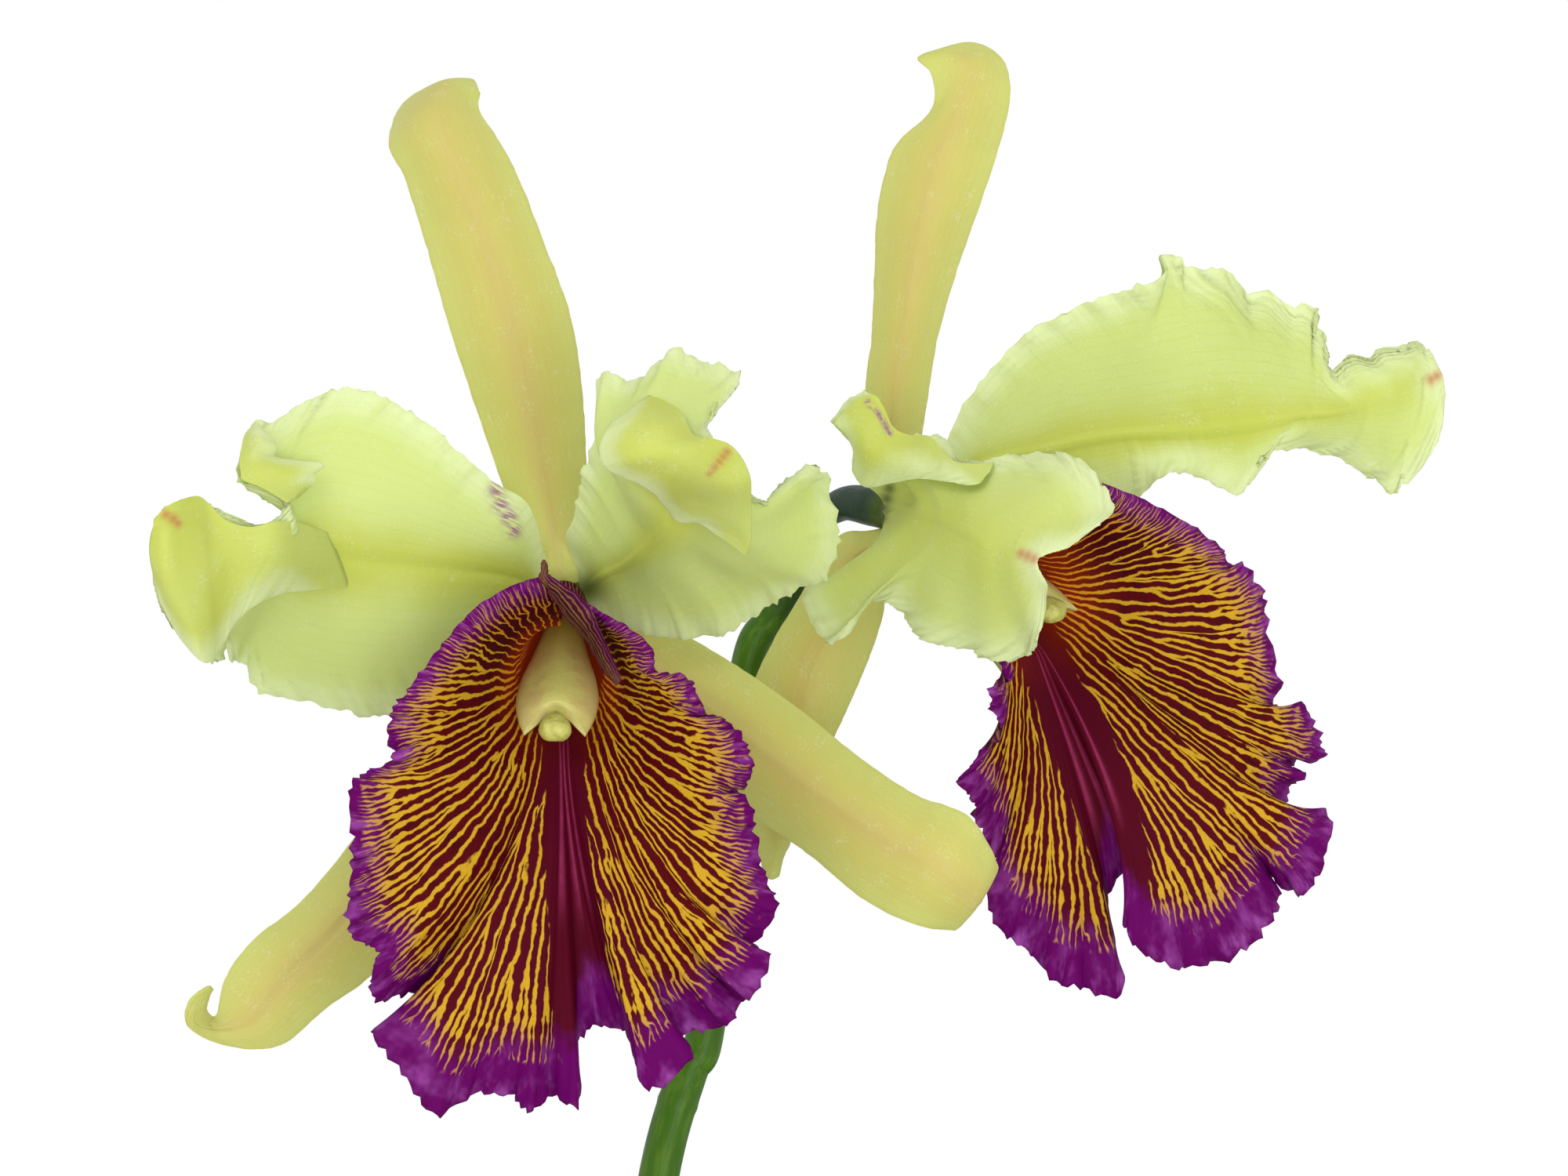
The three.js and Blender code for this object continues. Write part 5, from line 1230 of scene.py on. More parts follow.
# Flower stem
STEM_BASE = [-27, 5.6, 238.8]
STEM_RUN = [[-20, -94, 16], [-15.4, -77.5, 19], [-12.6, -71, 20], [-9.2, -42, 24], [-5.7, -12.5, 25],
            [-2, -5, 25], [3, 3, 24]]
STALK_RUNS = [
    [[-1, -2, 24.5], [-10, 5, 25], [-24, 7, 19], [-32.5, 3, 10], [-34.75, -1, 2.5]],
    [[-1, -2, 24.5], [4, 9, 23], [9, 13.2, 18], [13.5, 13.2, 13], [18.75, 12, 8]],
]
STALK_PROFILE = [[0, 2.2], [0.2, 2.3], [0.4, 2.4], [0.6, 2.9], [0.78, 3.3]]
BALL_RADIUS = 4.0


def stem_run():
    return np.concatenate([[STEM_BASE, [-25.5, 9, 275]], place(STEM_RUN)])


def run_length(run):
    points = spline(run, np.linspace(0, 1, 200))
    return np.linalg.norm(np.diff(points, axis=0), axis=1).sum()


def round_trait(rings):
    """Places round a stem from 0 to 1 and back, so that the pattern has no seam."""
    k = np.arange(rings.shape[1]) / rings.shape[1]
    return np.append(np.tile(np.abs(2 * k - 1), rings.shape[0]), [0.0, 0.0])


def flower_stem(finish):
    heap = Heap()
    sides = 28
    run = stem_run()
    shares = np.linspace(0, 1, 120)
    radii = mix(3.5, 2.7, shares) + 0.5 * smooth(0.94, 1, shares) - 0.8 * smooth(0.985, 1, shares)
    knots = sum(0.16 * np.exp(-((shares - at) / 0.006) ** 2) for at in (0.33, 0.62))
    rings = stem_rings(run, shares, radii + knots, sides)
    heap.add_rings(rings, round=round_trait(rings), along=per_ring(shares * run_length(run), sides),
                   cool=per_ring(0.55 * smooth(0.86, 0.95, shares), sides), heart=0.0)
    for number, flat in enumerate(STALK_RUNS):
        run = place(flat)
        length = run_length(run)
        reach = BALL_RADIUS / length
        shares = np.linspace(0, 1, 60)
        radii = keyed(STALK_PROFILE, shares)
        turn = (shares - 1) / (0.78 * reach)
        ball = BALL_RADIUS * np.sqrt(np.clip(1 - turn**2, 0, 1))
        radii = radii * smooth(1.0, 0.9, shares) + 3.2 * smooth(0.9, 1.0, shares) * (shares < 1)
        rings = stem_rings(run, shares, np.maximum(radii, ball), sides)
        forward = tangents(run, np.array([1.0]))[0]
        caps = []
        for angle in np.linspace(10, 80, 8):
            size = math.cos(math.radians(angle))
            centre = rings[-1].mean(0)
            caps.append(centre + (rings[-1] - centre) * size + forward * 3.3 * math.sin(math.radians(angle)))
        rings = np.concatenate([rings, np.array(caps)])
        along = np.append(shares, np.ones(8))
        cool = 0.95 * smooth(0.0, 0.2, along) * (number == 1) + 0.45 * (number == 0)
        # Painted shade: the heart trait darkens the stalk end that sits in the heart of its bloom
        heap.add_rings(rings, round=round_trait(rings), along=per_ring(along * length, sides),
                       cool=per_ring(cool * smooth(1.0, 0.8, along), sides),
                       heart=per_ring(smooth(0.8, 0.95, along), sides, (0.0, 1.0)))
    return settle(heap.piece("flower_stem_fine"), finish, "stem", "flower_stem")


def flower_sheath(finish):
    """An open papery tube round the foot of the flower stem, pointed at its top."""
    run = stem_run()
    u, v = np.linspace(0, 1, 60), np.linspace(0, 1, 56)
    middle = spline(run, mix(0.002, 0.2, u))
    angle = np.radians(mix(-150, 150, v))[None] * mix(1, 0.86, u)[:, None] + math.pi
    wide = mix(4.5, 8, np.sin(math.pi * np.minimum(1, u * 0.85)) ** 1.2)[:, None]
    deep = mix(4.5, 4.9, u)[:, None]
    top = smooth(0.8, 1, u)[:, None]
    fray = 0.5 * smooth(0.94, 1, u)[:, None] * wobble(v * 40, 5.0, 4)[None]
    peak = 9 * top * np.cos(angle - math.pi) ** 2 - 4.5 * top + fray
    folds = 0.16 * wobble(v * 50, 9.0, 6)[None] * smooth(0.05, 0.3, u)[:, None]
    around = [(wide + folds) * np.cos(angle), (deep + folds) * np.sin(angle), peak]
    grid = middle[:, None] + np.stack(around, axis=-1)
    U, V = np.meshgrid(u, v, indexing="ij")
    traits = {"along": U, "across": 2 * V - 1, "out": U * 62.0}
    thick = np.full(U.shape, 0.55)
    return sheet("flower_sheath_fine", grid, thick, traits, finish, "sheath", "flower_sheath")


# Swollen stems, leaves and roots
RHIZOME_HEIGHT = 101.0
RHIZOME_RADIUS = 5.5
BULBS = [
    {"foot": [-24, 2], "top": [-27, 9, 238], "radius": 12.5, "age": 0.1},
    {"foot": [-3, 4], "top": [-5, 20, 222], "radius": 12, "age": 0.3},
    {"foot": [18, 0], "top": [24, -10, 210], "radius": 11.5, "age": 0.5},
    {"foot": [38, -3], "top": [51, -2, 196], "radius": 11, "age": 0.75},
]
BULB_PROFILE = [[0, 4.5], [0.08, 4.6], [0.2, 0.5], [0.36, 0.8], [0.52, 1], [0.7, 0.97], [0.84, 0.82],
                [0.94, 0.68], [1, 0.6]]
RHIZOME_RUN = [[-47, -2, RHIZOME_HEIGHT - 3], [-24, 2, RHIZOME_HEIGHT], [-3, 4, RHIZOME_HEIGHT],
               [18, 0, RHIZOME_HEIGHT], [38, -3, RHIZOME_HEIGHT], [48, -8, RHIZOME_HEIGHT - 1]]
BULB_JOINTS = (0.17, 0.42, 0.68)
# Lower and upper share of the stem that each husk covers, and the angle where it starts
HUSKS = ((0.07, 0.34, 0.3), (0.2, 0.52, 2.6))


def bulb_profile(bulb):
    """Radii up a swollen stem; up to 2 they are shares of its own radius."""
    return [[share, size if size > 2 else size * bulb["radius"]] for share, size in BULB_PROFILE]


def bulb_run(bulb):
    low = np.array([*bulb["foot"], RHIZOME_HEIGHT], float)
    high = np.array(bulb["top"], float)
    middle = (low + high) / 2
    middle[:2] += (low[:2] - high[:2]) * 0.12
    return np.array([low, middle, high])


def swollen_stems(sizes, finish):
    heap = Heap()
    sides = 60
    for number, bulb in enumerate(BULBS):
        shares = np.linspace(0, 1, 96)
        radii = softened(keyed(bulb_profile(bulb), shares))
        angles = ring_angles(sides)
        depth = sizes.furrow / METRES * smooth(0.16, 0.4, shares) * smooth(1.0, 0.88, shares)
        furrows = np.cos(9 * angles + 1.7 * number) + 0.5 * np.cos(5 * angles + number)
        rings_at = 0.35 * sum(np.exp(-((shares - at) / 0.008) ** 2) for at in BULB_JOINTS)
        scars = sum(np.exp(-((shares - at) / 0.012) ** 2) for at in (*BULB_JOINTS, 0.985))
        full = radii[:, None] + depth[:, None] * (furrows[None] - 1.2) * 0.5 + rings_at[:, None]
        rings = stem_rings(bulb_run(bulb), shares, full, sides, 0.78)
        # The top closes in a shallow dome
        centre = rings[-1].mean(0)
        caps = [centre + (rings[-1] - centre) * size + np.array([0, 0, lift])
                for size, lift in ((0.85, 0.12), (0.6, 0.15))]
        rings = np.concatenate([rings, caps])
        up, low, scar = (per_ring(np.append(values, [values[-1]] * 2), sides) for values in (
            shares * 110.0, smooth(0.14, 0.06, shares), np.minimum(scars, 1.0)))
        heap.add_rings(rings, round=round_trait(rings) + 3.0 * number, up=up, age=bulb["age"],
                       low=low, scar=scar)
    shares = np.linspace(0, 1, 120)
    radii = RHIZOME_RADIUS * (1 - 0.35 * np.abs(2 * shares - 1) ** 4) + 0.4 * np.cos(20 * math.pi * shares)
    sides = 40
    rings = stem_rings(RHIZOME_RUN, shares, radii * rounded_off(np.abs(2 * shares - 1), 24), sides)
    heap.add_rings(rings, round=round_trait(rings), up=per_ring(shares * 100, sides), age=0.5,
                   low=1.0, scar=per_ring(0.5 + 0.5 * np.cos(20 * math.pi * shares), sides))
    return settle(heap.piece("swollen_stems"), finish, "stem", "pseudobulbs")


def stem_wrappers(finish):
    """Dry papery husks round the feet of the swollen stems, torn at the top."""
    heap = Heap()
    for number, bulb in enumerate(BULBS):
        profile = bulb_profile(bulb)
        for layer, (low, high, start) in enumerate(HUSKS):
            u, v = np.linspace(0, 1, 24), np.linspace(0, 1, 44)
            angle = start + number * 1.3 + v * (1.62 if layer else 1.8) * math.pi
            tear = 0.07 * wobble(v * 30, 7.0, 11 + number + 5 * layer) + 0.12 * np.cos(angle - start - 1.2)
            share = low + (high - low) * (u[:, None] * (1 + tear[None] * u[:, None]))
            run = bulb_run(bulb)
            radius = keyed(profile, share) + 0.5 + 0.3 * layer + 0.9 * smooth(0.8, 1, u)[:, None] * (
                0.4 + 0.6 * wobble(v * 30, 11.0, 31 + number)[None])
            radius = np.maximum(radius, keyed(profile, share) + 0.35)
            flat_share = share.ravel()
            centres = spline(run, flat_share).reshape(*share.shape, 3)
            forward = tangents(run, flat_share).reshape(*share.shape, 3)
            side = unit(np.array([1.0, 0, 0]) - forward * forward[..., :1])
            other = np.cross(forward, side)
            grid = (centres + (radius * np.cos(angle))[..., None] * side
                    + (0.8 * radius * np.sin(angle))[..., None] * other)
            U, V = np.meshgrid(u, v, indexing="ij")
            traits = {"along": U, "across": 2 * V - 1 + number, "out": U * 40.0}
            points, quads, traits = sheet_parts(grid, np.full(U.shape, 0.3), traits)
            heap.add(points, quads.tolist(), **traits)
    return settle(heap.piece("stem_wrappers"), finish, "sheath")


LEAVES = [
    {"bulb": 0, "run": [[0, 5.6, 0.4], [-1, 17, 27], [-10, 40, 48], [-30, 70, 56], [-56, 100, 44]]},
    {"bulb": 1, "run": [[0, 0, 0.6], [3, 6, 30], [14, 22, 58], [30, 52, 74], [44, 98, 66]]},
    {"bulb": 2, "run": [[0, 0, 0.6], [5, -8, 28], [17, -27, 52], [34, -60, 60], [47, -98, 44]]},
    {"bulb": 3, "run": [[0, 0, 0.6], [9, 4, 27], [30, 14, 50], [64, 26, 58], [106, 36, 42]]},
]
LEAF_WIDTH = [[0, 4.5], [0.1, 6], [0.25, 13], [0.45, 22], [0.65, 25], [0.82, 21], [0.94, 12], [1, 4]]


def leaf(number, data, finish):
    """A strap-shaped leaf, folded along its rib."""
    run = np.asarray(data["run"], float) + BULBS[data["bulb"]]["top"]
    u = np.linspace(0, 1, 84)
    v = 0.5 - 0.5 * np.cos(math.pi * np.linspace(0, 1, 33))
    middle, forward = spline(run, u), tangents(run, u)
    side = unit(np.stack([-forward[:, 1], forward[:, 0], np.zeros(len(u))], axis=1))
    rise = -unit(np.cross(side, forward))
    half = softened(keyed(LEAF_WIDTH, u))
    half = half * np.sqrt(np.clip(1 - np.clip((u - 0.955) / 0.046, 0, 1) ** 2, 0.02, 1))
    cross = 2 * v - 1
    fold = mix(0.75, 0.22, smooth(0, 0.5, u))
    valley = np.sqrt(cross**2 + 0.002) - 0.03
    grid = (middle[:, None] + (half[:, None] * cross * np.cos(fold)[:, None])[..., None] * side[:, None]
            + (half[:, None] * valley * np.sin(fold)[:, None])[..., None] * rise[:, None])
    U, V = np.meshgrid(u, v, indexing="ij")
    distance = u * run_length(run)
    edge = np.abs(2 * V - 1) ** 4 * smooth(0.2, 0.5, U)
    sides_apart = np.where(V < 0.5, 0, 60)
    ripple = 0.55 * edge * wobble(distance[:, None] + sides_apart, 38.0, 60 + number)
    grid = grid + sheet_normals(grid) * ripple[..., None]
    from_rib = np.abs(2 * V - 1)
    thick = mix(2.2, 1.1, np.maximum(from_rib, U)) * rounded_off(from_rib, 10) * rounded_off(U, 40)
    traits = {"across": 2 * V - 1, "along": U, "out": np.broadcast_to(distance[:, None], U.shape)}
    node = f"leaf_{number}"
    return sheet(node + "_fine", grid, thick, traits, finish, "leaf", node, front=(0.0, 0.0, 1.0))


ROOTS = [
    [[-36, 0, 91], [-39, -9, 96], [-40, -22, 98.5], [-30, -38, 97.5], [-12, -49, 94]],
    [[-12, 3, 90], [-12, -9, 95], [-10, -20, 98.8], [-18, -34, 98], [-34, -40, 93]],
    [[8, 3, 90], [8, -9, 95], [10, -18, 98.8], [3, -32, 98.6], [6, -46, 93]],
    [[30, -1, 90], [31, -12, 95], [34, -22, 98.6], [40, -27, 96.5], [41, -30, 92]],
    [[-16, 3, 90], [-20, 15, 95], [-24, 27, 98.8], [-38, 33, 97.5], [-47, 20, 93]],
    [[20, 1, 90], [19, 14, 95], [17, 27, 98.8], [28, 38, 98], [42, 30, 93]],
]
CROWN = [[-40, 0, 90], [-3, 3.5, 90], [36, -3, 90]]


def root_tangle(finish):
    heap = Heap()
    sides = 20
    for number, run in enumerate([CROWN, *ROOTS]):
        shares = np.linspace(0, 1, 90)
        radii = np.full(len(shares), 2.4) if number == 0 else 1.9 - 0.7 * smooth(0.8, 1, shares)
        radii = radii * (1 + 0.05 * wobble(shares * 90, 8.0, 70 + number))
        radii = radii * rounded_off(np.abs(2 * shares - 1), 40)
        heap.add_rings(stem_rings(run, shares, radii, sides),
                       along=per_ring(shares * (number > 0), sides, (0, number > 0)))
    return settle(heap.piece("root_tangle"), finish, "root", "roots")


# Bark and pot
BARK_TOP = 96.0
CHIP_COUNT = 20
CHIP_REACH = 53.0
CHIP_CLEARANCE = 5.5
GOLDEN_ANGLE = 2.39996
POT_FLOOR = 7.0
POT_HEIGHT = 112.0
POT_FOOT_RADIUS = 45.0
POT_BODY_TOP_RADIUS = 59.0
POT_RIM_RADIUS = 65.0
POT_RIM_HEIGHT = 20.0
POT_WALL = 4.5
DRAIN_RADIUS = 4.5
DRAIN_CIRCLE = 25.0
DRAIN_HOLES = 4


def inner_radius(height):
    share = (height - POT_FLOOR) / (POT_HEIGHT - POT_FLOOR)
    return mix(POT_FOOT_RADIUS - POT_WALL, POT_BODY_TOP_RADIUS + 2 - POT_WALL, share)


def turns(angles):
    """The rotation that the angles round X, Y and Z give, as in the part's source."""
    (cx, cy, cz), (sx, sy, sz) = np.cos(angles), np.sin(angles)
    round_x = np.array([[1, 0, 0], [0, cx, -sx], [0, sx, cx]])
    round_y = np.array([[cy, 0, sy], [0, 1, 0], [-sy, 0, cy]])
    round_z = np.array([[cz, -sz, 0], [sz, cz, 0], [0, 0, 1]])
    return round_x @ round_y @ round_z


def chip_body(corners, fine, dice):
    """A chip with split faces between eight corners, numbered by their bits along x, y and z."""
    shares = np.linspace(0, 1, fine + 1)
    points, faces, seen = [], [], {}

    def point(a, b, c):
        key = (round(a, 6), round(b, 6), round(c, 6))
        if key not in seen:
            weights = [(a if k & 1 else 1 - a) * (b if k & 2 else 1 - b) * (c if k & 4 else 1 - c)
                       for k in range(8)]
            seen[key] = len(points)
            points.append((np.asarray(weights) @ corners, key))
        return seen[key]

    for axis in range(3):
        for end in (0.0, 1.0):
            for i in range(fine):
                for j in range(fine):
                    quad = []
                    for p, q in ((i, j), (i + 1, j), (i + 1, j + 1), (i, j + 1)):
                        at = [shares[p], shares[q]]
                        at.insert(axis, end)
                        quad.append(point(*at))
                    faces.append(quad if (end > 0) == (axis != 1) else quad[::-1])
    places = np.array([p for p, _ in points])
    keys = np.array([k for _, k in points])
    centre = corners.mean(0)
    size = np.linalg.norm(corners - centre, axis=1).mean()
    rounding = np.abs(2 * keys - 1).sum(1)
    shrink = 1 - 0.05 * np.clip(rounding - 1.6, 0, 2)
    steps = np.floor(keys[:, 1] * 5 + dice.uniform(0, 1, 1)) * 0.37
    lift = 0.05 * size * (dice.uniform(-1, 1, len(places)) * 0.6 + np.sin(steps * 9.0) * 0.5)
    places = centre + (places - centre) * (shrink * (1 + lift / max(size, 1)))[:, None]
    return places, faces, keys


def source_chip(index):
    """The corners of one of the raised chips of the part's source."""
    reach = 47 * math.sqrt((index + 0.4) / CHIP_COUNT)
    angle = index * GOLDEN_ANGLE
    half = np.array([9.5 + 2.5 * math.sin(index * 1.7), 6 + 1.4 * math.cos(index * 2.3),
                     3.4 + 0.8 * math.sin(index * 3.1)])
    spin = turns([0.32 * math.sin(index * 2.1), 0.3 * math.cos(index * 1.3), index * 1.9])
    middle = np.array([reach * math.cos(angle), reach * math.sin(angle), BARK_TOP])
    corners = []
    for k in range(8):
        cut = 1 - 0.22 * abs(math.sin(index * 5.3 + k * 2.7))
        signs = np.array([1 if k & 1 else -1, 1 if k & 2 else -1, 1 if k & 4 else -1])
        corners.append(spin @ (signs * half * [cut, cut, 1]) + middle)
    return np.array(corners)


def stems_in_bark():
    """Points along everything that lies or stands in the bark."""
    runs = [RHIZOME_RUN, *ROOTS]
    return np.concatenate([spline(run, np.linspace(0, 1, 40)) for run in runs])


def potting_bark(sizes, finish):
    heap = Heap()
    dice = np.random.RandomState(12)
    rings = []
    angles = ring_angles(120)
    low = POT_FLOOR + 0.35
    profile = [(low, inner_radius(low) - 0.35)]
    profile += [(h, inner_radius(h) - 0.35) for h in np.linspace(low + 1, BARK_TOP - 1.5, 12)]
    for height, radius in profile:
        level = np.full(len(angles), height)
        rings.append(np.stack([radius * np.cos(angles), radius * np.sin(angles), level], axis=1))
    for share in np.linspace(0.99, 0.06, 26):
        radius = share * (inner_radius(BARK_TOP) - 0.5)
        x, y = radius * np.cos(angles), radius * np.sin(angles)
        height = BARK_TOP - 1.6 + 0.9 * np.sin(x * 0.7 + 2 * np.sin(y * 0.4)) * np.cos(y * 0.8)
        rings.append(np.stack([x, y, height], axis=1))
    points, faces = close_rings(np.array(rings))
    heap.add(points, faces, chip=0.1, grain=points[:, 0], length=points[:, 1])
    for index in range(CHIP_COUNT):
        places, faces, keys = chip_body(source_chip(index), 7, dice)
        heap.add(places, faces, chip=dice.uniform(), grain=keys[:, 1] * 9, length=keys[:, 0] * 14)
    stems = stems_in_bark()
    made = 0
    while made < sizes.small_chips:
        reach, angle = 50 * math.sqrt(dice.uniform()), dice.uniform(0, 2 * math.pi)
        middle = np.array([reach * math.cos(angle), reach * math.sin(angle),
                           BARK_TOP + dice.uniform(-1.5, 1.6)])
        half = np.array([dice.uniform(3.5, 7), dice.uniform(2.2, 4.2), dice.uniform(1.2, 2.4)])
        made += 1
        nearest = np.linalg.norm(stems[:, :2] - middle[:2], axis=1).min()
        if nearest < CHIP_CLEARANCE or reach + half[0] > CHIP_REACH:
            continue
        spin = turns([dice.uniform(-0.5, 0.5), dice.uniform(-0.4, 0.4), dice.uniform(0, 6.28)])
        signs = np.array([[1 if k & b else -1 for b in (1, 2, 4)] for k in range(8)])
        corners = (signs * half * dice.uniform(0.72, 1, (8, 3))) @ spin.T + middle
        corners[:, 2] = np.minimum(corners[:, 2], BARK_TOP + 4.5)
        places, faces, keys = chip_body(corners, 4, dice)
        heap.add(places, faces, chip=dice.uniform(), grain=keys[:, 1] * 5, length=keys[:, 0] * 9)
    return settle(heap.piece("fir_bark"), finish, "bark", "potting_bark")


def rounded(profile, radius, parts=5):
    """A profile whose corners are rounded by short bends."""
    profile = np.asarray(profile, float)
    out = [profile[0]]
    for k in range(1, len(profile) - 1):
        before, corner, after = profile[k - 1], profile[k], profile[k + 1]
        pull = min(radius, np.linalg.norm(before - corner) * 0.45, np.linalg.norm(after - corner) * 0.45)
        a, b = corner + unit(before - corner) * pull, corner + unit(after - corner) * pull
        for t in np.linspace(0, 1, parts):
            out.append(mix(mix(a, corner, t), mix(corner, b, t), t))
    out.append(profile[-1])
    return np.array(out)


def clay_pot(finish):
    rim_low = POT_HEIGHT - POT_RIM_HEIGHT
    profile = rounded([
        [6, 0], [POT_FOOT_RADIUS, 0], [POT_BODY_TOP_RADIUS, rim_low - 0.5],
        [POT_RIM_RADIUS - 1, rim_low], [POT_RIM_RADIUS, rim_low + 1.5],
        [POT_RIM_RADIUS + 0.8, POT_HEIGHT - 1.5], [POT_RIM_RADIUS - 0.5, POT_HEIGHT],
        [inner_radius(POT_HEIGHT) + 1, POT_HEIGHT], [inner_radius(POT_HEIGHT - 1.5), POT_HEIGHT - 1.5],
        [inner_radius(POT_FLOOR), POT_FLOOR], [6, POT_FLOOR],
    ], 1.2)
    lengths = runs(profile)
    even = np.linspace(0, lengths[-1], 150)
    at = np.unique(np.concatenate([lengths, even]))
    radius, height = (np.interp(at, lengths, profile[:, k]) for k in range(2))
    angles = ring_angles(144)
    levels = np.broadcast_to(height[:, None], (len(at), len(angles)))
    rings = [radius[:, None] * np.cos(angles), radius[:, None] * np.sin(angles), levels]
    points, faces = close_rings(np.stack(rings, axis=-1))
    inner = per_ring((at > lengths[-1] * 0.52).astype(float), len(angles), (0, 1))
    piece = add_piece("clay_pot", points, faces, {"up": points[:, 2], "inner": inner})
    cutters = []
    for k in range(DRAIN_HOLES):
        angle = 2 * math.pi * (k + 0.5) / DRAIN_HOLES
        x, y = DRAIN_CIRCLE * METRES * math.cos(angle), DRAIN_CIRCLE * METRES * math.sin(angle)
        bpy.ops.mesh.primitive_cylinder_add(
            vertices=40, radius=DRAIN_RADIUS * METRES, depth=0.03, location=(x, y, 0.003))
        cutter = bpy.context.object
        cut = piece.modifiers.new("drain", "BOOLEAN")
        cut.operation, cut.object, cut.solver = "DIFFERENCE", cutter, "EXACT"
        cutters.append(cutter)
    ready = bpy.data.meshes.new_from_object(piece.evaluated_get(bpy.context.evaluated_depsgraph_get()))
    piece.modifiers.clear()
    piece.data = ready
    for cutter in cutters:
        bpy.data.objects.remove(cutter)
    return settle(piece, finish, "clay", "pot")


# Height of each petal's waves and its marks, [across, up, radius] as seen from the front;
# shade marks are painted shade in the heart and in crevices; deep is how strongly its rib is coloured
PETALS = (
    ("bloom_1_petal_left", 0.9, {
        "fleck": [[-45.9, 15.6, 1.3], [-45.2, 13.4, 1.3], [-44, 11.4, 1.3], [-43.2, 9.3, 1.2]],
        "shade": [[-35.5, 0.5, 1.8]]}),
    ("bloom_1_petal_right", 0.6, {
        "shade": [[-31, 0, 2.6]]}),
    ("bloom_2_petal_left", 0.9, {
        "blush": [[38, 5.4, 0.8], [39, 5, 0.9], [40, 4.6, 0.8]], "deep": 0.45,
        "shade": [[17, 16, 1], [16.6, 14.4, 1.1], [16.2, 12.8, 1.1], [15.9, 11.2, 1]]}),
    ("bloom_2_petal_right", 0.9, {
        "blush": [[103.2, 33.2, 0.9], [104.2, 33.8, 0.9], [105.2, 34.4, 0.9]]}),
)

# Margins of the petals; every point is picked in the photograph's 2000 by 1500 frame
MARGINS_IN_PICTURE = {
    "bloom_1_petal_left": (
        [(568, 556), (534, 532), (509, 517), (491, 506), (465, 499), (438, 494), (420, 498),
         (395, 505), (380, 514), (365, 526), (349, 540), (343, 542), (337, 541), (326, 539),
         (318, 546), (313, 557), (309, 573), (305, 596), (307, 611), (345, 628), (366, 642)],
        [(284, 825), (289, 827), (292, 837), (300, 847), (310, 850), (311, 856), (320, 868),
         (332, 873), (336, 881), (345, 885), (362, 889), (372, 892), (378, 896), (400, 898),
         (408, 904), (446, 906), (455, 912), (463, 914), (490, 912)],
    ),
    "bloom_1_petal_right": (
        [(762, 484), (770, 480), (779, 477), (786, 483), (800, 486), (808, 479), (817, 479),
         (822, 475), (828, 465), (843, 464), (850, 459), (855, 447), (866, 448), (880, 456),
         (904, 457), (918, 464), (928, 471), (936, 479), (944, 477)],
        [(995, 626), (1000, 621), (1020, 609), (1027, 604), (1032, 598), (1040, 595), (1044, 598),
         (1043, 602), (1048, 604), (1053, 601), (1058, 605), (1060, 613), (1061, 622), (1063, 638),
         (1068, 648), (1068, 655), (1065, 658), (1066, 668), (1070, 677)],
    ),
    "bloom_2_petal_right": (
        [(1237, 506), (1281, 452), (1318, 417), (1355, 401), (1380, 388), (1411, 378), (1436, 373),
         (1451, 362), (1484, 355), (1479, 320), (1494, 321), (1500, 331), (1508, 329), (1505, 342),
         (1540, 345), (1564, 341), (1582, 357), (1592, 366), (1596, 378), (1600, 370), (1618, 371),
         (1632, 382), (1650, 397), (1656, 391), (1666, 390), (1682, 395), (1673, 413), (1684, 422),
         (1681, 437), (1688, 462), (1700, 472), (1712, 458), (1725, 452), (1742, 459), (1752, 458),
         (1760, 446), (1787, 441), (1802, 433), (1816, 440), (1819, 447)],
        [(1786, 615), (1780, 626), (1774, 630), (1768, 629), (1759, 608), (1752, 611), (1740, 602),
         (1723, 591), (1699, 583), (1650, 573), (1613, 567), (1615, 580), (1608, 596), (1602, 609),
         (1590, 619), (1586, 630), (1575, 633), (1564, 625), (1550, 618), (1520, 604), (1498, 601),
         (1482, 610)],
    ),
}
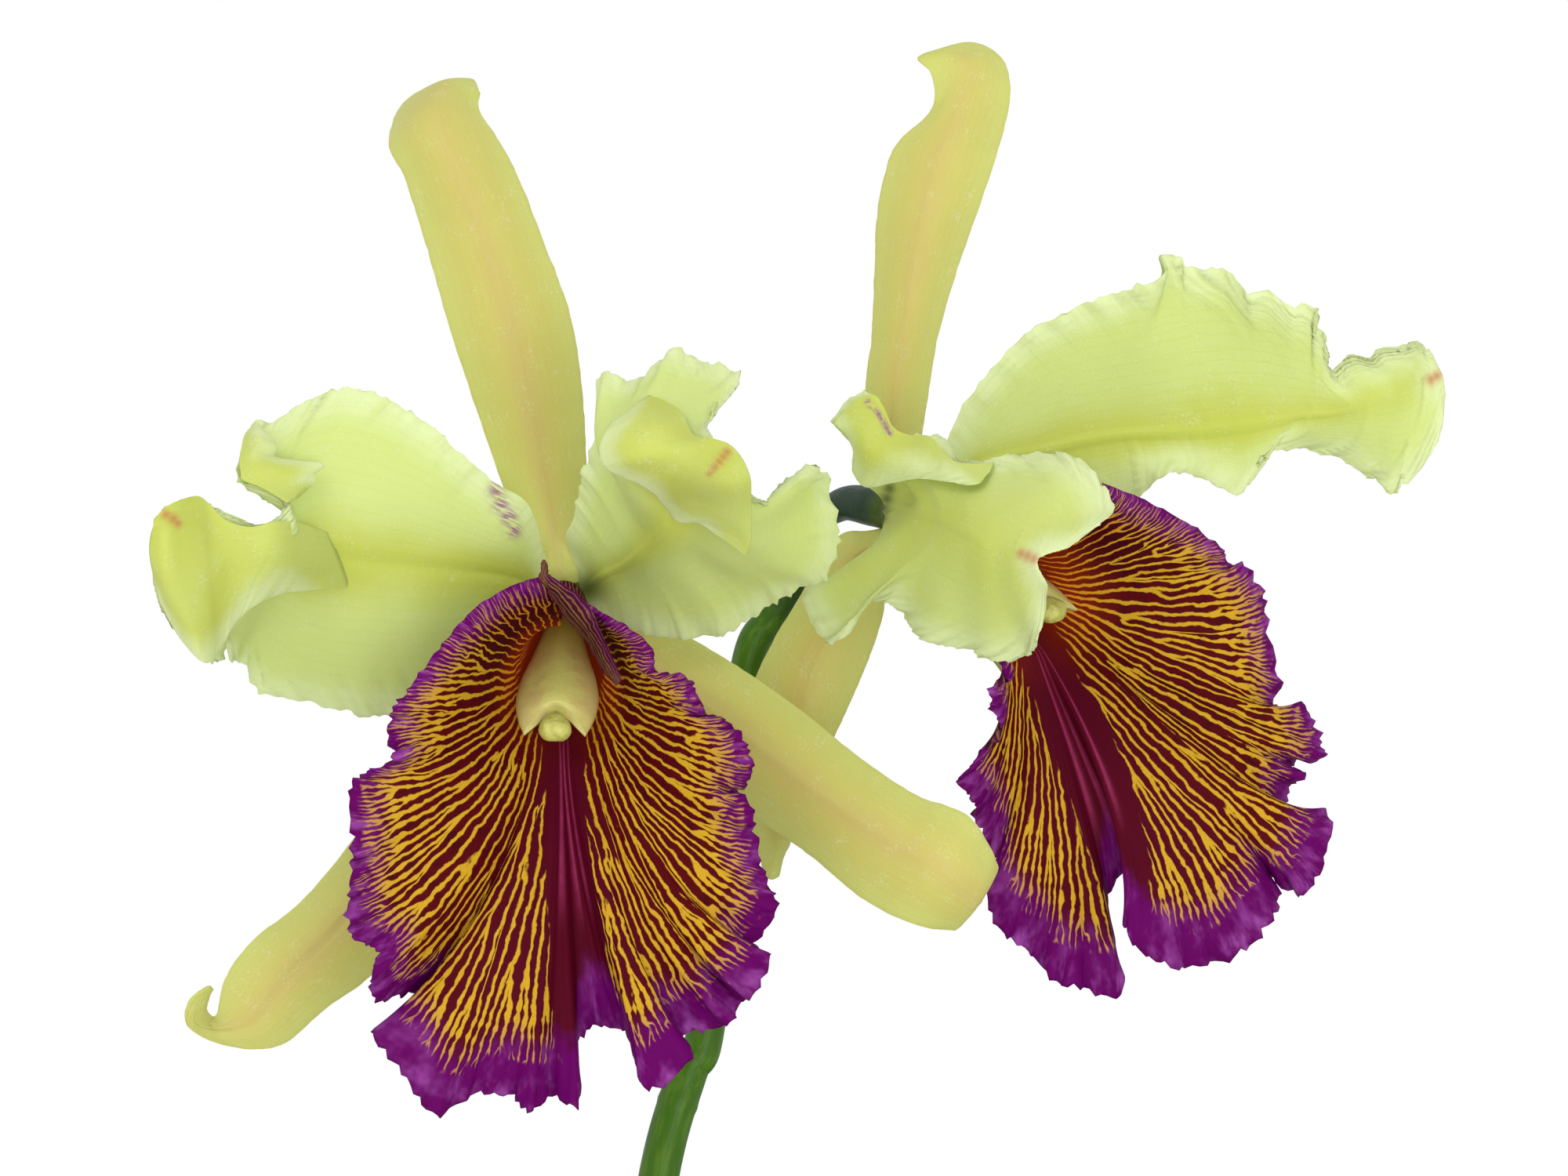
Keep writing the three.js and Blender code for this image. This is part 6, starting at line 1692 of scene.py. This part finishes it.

# Parts of petals that fold over toward the front: points picked one by one, [x, y, millimetres back]
FOLDS = (
    ("bloom_1_petal_right", "_front", [
        [(800, 528, -46.5), (808, 520, -47.5), (818, 512, -46.5), (828, 505, -45)],
        [(779, 542, -50), (805, 535, -52), (830, 524, -50.5), (850, 514, -46.5)],
        [(765, 570, -50.5), (800, 560, -54.5), (840, 545, -55), (870, 528, -49.5)],
        [(770, 594, -50), (805, 585, -55), (845, 570, -57), (885, 556, -57)],
        [(795, 609, -49.5), (828, 600, -53.5), (868, 585, -58), (908, 559, -61.5)],
        [(828, 625, -47.5), (852, 612, -53), (892, 598, -59), (929, 567, -64)],
        [(846, 644, -41), (872, 630, -50), (908, 612, -59), (946, 585, -63.5)],
        [(864, 665, -40), (893, 640, -50), (925, 625, -58.5), (957, 612, -62)],
        [(892, 668, -43.5), (913, 655, -50), (936, 645, -54.5), (958, 638, -57)],
        [(922, 686, -45.5), (933, 677, -48), (945, 668, -51), (958, 660, -53)],
        [(953, 709, -46), (955, 702, -47), (957, 695, -48), (958, 688, -49)],
    ], {"blush": [[-9, 21.8, 0.7], [-9.6, 21, 0.7], [-10.3, 20.2, 0.7], [-11, 19.3, 0.6],
                  [-11.7, 18.4, 0.5]]}),
    ("bloom_1_petal_left", "_curl", [
        [(331, 542, -17.5), (329, 541, -17.5), (327, 540, -16.5)],
        [(343, 556, -20), (328, 552, -21), (314, 553, -19)],
        [(352, 570, -21), (330, 567, -23), (309, 568, -21.5)],
        [(350, 583, -21), (328, 582, -24.5), (306, 588, -24.5)],
        [(376, 587, -21), (340, 595, -25.5), (307, 603, -26.5)],
        [(412, 592, -20), (362, 603, -25), (309, 612, -27.5)],
        [(404, 604, -21), (368, 612, -25), (331, 621, -27.5)],
        [(398, 617, -21.5), (374, 624, -25), (350, 631, -28)],
        [(381, 632, -22.5), (374, 637, -26), (367, 641, -28.5)],
    ], {}),
    ("bloom_1_petal_left", "_tip", [
        [(204, 768, -35.5), (193, 715, -40), (192, 690, -40.5), (197, 662, -41)],
        [(228, 812, -32.5), (212, 745, -40), (210, 690, -42), (210, 648, -40)],
        [(256, 843, -32), (238, 770, -38), (232, 700, -40), (226, 639, -38.5)],
        [(270, 842, -30), (262, 775, -35.5), (256, 705, -37.5), (250, 633, -34.5)],
        [(283, 824, -28), (278, 770, -33), (272, 715, -35.5), (266, 643, -33)],
        [(300, 795, -28.5), (296, 755, -32), (293, 712, -33.5), (288, 664, -33)],
        [(325, 772, -28.5), (322, 740, -31), (320, 706, -32), (320, 672, -32)],
        [(360, 757, -25), (358, 730, -28), (356, 700, -30), (352, 665, -30.5)],
        [(400, 752, -19.5), (397, 735, -21), (392, 712, -23.5), (383, 668, -25)],
        [(445, 748, -14), (440, 733, -15), (432, 712, -16), (418, 680, -17.2)],
    ], {"blush": [[-98.6, 11.6, 0.8], [-97.6, 11, 0.9], [-96.8, 10.2, 0.7]]}),
    ("bloom_2_petal_left", "_ruffle", [
        [(1078, 551, -16), (1071, 546, -16), (1064, 541, -15.5)],
        [(1089, 577, -17), (1087, 545, -18), (1090, 513, -16)],
        [(1088, 602, -16), (1100, 560, -20), (1114, 504, -16.5)],
        [(1103, 621, -17), (1112, 575, -21.5), (1127, 519, -18)],
        [(1134, 617, -21), (1133, 585, -23.5), (1140, 546, -20.5)],
        [(1165, 611, -26.5), (1163, 587, -26.5), (1161, 556, -21.5)],
        [(1190, 612, -31.5), (1188, 588, -29), (1188, 558, -25)],
        [(1212, 615, -35.5), (1212, 600, -33.5), (1212, 586, -31)],
        [(1245, 617, -38.5), (1243, 606, -36), (1240, 593, -33.5)],
        [(1262, 603, -35.5), (1265, 597, -34.5), (1268, 590, -33)],
    ], {"fleck": [[13.4, 29.6, 0.5], [13.9, 28.9, 0.5], [14.5, 28.3, 0.5], [15.1, 27.6, 0.5],
                  [15.6, 26.9, 0.5], [16, 26.2, 0.5], [16.4, 25.4, 0.5], [16.8, 24.6, 0.5]]}),
)

# The rolled top of the first lip, inner to outer rim: picked one by one, [x, y, millimetres back]
LIP_ROLL = [
    [(692, 715, -30), (694, 715, -30.5), (696, 717, -30)],
    [(690, 726, -31), (694, 726, -32), (699, 729, -31)],
    [(688, 736, -31), (694, 740, -32.5), (703, 735, -32.5)],
    [(699, 752, -31.5), (710, 756, -34.5), (728, 752, -34)],
    [(714, 777, -31), (727, 777, -34), (748, 770, -34)],
    [(729, 796, -28.5), (741, 792, -33), (758, 785, -33.5)],
    [(744, 812, -26), (753, 808, -30), (764, 800, -31)],
    [(757, 834, -23.5), (763, 827, -27), (772, 818, -28)],
    [(770, 856, -22.5), (775, 850, -25), (783, 842, -25.5)],
    [(787, 874, -22.5), (789, 871, -23.5), (793, 866, -24)],
]


# What can be set
def picked(label, where, colour):
    """A colour given as red, green and blue out of 255."""
    return bpy.props.FloatVectorProperty(
        name=label, description=where, subtype="COLOR_GAMMA", size=3, min=0.0, max=1.0,
        default=tuple(c / 255 for c in colour))


def length(label, about, millimetres, most):
    return bpy.props.FloatProperty(
        name=label, description=about, default=millimetres * METRES, min=0.0, max=most * METRES,
        unit="LENGTH", precision=5)


def count(label, about, number, most):
    return bpy.props.IntProperty(name=label, description=about, default=number, min=1, max=most)


class CattleyaColours(bpy.types.PropertyGroup):
    """Colours of the plant and its pot."""

    lip_ground: picked("Lip ground", "Dark velvet between the gold lines", (84, 5, 14))
    lip_crimson: picked("Lip crimson", "Velvet beside the rib of the lip", (80, 3, 27))
    # Deep velvet on the flanks, and painted shade over the top of the lip
    lip_shade: picked("Lip shade", "Deepest velvet on the flanks", (46, 3, 16))
    lip_glow: picked("Throat glow", "Red deep in the throat", (132, 40, 8))
    lip_margin: picked("Lip margin", "Purple along the frilled margin", (98, 0, 92))
    lip_lilac: picked("Lip lilac", "Streaks and rim of the margin", (176, 88, 184))
    lip_pink: picked("Lip rib lines", "Faint lines along the rib", (178, 60, 110))
    lip_gold: picked("Lip gold", "Veins of the lip", (206, 160, 38))
    lip_amber: picked("Throat amber", "Veins in the throat", (206, 132, 30))
    lip_tan: picked("Vein ends", "Where veins fade near the margin", (190, 140, 72))
    lip_back: picked("Lip back", "Outer side of the lip", (58, 14, 34))
    lip_light: picked("Lip light", "Light let through the lip", (190, 30, 70))
    sepal: picked("Sepal", "Ochre yellow of the sepals", (212, 206, 112))
    sepal_band: picked("Sepal band", "Tan band down the middle", (210, 184, 116))
    sepal_margin: picked("Sepal margin", "Greener edges", (208, 214, 122))
    sepal_tip: picked("Sepal tip", "Green tips and bases", (206, 216, 112))
    sepal_light: picked("Sepal light", "Light let through the sepals", (222, 214, 120))
    petal: picked("Petal", "Pale lemon green of the petals", (215, 228, 142))
    petal_rib: picked("Petal rib", "Deeper zone along the rib", (200, 206, 66))
    # Painted light: paler margins that stand in for light let through the thin edges
    petal_margin_painted_light: picked("Petal margin", "Pale frilled margins", (232, 243, 192))
    petal_light: picked("Petal grain", "Bright cells on petals and sepals", (238, 244, 200))
    petal_shade: picked("Petal shade", "Olive mottling", (190, 198, 100))
    petal_back: picked("Petal back", "Back of petals and sepals", (196, 206, 120))
    petal_glow: picked("Petal light", "Light let through the petals", (226, 238, 152))
    fleck: picked("Flecks", "Purple flecks near some margins", (148, 32, 150))
    blush: picked("Blush", "Red marks at petal tips", (196, 84, 70))
    # Painted shade: dark olive for the heart of a bloom and the crevices at petal feet
    olive_painted_shade: picked("Heart green", "Dark green in the heart of a bloom", (74, 82, 22))
    column_top: picked("Column foot", "Foot of the column", (176, 170, 62))
    column: picked("Column", "Flesh of the column", (208, 204, 112))
    column_pink: picked("Column blush", "Pink on the column", (196, 160, 110))
    column_rim: picked("Column rim", "Edge of the column's wings", (214, 208, 124))
    anther: picked("Anther cap", "Waxy cap at the end of the column", (204, 204, 108))
    anther_shade: picked("Anther shade", "Darker wax on the cap", (164, 158, 66))
    stem: picked("Stem", "Green of the flower stem", (58, 100, 6))
    stem_light: picked("Stem light", "Paler stripes on the stem", (86, 124, 20))
    stem_dark: picked("Stem dark", "Darker patches on the stem", (48, 84, 14))
    stalk_blue: picked("Stalk", "Blue green of the second stalk", (30, 50, 42))
    bulb: picked("Swollen stem", "Young swollen stems", (112, 138, 56))
    bulb_dark: picked("Swollen stem dark", "Furrows", (70, 98, 34))
    bulb_old: picked("Swollen stem old", "Older yellowed stems", (148, 142, 74))
    rhizome: picked("Creeping stem", "Brown green of the creeping stem", (98, 88, 46))
    bulb_scar: picked("Scars", "Rings where old leaves stood", (150, 132, 88))
    leaf: picked("Leaf", "Upper side", (62, 104, 34))
    leaf_dark: picked("Leaf dark", "Darker patches", (38, 76, 24))
    leaf_light: picked("Leaf light", "Fibres and edges", (104, 142, 60))
    leaf_rib: picked("Leaf rib", "Midrib line", (138, 164, 84))
    leaf_back: picked("Leaf back", "Paler underside", (104, 134, 66))
    leaf_glow: picked("Leaf light through", "Light let through the leaves", (120, 170, 40))
    sheath: picked("Sheath", "Green foot of the sheath", (150, 150, 84))
    sheath_dry: picked("Dry sheath", "Papery straw", (196, 176, 128))
    sheath_vein: picked("Sheath veins", "Brown fibres", (138, 110, 70))
    root: picked("Root", "Silvery root skin", (190, 188, 172))
    root_dark: picked("Root dark", "Grey patches", (132, 128, 112))
    root_brown: picked("Root brown", "Brown stains", (134, 106, 76))
    root_tip: picked("Root tip", "Green growing tips", (116, 140, 62))
    bark: picked("Bark", "Fir bark", (124, 82, 54))
    bark_red: picked("Bark red", "Redder chips", (142, 82, 50))
    bark_dark: picked("Bark dark", "Dark layers", (64, 40, 28))
    bark_pale: picked("Bark pale", "Dry pale spots", (176, 136, 100))
    clay: picked("Clay", "Fired clay", (178, 100, 66))
    clay_dark: picked("Clay dark", "Darker firing", (146, 78, 52))
    clay_bloom: picked("Clay bloom", "Pale mineral bloom", (208, 160, 130))
    # Darker clay toward the foot, and painted shade inside the pot
    clay_damp_and_shade: picked("Clay damp", "Damp and shaded clay", (118, 66, 46))
    floor: picked("Floor", "Pale floor of the studio", (236, 236, 234))


class CattleyaSizes(bpy.types.PropertyGroup):
    """Sizes of the fine shapes."""

    frill: length("Petal frill", "Height of the fine waves along the petal margins", 0.4, 3)
    pleat: length("Petal pleats", "Depth of the creases that run in from the petal margins", 0.5, 3)
    tooth: length("Petal teeth", "Depth of the notches along the petal margins", 0.3, 2)
    lip_frill: length("Lip frill", "Height of the fine waves along the lip margin", 0.8, 4)
    lip_tooth: length("Lip teeth", "Depth of the fringe along the lip margin", 0.45, 2)
    vein_pitch: length("Vein pitch", "Room from one gold line of the lip to the next", 1.25, 5)
    furrow: length("Furrow", "Depth of the furrows of the swollen stems", 0.9, 3)
    lip_rows: count("Lip rows", "Rows of faces per bend of the lip margin", 8, 12)
    small_chips: count("Small chips", "Places tried for small bark chips", 330, 900)


class CattleyaStage(bpy.types.PropertyGroup):
    """Camera, light and floor."""

    sky: bpy.props.FloatProperty(
        name="Sky light", description="Strength of the soft light from all sides", default=0.88,
        min=0.0, max=3.0)
    key_power: bpy.props.FloatProperty(
        name="Key light", description="Power of the soft lamp at the upper left", default=5.5, min=0.0,
        max=400.0, unit="POWER")
    fill_power: bpy.props.FloatProperty(
        name="Fill light", description="Power of the soft lamp low in front", default=11.0, min=0.0,
        max=400.0, unit="POWER")
    key_size: length("Key size", "Width of the soft lamp", 900, 4000)
    eye_distance: length("Camera distance", "From the middle of the blooms", EYE_DISTANCE, 4000)
    lens: bpy.props.FloatProperty(
        name="Lens", description="Focal length", default=150.0, min=20.0, max=400.0, unit="CAMERA")
    floor_radius: length("Floor radius", "Radius of the round floor", 3400, 6000)


# What can be made
def done(self, made):
    """Each operator that makes pieces ends here, so that a missing piece stops the run."""
    if not made or not all(len(piece.data.polygons) for piece in made):
        raise RuntimeError(f"{self.bl_label}: nothing was made")
    return {"FINISHED"}


class CATTLEYA_OT_pot(bpy.types.Operator):
    """Turn the clay pot with its rim and drain holes"""

    bl_idname = "cattleya.pot"
    bl_label = "Clay Pot"

    def execute(self, context):
        return done(self, [clay_pot(clay_finish(context.scene.cattleya_colours))])


class CATTLEYA_OT_bark(bpy.types.Operator):
    """Fill the pot with bark chips"""

    bl_idname = "cattleya.bark"
    bl_label = "Bark"

    def execute(self, context):
        scene = context.scene
        return done(self, [potting_bark(scene.cattleya_sizes, bark_finish(scene.cattleya_colours))])


class CATTLEYA_OT_roots(bpy.types.Operator):
    """Lay the roots over the bark"""

    bl_idname = "cattleya.roots"
    bl_label = "Roots"

    def execute(self, context):
        return done(self, [root_tangle(root_finish(context.scene.cattleya_colours))])


class CATTLEYA_OT_bulbs(bpy.types.Operator):
    """Grow the creeping stem, the swollen stems and their dry husks"""

    bl_idname = "cattleya.bulbs"
    bl_label = "Swollen Stems"

    def execute(self, context):
        colours = context.scene.cattleya_colours
        stems = swollen_stems(context.scene.cattleya_sizes, bulb_finish(colours))
        return done(self, [stems, stem_wrappers(sheath_finish(colours))])


class CATTLEYA_OT_leaves(bpy.types.Operator):
    """Grow one leathery leaf on each swollen stem"""

    bl_idname = "cattleya.leaves"
    bl_label = "Leaves"

    def execute(self, context):
        finish = leaf_finish(context.scene.cattleya_colours)
        return done(self, [leaf(k + 1, data, finish) for k, data in enumerate(LEAVES)])


class CATTLEYA_OT_stem(bpy.types.Operator):
    """Grow the flower stem, its fork and both flower stalks"""

    bl_idname = "cattleya.stem"
    bl_label = "Flower Stem"

    def execute(self, context):
        return done(self, [flower_stem(stem_finish(context.scene.cattleya_colours))])


class CATTLEYA_OT_sheath(bpy.types.Operator):
    """Fold the papery sheath round the foot of the flower stem"""

    bl_idname = "cattleya.sheath"
    bl_label = "Flower Sheath"

    def execute(self, context):
        return done(self, [flower_sheath(sheath_finish(context.scene.cattleya_colours))])


class CATTLEYA_OT_sepals(bpy.types.Operator):
    """Shape the three sepals of both blooms"""

    bl_idname = "cattleya.sepals"
    bl_label = "Sepals"

    def execute(self, context):
        scene = context.scene
        finish = blade_finish("sepal_skin", scene.cattleya_colours, True)
        made = []
        for number, (node, cuts) in enumerate(SEPALS.items()):
            made.append(blade(
                node, cuts, scene.cattleya_sizes, finish, rows=110, columns=35, waves=0, wave=0.0,
                thick=(0.9, 0.5), veins=15, seed=100 + 10 * number))
        return done(self, made)


class CATTLEYA_OT_petals(bpy.types.Operator):
    """Shape the two frilled petals of both blooms"""

    bl_idname = "cattleya.petals"
    bl_label = "Petals"

    def execute(self, context):
        scene = context.scene
        finish = blade_finish("petal_skin", scene.cattleya_colours, False)
        made = []
        for number, (node, wave, marks) in enumerate(PETALS):
            made.append(blade(
                node, PETAL_CUTS[node], scene.cattleya_sizes, finish, rows=150, columns=83, waves=7,
                wave=wave, thick=(0.65, 0.36), veins=26, seed=200 + 10 * number, **marks))
        for number, (node, fold, cuts, marks) in enumerate(FOLDS):
            made.append(blade(
                node, cuts, scene.cattleya_sizes, finish, rows=60, columns=44, waves=0, wave=0.0,
                thick=(0.6, 0.4), veins=12, seed=260 + 10 * number, fold=fold, **marks))
        return done(self, made)


class CATTLEYA_OT_lips(bpy.types.Operator):
    """Shape both lips with their throats, flanks and frilled lobes"""

    bl_idname = "cattleya.lips"
    bl_label = "Lips"

    def execute(self, context):
        scene = context.scene
        finish = lip_finish(scene.cattleya_colours, scene.cattleya_sizes)
        made = [lip(f"bloom_{k + 1}_lip", data, scene.cattleya_sizes, finish, 300 + 10 * k)
                for k, data in enumerate((LIP_1, LIP_2))]
        made.append(lip_roll("bloom_1_lip", LIP_ROLL, finish))
        return done(self, made)


class CATTLEYA_OT_columns(bpy.types.Operator):
    """Shape both columns and their anther caps"""

    bl_idname = "cattleya.columns"
    bl_label = "Columns"

    def execute(self, context):
        colours = context.scene.cattleya_colours
        flesh, wax = column_finish(colours), anther_finish(colours)
        made = []
        for k, data in enumerate((LIP_1, LIP_2)):
            made.append(column(f"bloom_{k + 1}_column", data, flesh))
            made.append(anther(f"bloom_{k + 1}_anther_cap", data, wax))
        return done(self, made)


class CATTLEYA_OT_stage(bpy.types.Operator):
    """Set up the floor, the soft light and the camera"""

    bl_idname = "cattleya.stage"
    bl_label = "Stage"

    def execute(self, context):
        scene, stage = context.scene, context.scene.cattleya_stage
        ring = ring_angles(96)
        radius = stage.floor_radius / METRES
        points = np.stack([radius * np.cos(ring), radius * np.sin(ring), 0 * ring], axis=1)
        floor = add_piece("studio_floor", points, [list(range(len(points)))])
        paint = Finish("studio_floor_paint")
        floor.data.materials.append(paint.close(scene.cattleya_colours.floor, 0.9))

        scene.world = bpy.data.worlds.new("studio_sky")
        sky = Shading(scene.world, "ShaderNodeOutputWorld")
        white, soft = (
            sky.node("ShaderNodeBackground", values={"Color": (1.0, 1.0, 1.0, 1.0), "Strength": strength})
            for strength in (1.0, stage.sky))
        seen = sky.node("ShaderNodeLightPath").outputs["Is Camera Ray"]
        backdrop = {0: seen, 1: soft.outputs[0], 2: white.outputs[0]}
        sky.show(sky.node("ShaderNodeMixShader", values=backdrop).outputs[0])
        scene.view_settings.view_transform = "Standard"

        for name, spot, tilt, power in (
                ("key_light", (-0.75, -1.15, 1.35), (50, 0, -33), stage.key_power),
                ("fill_light", (0.35, -1.3, 0.12), (101, 0, 15), stage.fill_power)):
            lamp = bpy.data.lights.new(name, "AREA")
            lamp.shape, lamp.size, lamp.energy = "DISK", stage.key_size, power
            light = bpy.data.objects.new(name, lamp)
            light.location = spot
            light.rotation_euler = [math.radians(angle) for angle in tilt]
            scene.collection.objects.link(light)

        lens = bpy.data.cameras.new("photo_view")
        lens.lens, lens.sensor_width = stage.lens, 36.0
        lens.clip_start, lens.clip_end = 0.02, 50.0
        eye = bpy.data.objects.new("photo_view", lens)
        eye.location = (0.0, -stage.eye_distance, BLOOM_HEIGHT * METRES)
        eye.rotation_euler = (math.radians(90), 0, 0)
        scene.collection.objects.link(eye)
        scene.camera = eye
        return {"FINISHED"}


class CATTLEYA_PT_panel(bpy.types.Panel):
    """Buttons and settings of the potted cattleya"""

    bl_idname = "CATTLEYA_PT_panel"
    bl_label = "Potted Cattleya"
    bl_space_type = "VIEW_3D"
    bl_region_type = "UI"
    bl_category = "Cattleya"

    def draw(self, context):
        for maker in MAKERS:
            self.layout.operator(maker.bl_idname)
        scene = context.scene
        for settings in (scene.cattleya_sizes, scene.cattleya_stage, scene.cattleya_colours):
            box = self.layout.box()
            for name in settings.__annotations__:
                box.prop(settings, name)


MAKERS = (
    CATTLEYA_OT_pot, CATTLEYA_OT_bark, CATTLEYA_OT_roots, CATTLEYA_OT_bulbs, CATTLEYA_OT_leaves,
    CATTLEYA_OT_stem, CATTLEYA_OT_sheath, CATTLEYA_OT_sepals, CATTLEYA_OT_petals, CATTLEYA_OT_lips,
    CATTLEYA_OT_columns, CATTLEYA_OT_stage,
)
SETTINGS = {
    "cattleya_colours": CattleyaColours, "cattleya_sizes": CattleyaSizes, "cattleya_stage": CattleyaStage,
}


def register():
    for kind in (*SETTINGS.values(), *MAKERS, CATTLEYA_PT_panel):
        bpy.utils.register_class(kind)
    for name, kind in SETTINGS.items():
        setattr(bpy.types.Scene, name, bpy.props.PointerProperty(type=kind))


def unregister():
    for name in SETTINGS:
        delattr(bpy.types.Scene, name)
    for kind in (CATTLEYA_PT_panel, *reversed(MAKERS), *reversed(SETTINGS.values())):
        bpy.utils.unregister_class(kind)


def main():
    register()
    for maker in MAKERS:
        group, name = maker.bl_idname.split(".")
        getattr(getattr(bpy.ops, group), name)()


if __name__ == "__main__":
    main()
